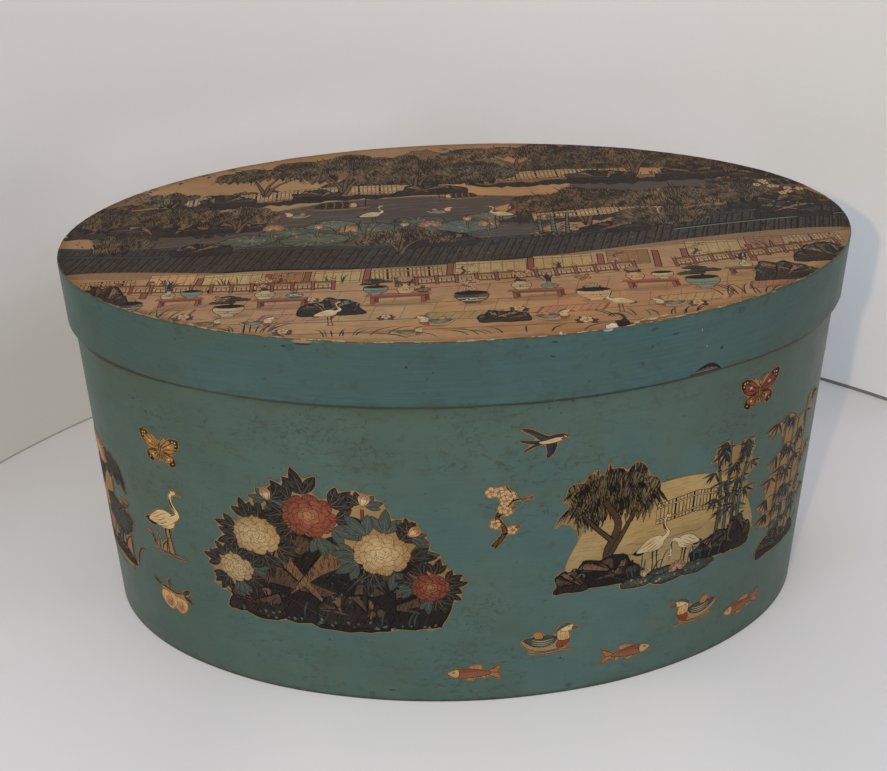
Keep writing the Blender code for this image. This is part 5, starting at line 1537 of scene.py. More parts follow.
def stand_for(pen, w, h, tone=BRICK):
    """A low table. Its feet are at y 0, its top at h."""
    for x in (-w * 0.42, w * 0.36):
        pen.inked([(x, 0), (x + w * 0.06, 0), (x + w * 0.06, h * 0.8), (x, h * 0.8)], tone, 0.3)
        pen.inked([(x + w * 0.07, h * 0.16), (x + w * 0.12, h * 0.16), (x + w * 0.12, h * 0.8), (x + w * 0.07, h * 0.8)], BRICK_DEEP, 0.22)
    pen.inked([(-w * 0.40, h * 0.62), (w * 0.40, h * 0.62), (w * 0.40, h * 0.80), (-w * 0.40, h * 0.80)], mixed(tone, BRICK_DEEP, 0.5), 0.25)
    pen.inked([(-w * 0.52, h * 0.80), (w * 0.52, h * 0.80), (w * 0.46, h), (-w * 0.46, h)], mixed(tone, TAN, 0.3), 0.32, kind=HAIR, ink=BRICK_DEEP)


VASES = (
    ((0.20, 0), (0.30, 0.10), (0.36, 0.34), (0.30, 0.56), (0.12, 0.68), (0.10, 0.84), (0.20, 1.0)),
    ((0.24, 0), (0.34, 0.16), (0.46, 0.44), (0.42, 0.66), (0.20, 0.78), (0.22, 0.92), (0.30, 1.0)),
    ((0.16, 0), (0.18, 0.08), (0.42, 0.20), (0.50, 0.40), (0.30, 0.58), (0.09, 0.66), (0.09, 0.92), (0.14, 1.0)),
    ((0.30, 0), (0.26, 0.08), (0.60, 0.42), (0.72, 0.78), (0.64, 0.90), (0.72, 1.0)),
)


def vase(pen, h, rng, shape=0, tone=CREAM, ink=BLUE, plant=0):
    """A vase or a bowl on its foot, with something growing from it. Its foot is at the origin."""
    side = np.array(VASES[shape]) * h
    right_side = curve(side, 14)
    neck = right_side[-1, 0]
    top = (0, h)
    if plant == 1:
        plum_branch(pen.at(*top), [(0, -h * 0.1), (-h * 0.16, h * 0.4), (h * 0.12, h * 0.8), (-h * 0.1, h * 1.2)], rng, w=1.2, flowers=6, r=1.9, twigs=4)
    elif plant == 2:
        for a in fan(rng, 30, 150, 7, 0.3):
            peony_leaf(pen.at(*top), h * 0.42, a, rng)
        peony(pen.at(0, h * 1.36), h * 0.34, rng)
    elif plant == 3:
        reeds(pen.at(*top), 9, h * 1.2, h * 0.4, rng, w=1.0)
    elif plant == 4:
        pen.line(curve([top, (h * 0.10, h * 1.3), (-h * 0.12, h * 1.7)], 9), (1.9, 1.3, 0.7), INK)
        needles(pen.at(-h * 0.34, h * 1.42), h * 1.0, h * 0.34, rng)
        needles(pen.at(h * 0.34, h * 1.66), h * 1.1, h * 0.36, rng)
        needles(pen.at(-h * 0.10, h * 1.92), h * 0.9, h * 0.32, rng)
    body = np.vstack([right_side, (right_side * (-1, 1))[::-1]])
    pen.inked(body, tone, 0.36, kind=HAIR, ink=mixed(tone, TAN_DEEP, 0.5), grain=80)
    pen.fill(np.vstack([right_side[:, :] * (0.98, 1), (right_side * (0.45, 1))[::-1]]), mixed(tone, TAN_DEEP, 0.7), 0.45, kind=None, edge=False)
    for t in (0.30, 0.52, 0.93):
        x = np.interp(t * h, right_side[:, 1], right_side[:, 0]) * 0.94
        pen.line([(-x, h * t), (0, h * (t - 0.03)), (x, h * t)], (0.5, 0.5), ink)
    dots(pen, [(rng.uniform(-0.24, 0.24) * h, h * rng.uniform(0.34, 0.48)) for _ in range(5)], rng, 0.055 * h, ink)
    pen.fill(oval(0, h, neck, neck * 0.28, 0, 12), INK)


def punt(pen, size, rng, flip=False):
    """A flat boat with a mat cover, moored. size long."""
    p = pen.at(0, 0, size / 44, 0, flip)
    p.line([(15.5, -4), (16.5, 17)], (1.0, 0.8), INK)
    hull = closed([(-22, 3.2), (-17, -1.4), (-8, -3.2), (8, -3.2), (17, -1.2), (23, 4.6), (15, 2.2), (-14, 1.6)], 40)
    p.inked(hull, BROWN, 0.5, kind=HAIR, ink=INK)
    p.line(curve([(-19, 1.0), (0, -1.0), (19, 2.0)], 14), (0.3, 0.7, 0.3), TAN)
    mat = closed([(-12, 1.8), (-12.5, 7.4), (-8, 10.6), (2, 11.2), (9.5, 9.4), (11, 4.8), (10, 2.0)], 30)
    p.inked(mat, CHAR_WARM, 0.5, kind=SCALES, ink=INK, unit=1.5)
    p.fill(closed([(9.8, 2.2), (11, 5.0), (9.5, 9.0), (6.6, 7.4), (6.6, 2.6)], 14), TAN_PALE)
    for x in (-8, -3, 2, 6.4):
        p.line(curve([(x, 2.0), (x + 0.6, 7.2), (x - 0.2, 10.8)], 7), (0.8, 0.8), mixed(TAN_DEEP, INK, 0.3))
    for x0, x1, y in ((-26, 10, -4.6), (-10, 27, -5.8)):
        p.line(curve([(x0, y), (x0 * 0.4 + x1 * 0.3, y - 0.6), (x1, y + 0.2)], 12), (0.2, 0.8, 0.2), SLATE)


def ripples(pen, x0, x1, y0, y1, n, rng, colour=SLATE, w=0.6, alpha=0.75):
    for _ in range(n):
        x, y = rng.uniform(x0, x1), rng.uniform(y0, y1)
        length = rng.uniform(9, 34)
        k = rng.integers(4, 7)
        pts = [(x + length * i / (k - 1), y + (0.9 if i % 2 else -0.9) * rng.uniform(0.5, 1.2)) for i in range(k)]
        pen.line(curve(pts, 3 * k), (0.12, w, w * 0.8, 0.12), colour, alpha)


# ------------------------------------------------------------------ paper
def paper(name, seed, wear, ground, lid=False, fading=1.0, deep=None):
    """Old printed paper under amber varnish. art and art2 are a shape's two colours, pat its drawing: (u, v, kind)."""
    g = Graph(name)
    base, ink = g.attr("art"), g.attr("art2")
    pat = g.attr("pat", "Vector")
    u, v, kind = g.split(pat)
    flat = g.join(u, v, 0.0)
    p = g.vmath("ADD", g.uv("flat"), (seed * 91.0, seed * 47.0, 0.0))

    def is_kind(k):
        return g.math("COMPARE", kind, float(k), 0.3)

    amounts = []
    # leaf dabs
    dab = g.voronoi(flat, 0.62, stretch=(0.7, 1.25, 1.0))
    amounts.append((DABS, g.step(dab, 0.42, 0.28)))
    # brush streaks on rock and bark
    streak = g.noise(flat, 1.0, 3, 0.62, stretch=(0.17, 1.25, 1.0))
    amounts.append((HATCH, g.math("MULTIPLY", g.step(streak, 0.50, 0.60), 0.85)))
    # scallops in rows half a unit apart
    row = g.math("FLOOR", g.math("MULTIPLY", v, 2.0))
    fy = g.math("SUBTRACT", v, g.math("MULTIPLY", row, 0.5))
    fx = g.math("SUBTRACT", g.math("FRACT", g.math("ADD", u, g.math("MULTIPLY", row, 0.5))), 0.5)
    ring = g.math("SQRT", g.math("ADD", g.math("MULTIPLY", fx, fx), g.math("MULTIPLY", fy, fy)))
    arc = g.step(g.math("ABSOLUTE", g.math("SUBTRACT", ring, 0.43)), 0.13, 0.04)
    amounts.append((SCALES, g.math("MULTIPLY", arc, 0.85)))
    # veins from a centre, forking outward
    angle, radius = g.math("ARCTAN2", v, u), g.vmath("LENGTH", flat)
    sway = g.math("MULTIPLY", g.math("SUBTRACT", g.noise(flat, 0.09, 2), 0.5), 0.30)
    turn = g.math("DIVIDE", g.math("ADD", angle, sway), 2 * math.pi)

    def rays(count, width, start):
        f = g.math("ABSOLUTE", g.math("SUBTRACT", g.math("FRACT", g.math("MULTIPLY", turn, count)), 0.5))
        d = g.math("MULTIPLY", g.math("MULTIPLY", f, 2 * math.pi / count), radius)
        return g.math("MULTIPLY", g.step(d, width * 1.5, width * 0.5), g.step(radius, start, start + 2.0))

    vein = g.math("MAXIMUM", rays(15.0, 0.34, 0.6), g.math("MULTIPLY", rays(30.0, 0.24, 9.0), 0.8))
    vein = g.math("MULTIPLY", vein, g.step(g.noise(flat, 0.28, 2), 0.30, 0.52))
    wash = g.math("MULTIPLY", g.step(g.noise(flat, 0.11, 3, 0.6), 0.48, 0.70), 0.28)
    amounts.append((VEINS, g.math("MAXIMUM", g.math("MULTIPLY", vein, 0.85), wash)))
    # fine hairs
    hair = g.noise(flat, 1.0, 3, 0.6, stretch=(0.16, 2.1, 1.0))
    amounts.append((HAIR, g.math("MULTIPLY", g.step(hair, 0.52, 0.63), 0.75)))
    # water lines
    wave = g.math("ADD", g.math("MULTIPLY", v, 1.15), g.math("MULTIPLY", g.noise(flat, 1.0, 2, 0.5, stretch=(0.07, 0.05, 1.0)), 9.0))
    wave = g.step(g.math("SINE", wave), 0.80, 0.97)
    wave = g.math("MULTIPLY", wave, g.step(g.noise(flat, 1.0, 2, 0.5, stretch=(0.05, 0.3, 1.0)), 0.44, 0.58))
    amounts.append((RIPPLE, g.math("MULTIPLY", wave, 0.75)))
    # needle bundles
    spoke = g.noise(g.join(g.math("MULTIPLY", angle, 9.0), g.math("MULTIPLY", radius, 0.20), 0.0), 1.6, 2, 0.6)
    amounts.append((SPOKES, g.math("MULTIPLY", g.step(spoke, 0.42, 0.55), 0.92)))

    # leaves in many small touches of ink, thick here and thin there
    touch = g.noise(flat, 1.0, 3, 0.62, stretch=(0.21, 1.20, 1.0))
    thick = g.math("MULTIPLY", g.math("SUBTRACT", g.noise(flat, 0.085, 3, 0.6), 0.5), 0.52)
    amounts.append((STIPPLE, g.math("MULTIPLY", g.step(g.math("ADD", touch, thick), 0.435, 0.51), 0.95)))

    total = None
    for k, amount in amounts:
        part = g.math("MULTIPLY", is_kind(k), amount)
        total = part if total is None else g.math("ADD", total, part)
    colour = g.mix(total, base, ink)

    # print that was laid on unevenly and has faded
    press = g.noise(p, 0.55, 3, 0.65)
    fade = g.noise(p, 0.030, 4, 0.6, warp=0.3)
    faded = g.math("ADD", g.math("MULTIPLY", g.step(press, 0.50, 0.80), 0.06 * fading), g.math("MULTIPLY", g.step(fade, 0.50, 0.78), 0.05 * fading))
    colour = g.mix(faded, colour, ground)
    if deep is not None:
        colour = g.node("ShaderNodeGamma", {"Color": colour, "Gamma": 1.13}).outputs[0]
        colour = g.mix(1.0, colour, deep, "MULTIPLY")
    # fibre, mottling, and amber varnish in clouds
    fibre = g.noise(p, 1.0, 3, 0.7, stretch=(0.35, 2.2, 1.0))
    cloud = g.noise(p, 0.016, 5, 0.62, warp=0.5)
    small = g.noise(p, 0.16, 4, 0.65)
    tone = g.math("ADD", g.math("MULTIPLY", fibre, 0.22), 0.80)
    tone = g.math("ADD", tone, g.math("MULTIPLY", g.math("SUBTRACT", small, 0.5), 0.42))
    tone = g.math("ADD", tone, g.math("MULTIPLY", g.math("SUBTRACT", cloud, 0.5), 0.70))
    colour = g.mix(1.0, colour, g.join(tone, tone, tone), "MULTIPLY")
    amber = g.step(g.noise(g.vmath("ADD", p, (400.0, 90.0, 0.0)), 0.012, 4, 0.6, warp=0.4), 0.42, 0.68)
    colour = g.mix(g.math("MULTIPLY", amber, 0.75), colour, g.mix(1.0, colour, (1.02, 0.86, 0.66), "MULTIPLY"))
    # foxing
    cell = g.split(g.voronoi(p, 0.13, out="Color"))
    fox = g.math("MULTIPLY", g.step(g.voronoi(p, 0.13), g.math("MULTIPLY", cell[1], 0.16), 0.0), g.step(cell[0], 0.66, 0.72))
    colour = g.mix(g.math("MULTIPLY", fox, 0.55), colour, (0.085, 0.045, 0.022))
    speck_cell = g.split(g.voronoi(p, 0.42, out="Color"))
    speck = g.math("MULTIPLY", g.step(g.voronoi(p, 0.42), 0.15, 0.09), g.step(speck_cell[0], 0.88, 0.90))
    colour = g.mix(g.math("MULTIPLY", speck, 0.7), colour, (0.024, 0.018, 0.014))
    # rubbed through to pale paper, in patches and in thin scratches
    rub = g.math("MULTIPLY", g.step(g.noise(p, 0.42, 5, 0.72), 0.60, 0.66), g.step(g.noise(p, 0.020, 3, 0.6), 0.50, 0.66))
    tilt = g.node("ShaderNodeVectorRotate", {"Vector": p, "Angle": 0.5}).outputs[0]
    scratch = g.step(g.noise(tilt, 1.0, 2, 0.4, stretch=(0.012, 2.6, 1.0)), 0.735, 0.765)
    tilt2 = g.node("ShaderNodeVectorRotate", {"Vector": p, "Angle": -0.9}).outputs[0]
    scratch2 = g.step(g.noise(tilt2, 1.0, 2, 0.4, stretch=(0.018, 3.1, 1.0)), 0.745, 0.775)
    rub = g.math("MAXIMUM", g.math("MULTIPLY", rub, 0.65), g.math("MULTIPLY", g.math("MAXIMUM", scratch, scratch2), 0.5))
    colour = g.mix(g.math("MULTIPLY", rub, wear), colour, (0.40, 0.285, 0.165))
    edge_loss = None
    if lid:
        # browned round the edge, and worn through where hands lift the lid
        place = g.place()
        q = g.vmath("MULTIPLY", place, (1 / 203.0, 1 / 125.75, 0.0))
        inside = g.math("MULTIPLY", g.math("SUBTRACT", 1.0, g.vmath("LENGTH", q)), 150.0)
        ragged = g.math("MULTIPLY", g.math("SUBTRACT", g.noise(p, 0.30, 4, 0.65), 0.5), 5.0)
        brown = g.step(g.math("ADD", inside, ragged), 6.5, 0.6)
        colour = g.mix(g.math("MULTIPLY", brown, 0.55), colour, g.mix(1.0, colour, (0.50, 0.40, 0.32), "MULTIPLY"))
        x, y, _ = g.split(place)
        front = g.step(y, -60.0, -112.0)
        handled = g.math("ADD", g.math("MULTIPLY", front, 1.0), 0.15)
        nibble = g.math("ADD", inside, g.math("MULTIPLY", g.math("SUBTRACT", g.noise(p, 0.16, 5, 0.7), 0.5), 7.0))
        edge_loss = g.math("MULTIPLY", g.step(nibble, 0.55, 0.05), handled)
        colour = g.mix(g.math("MULTIPLY", edge_loss, 0.7), colour, (0.46, 0.36, 0.22))
    rough = g.math("ADD", g.math("MULTIPLY", small, 0.22), 0.44)
    rough = g.math("ADD", rough, g.math("MULTIPLY", rub, 0.20))
    height = g.math("ADD", g.math("MULTIPLY", fibre, 0.25), g.math("MULTIPLY", small, 0.55))
    height = g.math("SUBTRACT", height, g.math("MULTIPLY", rub, 0.5))
    if edge_loss is not None:
        height = g.math("SUBTRACT", height, g.math("MULTIPLY", edge_loss, 1.2))
    broad = g.bump(g.noise(p, 0.045, 3, 0.5), 0.0012, strength=0.5)
    normal = g.bump(height, 0.00013, under=broad)
    return g.shader(colour, rough, normal, spec=0.07)


LID_PAPER = paper("lid_paper", 3, 0.8, TAN, lid=True)
CUT_PAPER = paper("cutout_paper", 8, 0.6, STRAW, fading=0.35, deep=(0.98, 1.02, 1.10))


# ------------------------------------------------------------------ the lid's picture: a lotus pond
def tree_mass(pen, w, h, rng, tone=CHAR, strokes=150):
    """A rounded crown of fine leaves over a few bent trunks."""
    for k in range(3):
        x = (k - 1) * w * 0.16
        pen.line(curve([(x * 0.6, -h * 0.42), (x + rng.normal(0, 1.5), -h * 0.1), (x * 1.5, h * 0.2)], 10), (3.2, 2.2, 1.0), INK)
    clumps = []
    for _ in range(13):
        a, d = rng.uniform(0, 2 * math.pi), rng.uniform(0.1, 0.86) ** 0.6
        clumps.append((math.cos(a) * d * w * 0.37, math.sin(a) * d * h * 0.31 + h * 0.12))
    clumps.sort(key=lambda q: -q[1])
    for k, (x, y) in enumerate(clumps):
        c = (tone, mixed(tone, TEAL, 0.35), mixed(tone, OLIVE, 0.5), mixed(tone, SLATE, 0.6), CHAR_WARM)[rng.integers(0, 5)]
        turn_ = 90 + x / w * -120
        pen.fill(lobed(x, y, w * 0.18, h * 0.18, 9, 0.10, rng.uniform(0, 90), 30, rng.uniform(0, 3)), mixed(c, mixed(TAN, OLIVE, 0.62), rng.uniform(0.45, 0.75)), kind=STIPPLE, ink=INK, grain=turn_, unit=(1.1, 0.70))
    for _ in range(strokes):
        a, d = rng.uniform(0, 2 * math.pi), rng.uniform(0.30, 1.0) ** 0.5
        x, y = math.cos(a) * d * w * 0.47, math.sin(a) * d * h * 0.42 + h * 0.12
        n = rng.uniform(1.6, 3.2)
        t = math.radians(90 - x / w * 130 + rng.normal(0, 16))
        pen.line([(x, y), (x + math.cos(t) * n, y + math.sin(t) * n)], (0.75, 0.15), INK if rng.random() < 0.7 else mixed(TEAL, CHAR, 0.4))


def hill(pen, w, h, rng, tone):
    x = np.linspace(-w / 2, w / 2, 34)
    y = h * np.exp(-((x / w * 2.6) ** 2)) * (1 + 0.16 * np.sin(x / w * 17 + rng.uniform(0, 6))) + 0.04 * h * np.sin(x * 0.7)
    top = np.column_stack([x, y])
    body = np.vstack([top, [(w / 2, -h * 0.12), (0, -h * 0.16), (-w / 2, -h * 0.12)]])
    pen.fill(body, tone, 0.85, kind=HATCH, ink=mixed(tone, CHAR, 0.45), grain=62, unit=1.6)
    pen.line(top, (0.3, 0.9, 0.7, 0.3), mixed(tone, INK, 0.7))
    for k in range(3, 31, 4):
        a = top[k]
        pen.line(curve([a, a + (rng.normal(0, 2) + 2, -y[k] * 0.3), a + (rng.normal(0, 3) + 3, -y[k] * 0.62)], 8), (0.2, 1.2, 0.2), mixed(tone, INK, 0.6), 0.8)
    for _ in range(26):
        k = rng.integers(2, 32)
        dots(pen, [top[k] + (rng.normal(0, 1.2), -abs(rng.normal(0, 2.2)))], rng, 0.8, mixed(CHAR, TEAL, 0.3))


def bank(pen, points, depth, rng, tone=CHAR_WARM, top=TAN_DEEP):
    """A strip of shore: a lit top and a dark rocky face below it, tapering away at both ends."""
    path = curve(points, 12 * len(points)) + rng.normal(0, 0.5, (12 * len(points), 2))
    m = len(path)
    deep = depth * np.clip(np.minimum(np.arange(m), np.arange(m)[::-1]) / 9.0, 0.05, 1.0) ** 0.6
    down = np.column_stack([np.zeros(m), deep])
    face = np.vstack([path, (path - down * (1 + rng.normal(0, 0.12, (m, 1))))[::-1]])
    pen.fill(grown(face, 0.6), INK)
    pen.fill(face, tone, kind=HATCH, ink=INK, grain=82, unit=1.2)
    lit = np.vstack([path, (path - down * (0.34 + rng.normal(0, 0.07, (m, 1))))[::-1]])
    pen.fill(lit, top, kind=HATCH, ink=mixed(top, CHAR, 0.6), grain=6, unit=1.1)
    for k in range(3, m - 3, 3):
        a = path[k] - (0, deep[k] * 0.2)
        pen.line(curve([a, a + (rng.normal(0, 1.2), -deep[k] * 0.4), a + (rng.normal(0, 2.0), -deep[k] * 0.75)], 7), (0.3, 1.0, 0.3), INK)
    for k in range(2, m - 2, 2):
        if rng.random() < 0.40:
            reeds(pen.at(*path[k]), 3, depth * 0.7, 5.0, rng, w=0.9)
        elif rng.random() < 0.5:
            dots(pen, path[k] + rng.normal(0, 1.2, (2, 2)), rng, 1.0, INK if rng.random() < 0.6 else mixed(TEAL, CHAR, 0.4))
    return path


def hedge(pen, points, height, rng, tone=CHAR, under=TAN):
    """A long bank of clipped leaves, stippled. points is the line of its foot."""
    path = curve(points, 13 * len(points))
    m = len(path)
    t = np.arange(m)
    end = np.clip(np.minimum(t, t[::-1]) / 6.0, 0.02, 1.0) ** 0.5
    swell = 0.68 + 0.32 * np.abs(np.sin(t * 0.42 + rng.uniform(0, 3))) ** 0.6 + rng.normal(0, 0.05, m)
    top = path + np.column_stack([rng.normal(0, 0.5, m), height * end * swell])
    foot = path + np.column_stack([np.zeros(m), rng.normal(0, 0.5, m) - 0.8])
    whole = np.vstack([top, foot[::-1]])
    pen.fill(grown(whole, 0.3), INK)
    pen.fill(whole, mixed(tone, mixed(under, OLIVE, 0.62), 0.70), kind=STIPPLE, ink=INK, grain=80, unit=(1.1, 0.70))
    for k0 in range(0, m - 8, 9):
        k1 = min(m - 1, k0 + rng.integers(9, 14))
        part = np.vstack([path[k0:k1] + (top[k0:k1] - path[k0:k1]) * rng.uniform(0.34, 0.62), foot[k0:k1][::-1]])
        pen.fill(part, mixed(tone, mixed(under, OLIVE, 0.62), rng.uniform(0.25, 0.50)), kind=STIPPLE, ink=INK, grain=100, unit=(1.0, 0.66))
    for k in range(2, m - 2, 2):
        a = top[k] + (rng.normal(0, 0.8), -height * rng.uniform(0.0, 0.5))
        pen.line([a, a + (rng.normal(0, 0.9), 2.2)], (0.8, 0.2), INK)


def lid_picture(pen):
    rng = np.random.default_rng(20)
    blush = mixed(BRICK, TAN_DEEP, 0.5)
    water = mixed(mixed(CHAR_WARM, SLATE, 0.45), TAN, 0.10)
    # ground washes
    for cx, cy, rx, ry, c, a in ((-120, 95, 90, 34, OCHRE, 0.34), (40, 52, 150, 34, TAN_PALE, 0.22), (-70, -100, 130, 26, TAN_PALE, 0.30), (60, -92, 70, 22, ROSE, 0.16), (-120, -76, 60, 16, ROSE, 0.16),
                                 (120, -84, 90, 34, TAN_DEEP, 0.20), (-190, -10, 40, 60, TAN_DEEP, 0.25), (0, 112, 140, 22, TAN_DEEP, 0.30)):
        for k in (1.0, 0.84, 0.66):
            pen.fill(lobed(cx, cy, rx * k, ry * k, 7, 0.05, 0, 40, cx), c, a * 0.55, kind=None)
    # far hills, dark along their folds
    for x, y, w, h, t in ((-8, 78, 120, 34, 0.62), (92, 78, 110, 34, 0.70), (-178, 44, 66, 22, 0.62), (172, 56, 80, 28, 0.66)):
        hill(pen.at(x, y), w, h, rng, mixed(TAN, CHAR_WARM, t))
    for x, y, s, t, f in ((-150, 82, 13, 12, False), (-134, 90, 12, 4, False), (-166, 70, 11, 20, True), (-118, 96, 12, -8, False), (8, 116, 12, 6, False)):
        swallow(pen.at(x, y), s, rng, t, f)
    # the lake: dark pools between shoals
    pools = ([(-186, 4), (-150, 20), (-104, 26), (-60, 40), (0, 42), (46, 34), (24, 20), (54, 2), (20, -22), (-60, -24), (-130, -20), (-170, -12)],
             [(70, 50), (112, 54), (160, 48), (198, 36), (176, 28), (126, 32), (92, 36)], [(96, 8), (130, 14), (170, 8), (200, 4), (180, -6), (120, -10), (84, -4)])
    for pts in pools:
        edge_ = closed(pts, 60)
        pen.fill(grown(edge_, 1.2), TAN_DEEP, 0.8, kind=HAIR, ink=BROWN)
        pen.fill(edge_, water, kind=RIPPLE, ink=mixed(TAN_DEEP, SLATE, 0.30), unit=(1.0, 0.8))
    # the far shore: hedges, willows, a fence and low rocks
    hedge(pen, [(-196, 30), (-160, 41), (-120, 47), (-84, 52)], 13, rng)
    hedge(pen, [(-70, 58), (-30, 62), (10, 60), (40, 64)], 15, rng, tone=CHAR_WARM)
    hedge(pen, [(28, 68), (70, 74), (120, 72), (176, 62)], 17, rng, tone=mixed(CHAR, OLIVE, 0.25))
    bank(pen, [(-205, 36), (-160, 44), (-110, 46), (-60, 52), (-10, 50)], 9, rng, tone=CHAR)
    bank(pen, [(14, 58), (60, 62), (110, 60), (160, 60), (205, 44)], 10, rng, tone=CHAR)
    fence(pen, [(-150, 43), (-110, 45), (-60, 51), (-26, 50)], 12, rng)
    fence(pen, [(30, 62), (70, 64), (110, 59)], 11, rng)
    for x, y, w, h, n in ((-94, 82, 72, 38, 34), (-52, 90, 98, 50, 50), (-12, 86, 74, 46, 36), (46, 104, 96, 36, 34), (104, 96, 104, 44, 40), (156, 78, 78, 42, 36)):
        willow(pen.at(x, y), w, h, rng, strokes=n)
    tree_mass(pen.at(-190, 34), 40, 24, rng, strokes=30)
    tree_mass(pen.at(-152, 52), 36, 22, rng, strokes=26, tone=mixed(CHAR, TEAL, 0.6))
    tree_mass(pen.at(186, 50), 44, 32, rng, strokes=32)
    for x, y, w, h in ((-120, 42, 34, 15), (-70, 46, 30, 13), (-8, 46, 38, 15), (88, 56, 38, 15), (140, 54, 44, 17), (176, 48, 34, 15)):
        rock(pen.at(x, y), w, h, rng, tone=CHAR, light=mixed(BROWN, CHAR, 0.5))
    tree_mass(pen.at(22, 72), 54, 34, rng, strokes=34, tone=mixed(CHAR, TEAL, 0.7))
    # on the lake: islets, boats, cranes among lotus
    ripples(pen, -170, 180, -22, 40, 30, rng, colour=mixed(TAN_DEEP, SLATE, 0.3), w=0.5)
    bank(pen, [(-205, 12), (-168, 20), (-128, 14), (-96, 16)], 13, rng)
    bank(pen, [(30, 6), (76, 16), (122, 12), (160, 20), (205, 12)], 14, rng)
    hedge(pen, [(-200, 10), (-168, 19), (-130, 14), (-104, 16)], 15, rng)
    hedge(pen, [(44, 10), (84, 18), (124, 15), (168, 19), (200, 13)], 18, rng)
    for x, y, w, h in ((-184, 6, 38, 20), (-150, 4, 44, 17), (-112, 6, 32, 12), (44, 4, 38, 16), (170, 8, 44, 18)):
        rock(pen.at(x, y), w, h, rng, tone=CHAR if rng.random() < 0.6 else CHAR_WARM, light=mixed(BROWN, CHAR, 0.4))
    tree_mass(pen.at(-186, 24), 48, 30, rng, strokes=34)
    tree_mass(pen.at(-150, 26), 56, 32, rng, strokes=36, tone=CHAR_WARM)
    willow(pen.at(-112, 26), 52, 28, rng, strokes=26, clumps=8)
    punt(pen.at(-58, 30), 40, rng)
    punt(pen.at(8, 38), 30, rng, flip=True)
    willow(pen.at(72, 26), 84, 42, rng, strokes=34)
    willow(pen.at(118, 24), 96, 46, rng, strokes=40)
    tree_mass(pen.at(156, 28), 56, 34, rng, strokes=34)
    plum_branch(pen.at(188, 16), [(0, 0), (-8, 8), (-4, 16), (-18, 22)], rng, w=2.2, flowers=9, r=2.2, twigs=5)
    fence(pen, [(44, 2), (84, 7), (120, 4)], 9, rng)
    leaves = ((-84, 0, 30, 16), (-62, 8, 26, 13), (-40, 0, 34, 17), (-16, 8, 28, 13), (6, -2, 36, 17), (-70, -10, 34, 17), (-26, -12, 34, 17), (22, 10, 26, 12), (-104, -8, 28, 14))
    for k, (x, y, w, h) in enumerate(leaves):
        stem(pen, (x + rng.normal(0, 4), y - h * 1.1), (x, y), rng.normal(0, 2), 1.2)
        lotus_leaf(pen.at(x, y), w, h, rng, tone=mixed(CHAR, TEAL, (0.30, 0.75, 0.45)[k % 3]), vein=mixed(TEAL_PALE, TAN_DEEP, 0.4))
    for x, y, r in ((-92, 6, 6.0), (-52, 0, 6.5), (-10, 2, 6.5), (20, 0, 6.0)):
        stem(pen, (x + rng.normal(0, 2), y - 13), (x, y), rng.normal(0, 1), 1.0)
        lotus_flower(pen.at(x, y), r, rng, pale=mixed(CREAM, TAN, 0.5), tint=blush)
    for x, y, r, t in ((-68, 4, 4.5, 8), (-24, 2, 4.5, -10), (10, 6, 4.5, 6)):
        stem(pen, (x, y - 11), (x, y), 1.0, 0.9)
        lotus_bud(pen.at(x, y), r, rng, t)
    crane(pen.at(-40, 8), 25, rng)
    crane(pen.at(28, 2), 23, rng, flip=True)
    reeds(pen.at(-48, -2), 12, 16, 34, rng, w=0.9)
    reeds(pen.at(30, -2), 10, 16, 26, rng, w=0.9)
    for x, y, s, f, d in ((-4, 20, 15, False, True), (-80, 22, 15, True, True)):
        duck(pen.at(x, y), s, rng, f, d)
    # the long dyke, with its stones set on a slant
    for pts, depth in (([(-205, -8), (-160, -14), (-124, -12)], 12), ([(-205, -17), (-150, -23), (-96, -19), (-30, -23), (26, -19)], 25), ([(4, -20), (60, -15), (120, -8), (170, -5), (205, 1)], 26), ([(112, -4), (150, 2), (205, 8)], 12)):
        n = 56 if depth > 20 else 22
        path = curve(pts, n)
        face = np.vstack([path, (path - (0, depth))[::-1]])
        pen.fill(grown(face, 0.8), INK)
        pen.fill(face, mixed(mixed(CHAR_WARM, SLATE, 0.30), BROWN, 0.12), kind=HATCH, ink=INK, grain=64, unit=0.9)
        for k in range(0, n):
            a = path[k] + (rng.normal(0, 0.5), -0.6)
            pen.line([a, a - (depth * 0.30, depth * 0.92)], (0.9, 0.6), INK)
            if k % 3 == 0:
                pen.line([a + (0.9, 0), a - (depth * 0.30 - 0.9, depth * 0.88)], (0.35, 0.35), mixed(BROWN, CHAR, 0.3))
        cap = np.vstack([path + (0, 1.6), (path - (0, 1.2))[::-1]])
        pen.fill(grown(cap, 0.4), INK)
        pen.fill(cap, mixed(CHAR_WARM, SLATE, 0.4), kind=HAIR, ink=INK)
        pen.line(path - (0, depth - 0.4), (1.4, 1.4), INK)
        pen.line(path - (0, depth + 1.0), (0.7, 0.7), TEAL_PALE)
    for x, y, w, h in ((-128, -22, 30, 14), (-6, -24, 40, 17), (84, -16, 34, 14), (176, -6, 40, 18)):
        rock(pen.at(x, y), w, h, rng, tone=CHAR, light=mixed(SLATE, CHAR, 0.4))
    willow(pen.at(-26, -12), 60, 26, rng, strokes=26, clumps=8)
    tree_mass(pen.at(-172, -8), 54, 24, rng, strokes=26)
    tree_mass(pen.at(112, 0), 62, 26, rng, strokes=26)
    bamboo(pen.at(52, -18), 24, 30, rng, culms=3)
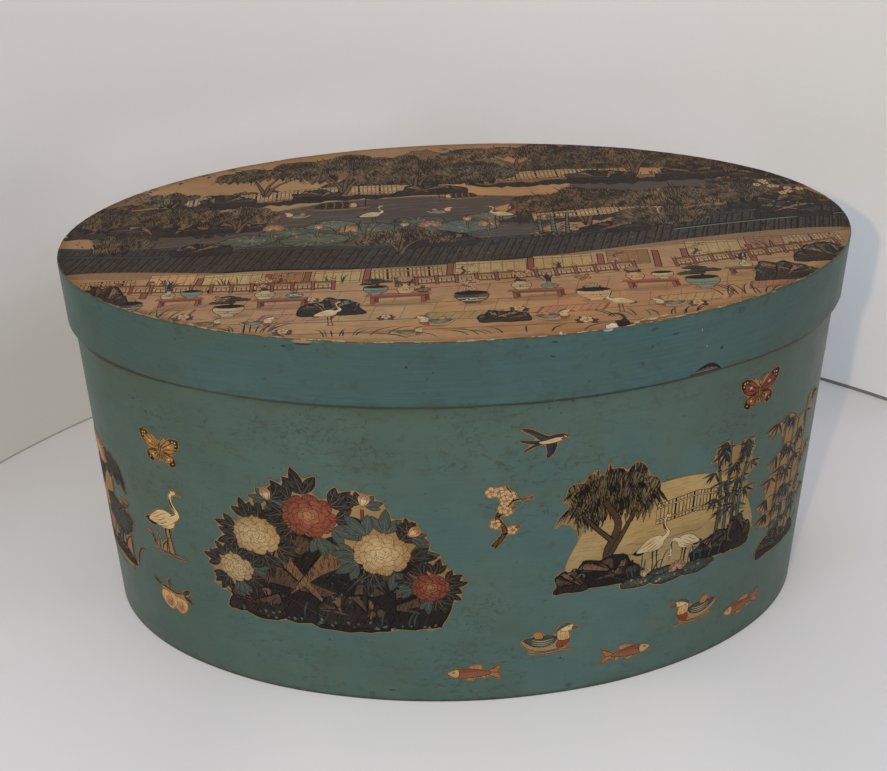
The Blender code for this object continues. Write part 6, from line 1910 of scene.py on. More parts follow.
    # the near shore: a railing, and a terrace set out with vases, trays and tame birds
    terrace = closed([(-205, -44), (-90, -47), (20, -45), (205, -26), (205, -128), (-205, -128)], 60)
    pen.fill(terrace, mixed(TAN, TAN_PALE, 0.30), 0.55, kind=HAIR, ink=mixed(TAN, TAN_DEEP, 0.6), unit=(3.0, 2.0))
    for cx, cy, rx, ry, c in ((-110, -84, 50, 10, ROSE), (-20, -92, 46, 10, STRAW), (74, -84, 48, 11, ROSE), (140, -66, 36, 9, STRAW), (-60, -112, 60, 7, OCHRE), (60, -112, 56, 7, TAN_DEEP)):
        pen.fill(lobed(cx, cy, rx, ry, 6, 0.06, 3, 32, cy), c, 0.30, kind=None)
    for y0, y1 in ((-70, -62), (-86, -82), (-101, -99), (-112, -112)):
        pen.line(curve([(-180, y0 + 6), (-90, y0), (0, y0 - 1), (90, y1), (180, y1 + 8)], 30), (0.35, 0.8, 0.6, 0.35), BROWN, 0.9)
    for x in range(-168, 180, 14):
        top, low_ = -70 + 0.02 * x, -86 + 0.02 * x
        pen.line([(x, top), (x - 5, low_)], (0.4, 0.4), BROWN, 0.8)
        pen.line([(x + 7 - 5, low_), (x + 7 - 9, low_ - 15)], (0.4, 0.4), BROWN, 0.7)
    # slatted blinds and folding screens behind the railing
    for x0, x1, y, h in ((-182, -156, -62, 12), (-44, -8, -64, 14), (165, 190, -42, 11)):
        fence(pen, [(x0, y), ((x0 + x1) / 2, y + 0.02 * (x1 - x0)), (x1, y + 0.04 * (x1 - x0))], h, rng, 2.0, pale=mixed(TAN_PALE, STRAW, 0.5))
    # pale hangings between posts
    for x0, x1, y, h, c in ((-150, -128, -60, 15, TAN_PALE), (-124, -96, -62, 15, mixed(STRAW, CREAM, 0.2)), (-90, -76, -63, 15, mixed(BRICK, TAN, 0.55)), (-70, -48, -63, 15, STRAW), (-2, 32, -62, 17, mixed(STRAW, CREAM, 0.1)), (36, 64, -60, 18, mixed(STRAW, OCHRE, 0.3)), (72, 92, -56, 16, TAN_DEEP), (112, 138, -50, 17, STRAW), (142, 160, -46, 15, mixed(BRICK, TAN, 0.6))):
        panel = [(x0, y), (x1, y + 0.03 * (x1 - x0)), (x1 + 1.5, y + h), (x0 + 1.5, y + h)]
        pen.inked(panel, c, 0.45, kind=HAIR, ink=mixed(c, BROWN, 0.45), grain=90, unit=(1.5, 1.4))
        for t in np.linspace(0, 1, 3 + int((x1 - x0) / 7))[1:-1]:
            a = np.array([x0 + (x1 - x0) * t, y + 0.03 * (x1 - x0) * t])
            pen.line([a, a + (1.5, h)], (0.5, 0.5), mixed(c, BROWN, 0.7))
        for t in (0.16, 0.84):
            pen.line([(x0 + 1.5 * t, y + h * t), (x1 + 1.5 * t, y + 0.03 * (x1 - x0) + h * t)], (0.6, 0.6), mixed(BRICK, BROWN, 0.5))
        if rng.random() < 0.5:
            plum_branch(pen.at(x0 + 2, y + 2), [(0, 0), (3, 5), (2, 9), (8, 13)], rng, w=0.8, flowers=3, r=1.3, twigs=3)
        else:
            reeds(pen.at((x0 + x1) / 2, y + 1), 7, 12, 8, rng, w=0.7)
    for x in (-166, -150, -126, -93, -74, -45, -5, 34, 68, 95, 109, 141, 163):
        y = -64 + 0.040 * x
        pen.line([(x, y), (x + 2, y + 19)], (3.6, 3.4), INK)
        pen.line([(x, y + 0.5), (x + 2, y + 18.5)], (2.7, 2.5), mixed(BRICK, BROWN, 0.25))
    railing(pen, [(-176, -62), (-110, -67), (-60, -68)], 9, rng)
    railing(pen, [(-30, -68), (30, -66), (84, -61)], 9, rng)
    railing(pen, [(104, -60), (150, -52), (186, -44)], 9, rng)
    for x, y, w, h, c, turn_ in ((-140, -88, 30, 7, mixed(STRAW, TAN, 0.5), 3), (-76, -96, 34, 7, mixed(ROSE, TAN, 0.5), 1), (-2, -101, 34, 7, mixed(STRAW, OLIVE, 0.3), 0), (48, -99, 30, 6, mixed(ROSE, TAN, 0.4), 2), (104, -93, 34, 7, mixed(STRAW, TAN, 0.4), 5), (146, -82, 28, 7, mixed(BRICK, TAN, 0.6), 8)):
        mat_ = pen.at(x, y, 1, turn_)
        mat_.inked([(-w / 2 - 2, -h / 2), (w / 2 - 2, -h / 2), (w / 2 + 2, h / 2), (-w / 2 + 2, h / 2)], c, 0.4, kind=HAIR, ink=mixed(c, BROWN, 0.6), grain=0, unit=(1.2, 1.0))
        for t in np.linspace(-0.5, 0.5, 9)[1:-1]:
            mat_.line([(w * t - 2, -h / 2), (w * t + 2, h / 2)], (0.3, 0.3), BROWN, 0.85)
        for t in (-0.5, 0.5):
            mat_.line([(w * t - 2, -h / 2), (w * t + 2, h / 2)], (1.4, 1.4), mixed(BRICK, BROWN, 0.4))
    for _ in range(90):
        x = rng.uniform(-180, 180)
        y = -66 - (1 - (x / 200) ** 2) * rng.uniform(0.0, 54.0) + abs(x) * 0.04
        n = rng.uniform(4, 12)
        pen.line(curve([(x, y), (x + n * 0.5, y + rng.normal(0, 0.5)), (x + n, y + rng.normal(0, 0.9))], 6), (0.15, 0.5, 0.15), BROWN, 0.8)
    # tables and vases
    for x, y, w, h, tone in ((-132, -80, 22, 9, BRICK), (-84, -85, 26, 9, mixed(BRICK, BROWN, 0.5)), (-30, -86, 30, 10, BRICK), (34, -87, 26, 9, mixed(BRICK, BROWN, 0.5)), (88, -82, 26, 9, BRICK), (136, -72, 22, 8, BROWN)):
        pen.fill(oval(x + 2, y, w * 0.62, 3.4, 2, 16), mixed(TAN_DEEP, BROWN, 0.5), 0.55, kind=None)
        stand_for(pen.at(x, y), w, h, tone)
    for x, y, h, k, tone, ink, plant in ((-138, -71, 9, 0, mixed(CREAM, TAN, 0.4), BLUE, 3), (-127, -71, 7, 3, TEAL_PALE, TEAL, 0), (-92, -76, 10, 1, mixed(CREAM, STRAW, 0.5), TEAL, 1), (-78, -76, 8, 2, BLUE, CREAM, 0),
                                         (-40, -76, 8, 3, TEAL_PALE, BLUE, 4), (-26, -76, 11, 0, mixed(CREAM, TAN, 0.5), BRICK, 2), (-18, -76, 7, 2, CHAR, TAN, 0), (28, -78, 10, 1, mixed(CREAM, TAN, 0.4), BLUE, 1), (41, -78, 8, 2, TEAL_PALE, BROWN, 3),
                                         (82, -73, 9, 1, mixed(OCHRE, CREAM, 0.4), BRICK, 2), (95, -73, 7, 3, mixed(CREAM, STRAW, 0.5), BLUE, 0), (136, -64, 8, 0, mixed(CREAM, TAN, 0.4), TEAL, 3)):
        vase(pen.at(x, y), h, rng, k, tone, ink, plant)
    # pots standing on the ground, rocks, and birds
    for x, y, h, k, tone, ink, plant in ((-156, -84, 10, 3, mixed(SLATE, TEAL, 0.3), CREAM, 2), (-108, -92, 10, 3, mixed(CREAM, TAN, 0.4), BLUE, 4), (4, -90, 11, 3, mixed(SLATE, CHAR, 0.4), CREAM, 1), (60, -92, 11, 3, mixed(CREAM, TAN, 0.4), BRICK, 2), (112, -84, 11, 3, TEAL_PALE, BLUE, 4)):
        pen.fill(oval(x + 2, y, 9, 2.6, 2, 14), mixed(TAN_DEEP, BROWN, 0.5), 0.55, kind=None)
        vase(pen.at(x, y), h, rng, k, tone, ink, plant)
    for x, y, w, h in ((-172, -74, 28, 18), (-60, -94, 28, 15), (152, -78, 34, 18), (176, -60, 28, 18), (16, -108, 22, 9)):
        rock(pen.at(x, y), w, h, rng, tone=CHAR if rng.random() < 0.5 else CHAR_WARM, pale=mixed(TAN, SLATE, 0.3))
    crane(pen.at(-62, -105), 24, rng)
    crane(pen.at(70, -105), 23, rng, flip=True)
    for x, y, s, f, d in ((-94, -101, 17, False, True), (-116, -99, 14, False, False), (-14, -107, 18, True, True), (38, -107, 18, False, True), (92, -99, 16, True, True), (-26, -116, 14, False, False)):
        duck(pen.at(x, y), s, rng, f, d)
    for x, y, n, h, s in ((-150, -93, 12, 12, 26), (-100, -109, 12, 10, 34), (-60, -116, 10, 8, 40), (26, -120, 14, 8, 60), (86, -109, 12, 10, 40), (132, -93, 12, 13, 26)):
        reeds(pen.at(x, y), n, h, s, rng, w=0.8)
    for x, y, w in ((-128, -93, 11), (-82, -111, 10), (-36, -101, 9), (24, -99, 10), (52, -113, 12), (104, -101, 10), (-70, -80, 8)):
        for a in fan(rng, 20, 160, 5, 0.3):
            peony_leaf(pen.at(x, y), w * 0.42, a, rng)
        blossom(pen.at(x, y + w * 0.22), w * 0.24, rng, tint=blush)
    for x, y, t in ((-112, -74, -14), (58, -68, 24)):
        butterfly(pen.at(x, y), 8, rng, t, mixed(BRICK, OCHRE, 0.4))


# ------------------------------------------------------------------ the cut-out pictures
def cut_peony_rock(pen, rng):
    stems = (((-6, -20), (-44, 8)), ((-4, -10), (-10, 32)), ((10, -14), (34, 6)), ((30, -30), (60, -20)), ((-20, -30), (-60, -18)), ((-2, 6), (-34, 34)), ((14, 4), (22, 38)))
    rock(pen.at(36, -46), 66, 44, rng, tone=CHAR)
    for a, b in stems:
        stem(pen, a, b, rng.normal(0, 3), 1.6, colour=BROWN)
    rock(pen.at(-10, -48), 92, 70, rng, tone=CHAR, lean=-0.06)
    rock(pen.at(-50, -49), 36, 26, rng)
    rock(pen.at(14, -49), 44, 24, rng)
    heads = ((-44, 10, 16), (-10, 30, 18), (32, 6, 18), (60, -18, 12), (-60, -18, 12))
    for x, y, r in heads:
        for a in fan(rng, 0, 330, 9, 0.3):
            c, s = math.cos(math.radians(a)), math.sin(math.radians(a))
            peony_leaf(pen.at(x + c * r * 0.72, y + s * r * 0.66), r * rng.uniform(0.85, 1.1), a, rng)
    for x, y, r in heads:
        if x in (-10, 60):
            peony(pen.at(x, y), r, rng, outer=mixed(BRICK_DEEP, BRICK, 0.5), inner=BRICK, heart=mixed(ROSE, OCHRE, 0.4), line=(0.050, 0.018, 0.014))
        else:
            peony(pen.at(x, y), r, rng)
    for x, y, a in ((-34, 38, 110), (22, 40, 75), (48, 20, 40)):
        peony_leaf(pen.at(x, y), 11, a + 60, rng)
        peony_leaf(pen.at(x, y), 11, a - 60, rng)
        lotus_bud(pen.at(x, y), 7, rng, a - 90)
    reeds(pen.at(-30, -49), 14, 22, 60, rng, w=1.1)
    reeds(pen.at(34, -48), 14, 18, 60, rng, w=1.1)
    dots(pen, [(rng.uniform(-60, 64), rng.uniform(-52, -46)) for _ in range(34)], rng, 1.1, TEAL, edge=True)


def cut_waterside(pen, rng):
    # pale ground between the trees, with a fence across it
    pen.fill(closed([(-52, -30), (-50, -6), (-34, 14), (-6, 22), (22, 20), (44, 8), (56, -10), (57, -32), (0, -38)], 60), mixed(STRAW, CREAM, 0.12), kind=HAIR, ink=mixed(STRAW, BROWN, 0.45), unit=(2.0, 1.4))
    pen.fill(closed([(-44, -20), (-10, -10), (24, -12), (54, -24), (54, -32), (-46, -32)], 40), mixed(STRAW, TAN_DEEP, 0.35), 0.6, kind=RIPPLE, ink=mixed(SLATE, STRAW, 0.3))
    fence(pen, [(-6, -4), (18, -2), (36, -6), (54, -14)], 13, rng, 2.2, pale=mixed(STRAW, CREAM, 0.25))
    willow(pen.at(-30, 16), 58, 46, rng, strokes=120, under=STRAW, trunk=False)
    for pts, w in (([(-30, -34), (-33, -16), (-28, 2), (-36, 18)], 5.0), ([(-32, -18), (-24, -2), (-18, 12)], 2.6), ([(-31, -8), (-42, 4), (-48, 12)], 2.2)):
        path = curve(pts, 16)
        pen.line(path, (w + 1.2, w * 0.8 + 1.0, w * 0.5 + 0.6), INK)
        pen.fill(ribbon(path, (w, w * 0.8, w * 0.5)), BROWN, kind=SCALES, ink=INK, unit=1.3)
    willow(pen.at(-36, 26), 44, 26, rng, strokes=70, clumps=8, under=STRAW, trunk=False)
    for k, x in enumerate((33, 39, 45, 50)):
        path = curve([(x, -34), (x + 1 - k, 0), (x - 4 + 2.4 * k, 36 - 3 * abs(k - 1))], 24)
        pen.line(path, (2.9, 2.3, 1.4), INK)
        pen.line(path, (1.8, 1.4, 0.7), TEAL if k % 2 else OLIVE)
        for i in (9, 12, 15, 18, 21, 23):
            side = 1 if (i + k) % 2 else -1
            bamboo_leaves(pen.at(path[i, 0] + side * 3.0, path[i, 1]), 5, 9.5, rng, down=-90 + side * 30)
            if i in (12, 18):
                pen.fill(oval(path[i, 0], path[i, 1], 1.6, 0.5, 0, 8), INK)
    rock(pen.at(-34, -36), 50, 17, rng, tone=CHAR)
    rock(pen.at(38, -37), 40, 15, rng, tone=CHAR)
    rock(pen.at(50, -38), 20, 20, rng)
    rock(pen.at(-52, -37), 18, 13, rng)
    crane(pen.at(-6, -35), 37, rng)
    crane(pen.at(14, -37), 33, rng, flip=True, bowed=True)
    reeds(pen.at(-16, -38), 12, 17, 20, rng, w=1.0)
    reeds(pen.at(24, -38), 12, 15, 22, rng, w=1.0)
    for x, y, w in ((2, -38, 22), (-14, -40, 20), (22, -41, 24), (4, -42, 20)):
        lotus_leaf(pen.at(x, y), w, w * 0.34, rng, tone=mixed(CHAR, TEAL, 0.3))
    lotus_flower(pen.at(10, -38), 5.5, rng, tint=mixed(BRICK, TAN_DEEP, 0.3))
    lotus_bud(pen.at(-10, -38), 4.5, rng, 8)


def cut_bamboo(pen, rng):
    bamboo(pen.at(0, -54), 58, 114, rng, culms=4)


def cut_lotus(pen, rng):
    for a, b in (((-6, -44), (-18, 16)), ((4, -44), (24, 26)), ((2, -44), (2, 36)), ((8, -44), (26, -10)), ((-10, -44), (-28, -14)), ((0, -44), (-32, 34)), ((12, -42), (36, 2))):
        stem(pen, a, b, rng.normal(0, 4), 1.7)
    reeds(pen.at(-22, -44), 10, 44, 22, rng)
    reeds(pen.at(26, -44), 10, 36, 22, rng)
    rock(pen.at(-16, -46), 44, 16, rng)
    rock(pen.at(22, -47), 34, 12, rng)
    lotus_leaf(pen.at(-18, 14), 50, 34, rng)
    lotus_leaf(pen.at(24, -10), 42, 28, rng, tone=mixed(CHAR, SLATE, 0.5))
    lotus_leaf(pen.at(-26, -20), 34, 22, rng)
    lotus_side(pen.at(24, 24), 38, 22, rng)
    lotus_flower(pen.at(2, 30), 17, rng)
    lotus_flower(pen.at(-4, -12), 12, rng, tint=ROSE)
    lotus_bud(pen.at(-34, 32), 10, rng, 8)
    lotus_pod(pen.at(38, 2), 5.5, rng)
    for x0, x1, y in ((-38, 6, -51), (-10, 36, -53), (-28, 26, -55)):
        pen.line(curve([(x0, y), (x0 * 0.6 + x1 * 0.4, y + 1.2), (x0 * 0.3 + x1 * 0.7, y - 0.8), (x1, y + 0.3)], 16), (0.5, 1.5, 1.2, 0.5), SLATE)


def cut_pine(pen, rng):
    rock(pen.at(-16, -48), 70, 24, rng)
    rock(pen.at(26, -49), 50, 16, rng, tone=CHAR)
    pine(pen.at(-6, -46), 112, 92, rng, side=1, boughs=10)
    rock(pen.at(-34, -49), 36, 15, rng)
    reeds(pen.at(0, -48), 18, 14, 80, rng, w=1.1)


def cut_chrysanthemums(pen, rng):
    rock(pen.at(-8, -44), 62, 42, rng, tone=CHAR, lean=0.05)
    rock(pen.at(24, -45), 38, 22, rng)
    heads = ((-24, 14, 14), (6, 26, 16), (28, 4, 13), (-30, -12, 10), (2, -6, 12))
    for x, y, r in heads:
        stem(pen, (x * 0.3, -30), (x, y), rng.normal(0, 3), 1.5)
    for _ in range(26):
        x, y, r = heads[rng.integers(0, 5)]
        a = rng.uniform(0, 360)
        c, s = math.cos(math.radians(a)), math.sin(math.radians(a))
        chrysanthemum_leaf(pen.at(x + c * r * 0.75, y + s * r * 0.75 - 2), rng.uniform(9, 12), a, rng)
    for k, (x, y, r) in enumerate(heads):
        chrysanthemum(pen.at(x, y), r, rng, pale=CREAM if k % 2 else ROSE, deep=OCHRE if k % 2 else BRICK, line=BROWN if k % 2 else BRICK_DEEP)
    reeds(pen.at(0, -45), 18, 18, 76, rng, w=1.1)


def cut_plum(pen, rng):
    plum_branch(pen, [(-5, -19), (1, -10), (-3, 0), (4, 9), (1, 19)], rng, w=2.3, flowers=9, r=3.0, twigs=6)


def cut_swallow(pen, rng):
    swallow(pen, 30, rng, rng.uniform(-8, 8))


def cut_butterfly(pen, rng):
    butterfly(pen, 27, rng, 0, BRICK if rng.random() < 0.6 else OCHRE)


def cut_crane(pen, rng):
    crane(pen, 46, rng)
    reeds(pen.at(-7, 0), 6, 13, 7, rng, w=1.0)
    pen.line(curve([(-12, -1.5), (-3, -0.6), (6, -1.8), (12, -1.0)], 12), (0.6, 1.8, 1.4, 0.5), BROWN)


def cut_duck(pen, rng):
    duck(pen, 32, rng)


def cut_fish(pen, rng):
    fish(pen, 30, rng)


def cut_peach(pen, rng):
    peach(pen, 29, rng)


def cut_gourd(pen, rng):
    gourd(pen, 33.5, rng)


# name: (s mm, z mm, width mm, height mm, drawing, mirrored)
CUTOUTS = {
    "peony_rock": (-70, 95, 152, 100, cut_peony_rock, False),
    "waterside": (98.5, 101, 118, 88, cut_waterside, False),
    "bamboo": (186, 92, 60, 119, cut_bamboo, False),
    "lotus": (-226, 80, 88, 106, cut_lotus, False),
    "pine": (396, 96, 118, 100, cut_pine, False),
    "chrysanthemum": (-392, 86, 92, 91, cut_chrysanthemums, False),
    "swallow_1": (34, 158, 30, 18, cut_swallow, False),
    "swallow_2": (240, 146, 30, 18, cut_swallow, True),
    "swallow_3": (-330, 150, 30, 18, cut_swallow, False),
    "butterfly_1": (148, 160, 27, 18.5, cut_butterfly, False),
    "butterfly_2": (-158, 138, 27, 18.5, cut_butterfly, False),
    "butterfly_3": (316, 150, 27, 18.5, cut_butterfly, True),
    "crane_1": (-164, 92, 34, 46, cut_crane, False),
    "crane_2": (302, 92, 34, 46, cut_crane, True),
    "duck_1": (40, 38, 32, 20, cut_duck, False),
    "duck_2": (122, 36, 32, 20, cut_duck, True),
    "duck_3": (302, 30, 32, 20, cut_duck, False),
    "fish_1": (82, 20, 30, 12, cut_fish, False),
    "fish_2": (158, 22, 30, 12, cut_fish, True),
    "fish_3": (2, 20, 30, 12, cut_fish, True),
    "fish_4": (-306, 34, 30, 12, cut_fish, False),
    "plum_sprig_1": (18, 118, 24, 40, cut_plum, False),
    "plum_sprig_2": (-302, 108, 24, 40, cut_plum, True),
    "peach_1": (-165, 42, 29, 24, cut_peach, False),
    "peach_2": (-456, 130, 29, 24, cut_peach, True),
    "gourd_1": (247, 40, 19, 33.5, cut_gourd, False),
    "gourd_2": (-456, 40, 19, 33.5, cut_gourd, True),
}


def drawn_bounds(shapes):
    solid = [s[0] for s in shapes if s[6]]
    return np.min([p.min(0) for p in solid], 0), np.max([p.max(0) for p in solid], 0)


def on_wall(s0, z0):
    def to_world(pts, raised):
        s, z = s0 + pts[:, 0] / 1000, z0 + pts[:, 1] / 1000
        lift = 0.00003 + 0.00017 * raised
        if raised:  # slightly cockled
            lift = lift + 0.00003 * np.sin(pts[:, 0] * 0.31 + pts[:, 1] * 0.17) * np.sin(pts[:, 1] * 0.23 - pts[:, 0] * 0.08)
        return np.column_stack([on_oval(s, waver(s, z) + lift), z])

    return to_world


def crossings(lo, hi, gap):
    xs = np.arange(math.ceil(lo[0] / gap) * gap, hi[0], gap)
    return [((x, lo[1] - 1.0), (x, hi[1] + 1.0)) for x in xs]


for count, (name, (s_mm, z_mm, wide, tall, draw, mirror)) in enumerate(CUTOUTS.items()):
    margin = 0.42 if wide > 50 else 0.34
    trial = []
    draw(Pen(trial).at(0, 0, 1, 0, mirror), np.random.default_rng(100 + count))
    lo, hi = drawn_bounds(trial)
    size = min((wide - 2.2 * margin) / (hi[0] - lo[0]), (tall - 2.2 * margin) / (hi[1] - lo[1]))
    shapes = []
    mid = (lo + hi) / 2 * size
    draw(Pen(shapes).at(-mid[0], -mid[1], size, 0, mirror), np.random.default_rng(100 + count))
    ring = silhouette(shapes, margin, 0.08, 300 + count, cell=0.25 if wide > 50 else 0.2, skip=1.3 if wide > 50 else 0.8)
    lo, hi = ring.min(0), ring.max(0)
    lines = crossings(lo, hi, 3.0)
    picture = settle(shapes, ring, mixed(STRAW, TAN_DEEP, 0.55), lines)
    ob = paper_mesh("picture_" + name, picture, on_wall(s_mm / 1000, z_mm / 1000), lines, CUT_PAPER)
    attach(ob, "box")
    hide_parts("cutout_" + name)


# ------------------------------------------------------------------ the lid's paper
def lid_edge():
    """The paper's own edge: trimmed by hand just inside the lid's."""
    s = np.linspace(0, ROUND, 1100, endpoint=False)
    back_by = 0.00045 + 0.00022 * smooth_noise(s * 60, 12, 79, 79) + 0.00010 * smooth_noise(s * 420, 13, 541, 541)
    return on_oval(s, LID_OUT - back_by) * 1000


def at_edge(angle, inward):
    """A point near the lid's edge, in mm: at an angle on the oval, so far in from the outside."""
    return on_oval(np.array([s_of_angle(math.radians(angle))]), LID_OUT - inward / 1000)[0] * 1000


def lid_damage(pen):
    rng = np.random.default_rng(77)
    white = (0.70, 0.66, 0.58)
    # the filler shows white where the edge was knocked, with a dark tear beside it
    cx, cy = at_edge(-71.9, 2.2)
    pen.fill(closed([(cx - 3.3, cy - 2.2), (cx - 3.2, cy + 0.6), (cx - 1.6, cy + 1.4), (cx + 0.2, cy + 2.9), (cx + 1.6, cy + 2.0), (cx + 2.6, cy + 1.9), (cx + 2.6, cy - 2.0), (cx, cy - 2.6)], 30), BROWN)
    pen.fill(closed([(cx - 3.0, cy - 2.8), (cx - 2.9, cy + 0.3), (cx - 1.5, cy + 1.0), (cx - 0.1, cy + 2.4), (cx + 1.4, cy + 1.6), (cx + 2.3, cy + 1.6), (cx + 2.4, cy - 2.2), (cx, cy - 3.2)], 30), white)
    bx, by = at_edge(-70.35, 2.6)
    pen.fill(closed([(bx - 2.8, by - 2.6), (bx - 3.0, by + 0.8), (bx - 3.2, by + 3.2), (bx - 0.8, by + 3.4), (bx + 1.2, by + 5.6), (bx + 2.6, by + 3.0), (bx + 3.0, by + 0.4), (bx + 2.9, by - 1.6), (bx + 0.6, by - 3.0)], 34), (0.018, 0.013, 0.010))
    pen.line(curve([(bx - 5.6, by + 7.4), (bx - 3.4, by + 9.6), (bx + 0.2, by + 9.0), (bx + 1.8, by + 5.0)], 14), (0.3, 1.2, 1.9, 1.6), (0.050, 0.026, 0.014))
    for angle, inward, length, w in ((-68.6, 1.7, 3.2, 2.2), (-66.2, 2.6, 5.6, 2.4), (-64.4, 3.4, 4.2, 1.2), (-67.4, 3.2, 3.0, 0.8)):
        x, y = at_edge(angle, inward)
        pen.line(curve([(x - length / 2, y - 0.5), (x, y + 0.2), (x + length / 2, y + 1.2)], 8), (0.3, w, w * 0.7, 0.2), (0.52, 0.42, 0.27))
    for angle, inward, r, tint in ((-87.4, 0.9, 0.9, white), (-111.4, 1.0, 1.3, (0.42, 0.20, 0.08)), (-100.5, 0.7, 0.8, (0.50, 0.38, 0.22)), (-128.0, 0.8, 1.0, (0.50, 0.38, 0.22)),
                                   (-55.0, 0.7, 0.8, (0.50, 0.38, 0.22)), (-40.0, 0.8, 0.9, (0.46, 0.36, 0.22)), (-78.8, 0.6, 0.7, white), (62.0, 0.8, 1.2, (0.46, 0.36, 0.22)), (118.0, 0.8, 1.0, (0.5, 0.38, 0.22)), (176.0, 0.8, 1.1, (0.46, 0.36, 0.22))):
        x, y = at_edge(angle, inward)
        pen.fill(closed(np.array([(x, y)]) + rng.normal(0, r * 0.55, (5, 2)) + turned(np.array([(r, 0), (r * 0.3, r), (-r * 0.8, r * 0.6), (-r * 0.8, -r * 0.6), (r * 0.3, -r)]), 0), 14), tint)
    # worn cream margin along the front
    for start, end in ((-118, -104), (-101, -93), (-91, -84), (-66, -58)):
        a = np.linspace(start, end, 12)
        path = np.array([at_edge(t, 1.0 + rng.uniform(-0.2, 0.3)) for t in a])
        pen.line(path, (0.2, 0.8, 0.4, 0.9, 0.2), (0.47, 0.36, 0.21), 0.85)


shapes = []
lid_picture(Pen(shapes))
lid_damage(Pen(shapes))
edge = lid_edge()


def on_lid(pts, raised):
    z = LID_TOP + 0.00002 + 0.00030 * raised
    if not raised:
        return np.column_stack([pts / 1000, np.full(len(pts), z)])
    near = np.clip((1 - np.hypot(pts[:, 0] / 203.0, pts[:, 1] / 125.75)) * 18, 0, 1)
    cockle = 0.00007 * np.sin(pts[:, 0] * 0.045 + 0.8 * np.sin(pts[:, 1] * 0.05)) * np.sin(pts[:, 1] * 0.06 + 0.4) * near
    return np.column_stack([pts / 1000, z + cockle])


picture = settle(shapes, edge, TAN)
sheet = paper_mesh("lid_picture", picture, on_lid, [], LID_PAPER)
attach(sheet, "lid")
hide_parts("lid_paper")


# ------------------------------------------------------------------ boards
for node, mat in (("bottom_board", UNDER_WOOD), ("lid_board", BOARD_WOOD)):
    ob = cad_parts[node]
    ob.data.materials.clear()
    ob.data.materials.append(mat)


# ------------------------------------------------------------------ nails and their sprigs
def iron(name, base, light, spots, bright):
    g = Graph(name)
    p = g.place()
    patch = g.step(g.noise(p, 0.9, 4, 0.65), 0.46, 0.60)
    colour = g.mix(patch, base, light)
    rust = g.step(g.noise(g.vmath("ADD", p, (33.0, 8.0, 5.0)), 1.3, 3, 0.6), 0.50, 0.62)
    colour = g.mix(g.math("MULTIPLY", rust, spots), colour, (0.14, 0.058, 0.024))
    rough = g.math("ADD", g.math("MULTIPLY", patch, 0.25), 0.42)
    normal = g.bump(g.noise(p, 1.6, 3, 0.6), 0.00005)
    if bright == 0.0:
        return g.shader(colour, g.math("ADD", rough, 0.08), normal, spec=0.20, coat=0.02, coat_rough=0.3)
    return g.shader(colour, rough, normal, metal=bright, spec=0.5, coat=0.15, coat_rough=0.3)


SPRIG_OVER_RIM = iron("sprig_painted_rim", (0.030, 0.068, 0.064), (0.036, 0.076, 0.069), 0.16, 0.0)
SPRIG_OVER_WALL = iron("sprig_painted_wall", (0.040, 0.078, 0.069), (0.047, 0.084, 0.071), 0.22, 0.0)
TACK = iron("tack_iron", (0.040, 0.038, 0.034), (0.060, 0.080, 0.064), 0.45, 0.2)
for node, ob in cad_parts.items():
    if "_sprig_" in node and not node.startswith("cutout"):
        ob.data.materials.clear()
        ob.data.materials.append(SPRIG_OVER_RIM if node.startswith("lid") else SPRIG_OVER_WALL)
    elif "_tack_" in node:
        ob.data.materials.clear()
        ob.data.materials.append(TACK)

# ------------------------------------------------------------------ the table, the sheet behind it, and the light
def matte(name, level, tint, seed, cooler=None, one_sided=False, zones=()):
    """cooler: how the tint changes to the low right and to the top, as the light on it does: painted light. one_sided:
    nothing shows of it from behind. zones: (axis edges, tint) where the card is painted a little lighter or darker,
    painted light and shade, each edge as (axis, none, full).
    """
    g = Graph(name)
    p = g.vmath("ADD", g.place(), (seed * 100.0, 0.0, 0.0))
    tone = g.math("ADD", g.math("MULTIPLY", g.noise(p, 0.004, 3), 0.03), level - 0.015)
    grain = g.math("MULTIPLY", g.math("SUBTRACT", g.noise(p, 0.5, 2), 0.5), 0.02)
    tone = g.math("ADD", tone, grain)
    colour = g.join(g.math("MULTIPLY", tone, tint[0]), g.math("MULTIPLY", tone, tint[1]), g.math("MULTIPLY", tone, tint[2]))
    if cooler is not None:
        # painted light: bluer and lighter to the low right, lighter high on the left
        x, _, z = g.split(g.place())
        right = g.step(x, 120.0, 290.0)
        up_ = g.step(z, 90.0, 190.0)
        low_right = g.math("MULTIPLY", right, g.math("SUBTRACT", 1.0, up_))
        high_left = g.math("MULTIPLY", g.math("SUBTRACT", 1.0, right), g.step(z, 110.0, 270.0))
        colour = g.mix(low_right, colour, g.mix(1.0, colour, cooler[0], "MULTIPLY"))
        colour = g.mix(high_left, colour, g.mix(1.0, colour, cooler[1], "MULTIPLY"))
    where = g.split(g.place())
    # painted light and shade: each zone a little lighter or darker
    for edges, change in zones:
        share = 1.0
        for axis, none, full in edges:
            share = g.math("MULTIPLY", share, g.step(where[axis], none, full))
        colour = g.mix(share, colour, g.mix(1.0, colour, change, "MULTIPLY"))
    mat = g.shader(colour, 0.85, spec=0.2)
    if one_sided:
        front = g.out.inputs["Surface"].links[0].from_socket
        both = g.node("ShaderNodeMixShader", {0: g.node("ShaderNodeNewGeometry").outputs["Backfacing"]})
        g.tree.links.new(front, both.inputs[1])
        g.tree.links.new(g.node("ShaderNodeBsdfTransparent").outputs[0], both.inputs[2])
        g.tree.links.new(both.outputs[0], g.out.inputs["Surface"])
    return mat


def stand(name, verts, faces, mat):
    me = bpy.data.meshes.new(name)
    me.from_pydata(verts, [], faces)
    me.materials.append(mat)
    ob = bpy.data.objects.new(name, me)
    scene.collection.objects.link(ob)
    return ob


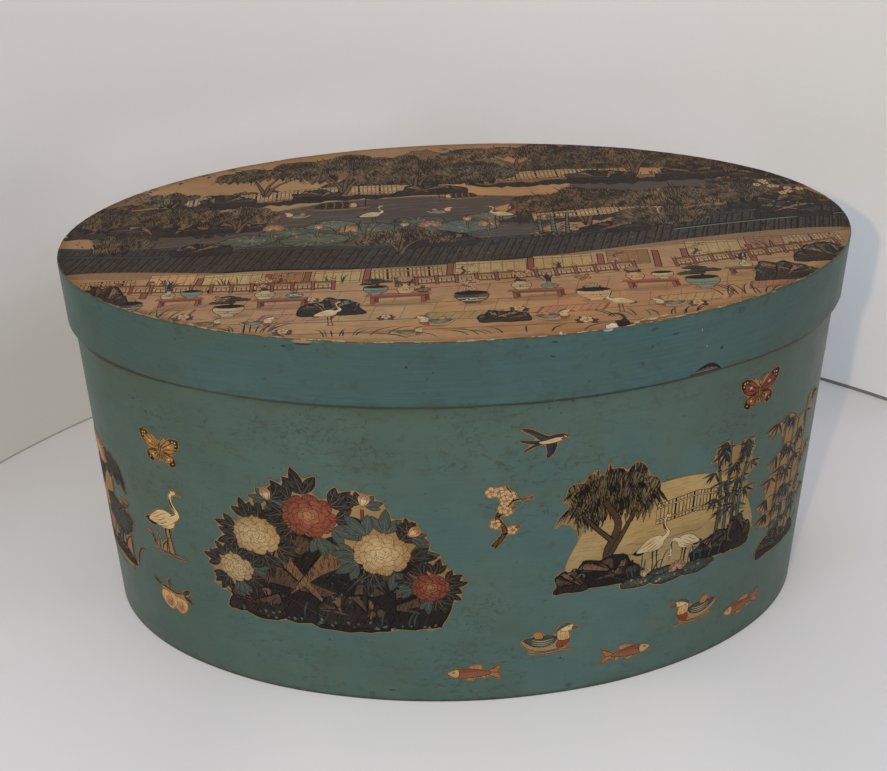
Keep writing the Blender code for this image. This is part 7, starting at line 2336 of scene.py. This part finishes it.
# painted light and shade on the table: lighter in front of the box and to its right, darker far to the left
FLOOR = matte("table", 0.74, (1.0, 0.985, 1.0), 1, zones=(
    (((0, 170, 90), (0, -150, -80), (1, -95, -125)), (1.09, 1.09, 1.08)),
    (((0, -180, -225), (1, -60, -10)), (0.94, 0.94, 0.92)),
    (((0, 190, 218), (1, -20, 45), (1, 150, 110)), (1.07, 1.07, 1.09)),
))
# painted light and shade on the backdrop: bluer and lighter low on the right, lighter in bands higher up, darker low on
# the left
SHEET = matte("backdrop", 0.74, (1.0, 0.985, 0.965), 2, ((1.12, 1.18, 1.26), (1.07, 1.06, 1.09)), one_sided=True, zones=(
    (((2, 112, 165), (2, 226, 182), (0, 60, -60), (0, -272, -200)), (1.15, 1.14, 1.18)),
    (((2, 100, 130), (2, 190, 150), (0, -200, -250)), (1.08, 1.07, 1.09)),
    (((2, 112, 150), (2, 215, 175), (0, 0, 70), (0, 255, 210)), (1.06, 1.06, 1.08)),
    (((2, 112, 60), (0, 60, -60)), (0.95, 0.95, 0.93)),
))
# painted shade: a dark strip along the backdrop's foot where it meets the table, lighter in the middle and darker to
# the right
FOOT_SHADE = matte("backdrop_foot_shade", 0.34, (1.0, 0.97, 0.95), 3, one_sided=True, zones=(
    (((0, 60, -60),), (1.28, 1.25, 1.25)),
    (((0, 150, 290),), (0.58, 0.55, 0.56)),
))
R = 6.0
stand("table", [(-R, -R, 0), (R, -R, 0), (R, R, 0), (-R, R, 0)], [(0, 1, 2, 3)], FLOOR)
bend = np.radians(np.linspace(12, 168, 105))
foot = np.column_stack([0.021 + 0.422 * np.cos(bend), -0.144 + 0.422 * np.sin(bend)])
# the lowest row of the sheet is the strip of painted shade along its foot, taller to the right
gap = 0.0014 + 0.0012 * np.clip((foot[:, 0] - 0.05) / 0.24, 0, 1)
verts = [(x, y, z) for row in (gap * 0, gap, gap * 0 + 0.9) for (x, y), z in zip(foot.tolist(), row.tolist())]
n = len(foot)
quads = lambda r: [(r * n + k, (r + 1) * n + k, (r + 1) * n + k + 1, r * n + k + 1) for k in range(n - 1)]
sheet_ob = stand("backdrop", verts, quads(0) + quads(1), FOOT_SHADE)
sheet_ob.data.materials.append(SHEET)
sheet_ob.data.polygons.foreach_set("material_index", np.array([0] * (n - 1) + [1] * (n - 1), np.int32))
sheet_ob.data.shade_smooth()

world = bpy.data.worlds.new("studio")
world.use_nodes = True
world.node_tree.nodes["Background"].inputs[0].default_value = (0.88, 0.93, 1.0, 1)
world.node_tree.nodes["Background"].inputs[1].default_value = 0.82
scene.world = world


def lamp(name, place, aim, size, power, colour):
    d = bpy.data.lights.new(name, "AREA")
    d.shape = "RECTANGLE"
    d.size, d.size_y = size
    d.energy = power
    d.color = colour
    o = bpy.data.objects.new(name, d)
    scene.collection.objects.link(o)
    o.location = place
    o.rotation_euler = (Vector(aim) - Vector(place)).to_track_quat("-Z", "Y").to_euler()
    return o


lamp("key", (-0.65, -1.62, 0.98), (0.05, 0, 0.1), (0.03, 0.03), 8.2, (1.0, 0.70, 0.36))
lamp("window", (-1.1, -1.7, 1.7), (0, 0, 0.1), (2.0, 1.4), 15.0, (0.88, 0.95, 1.0))
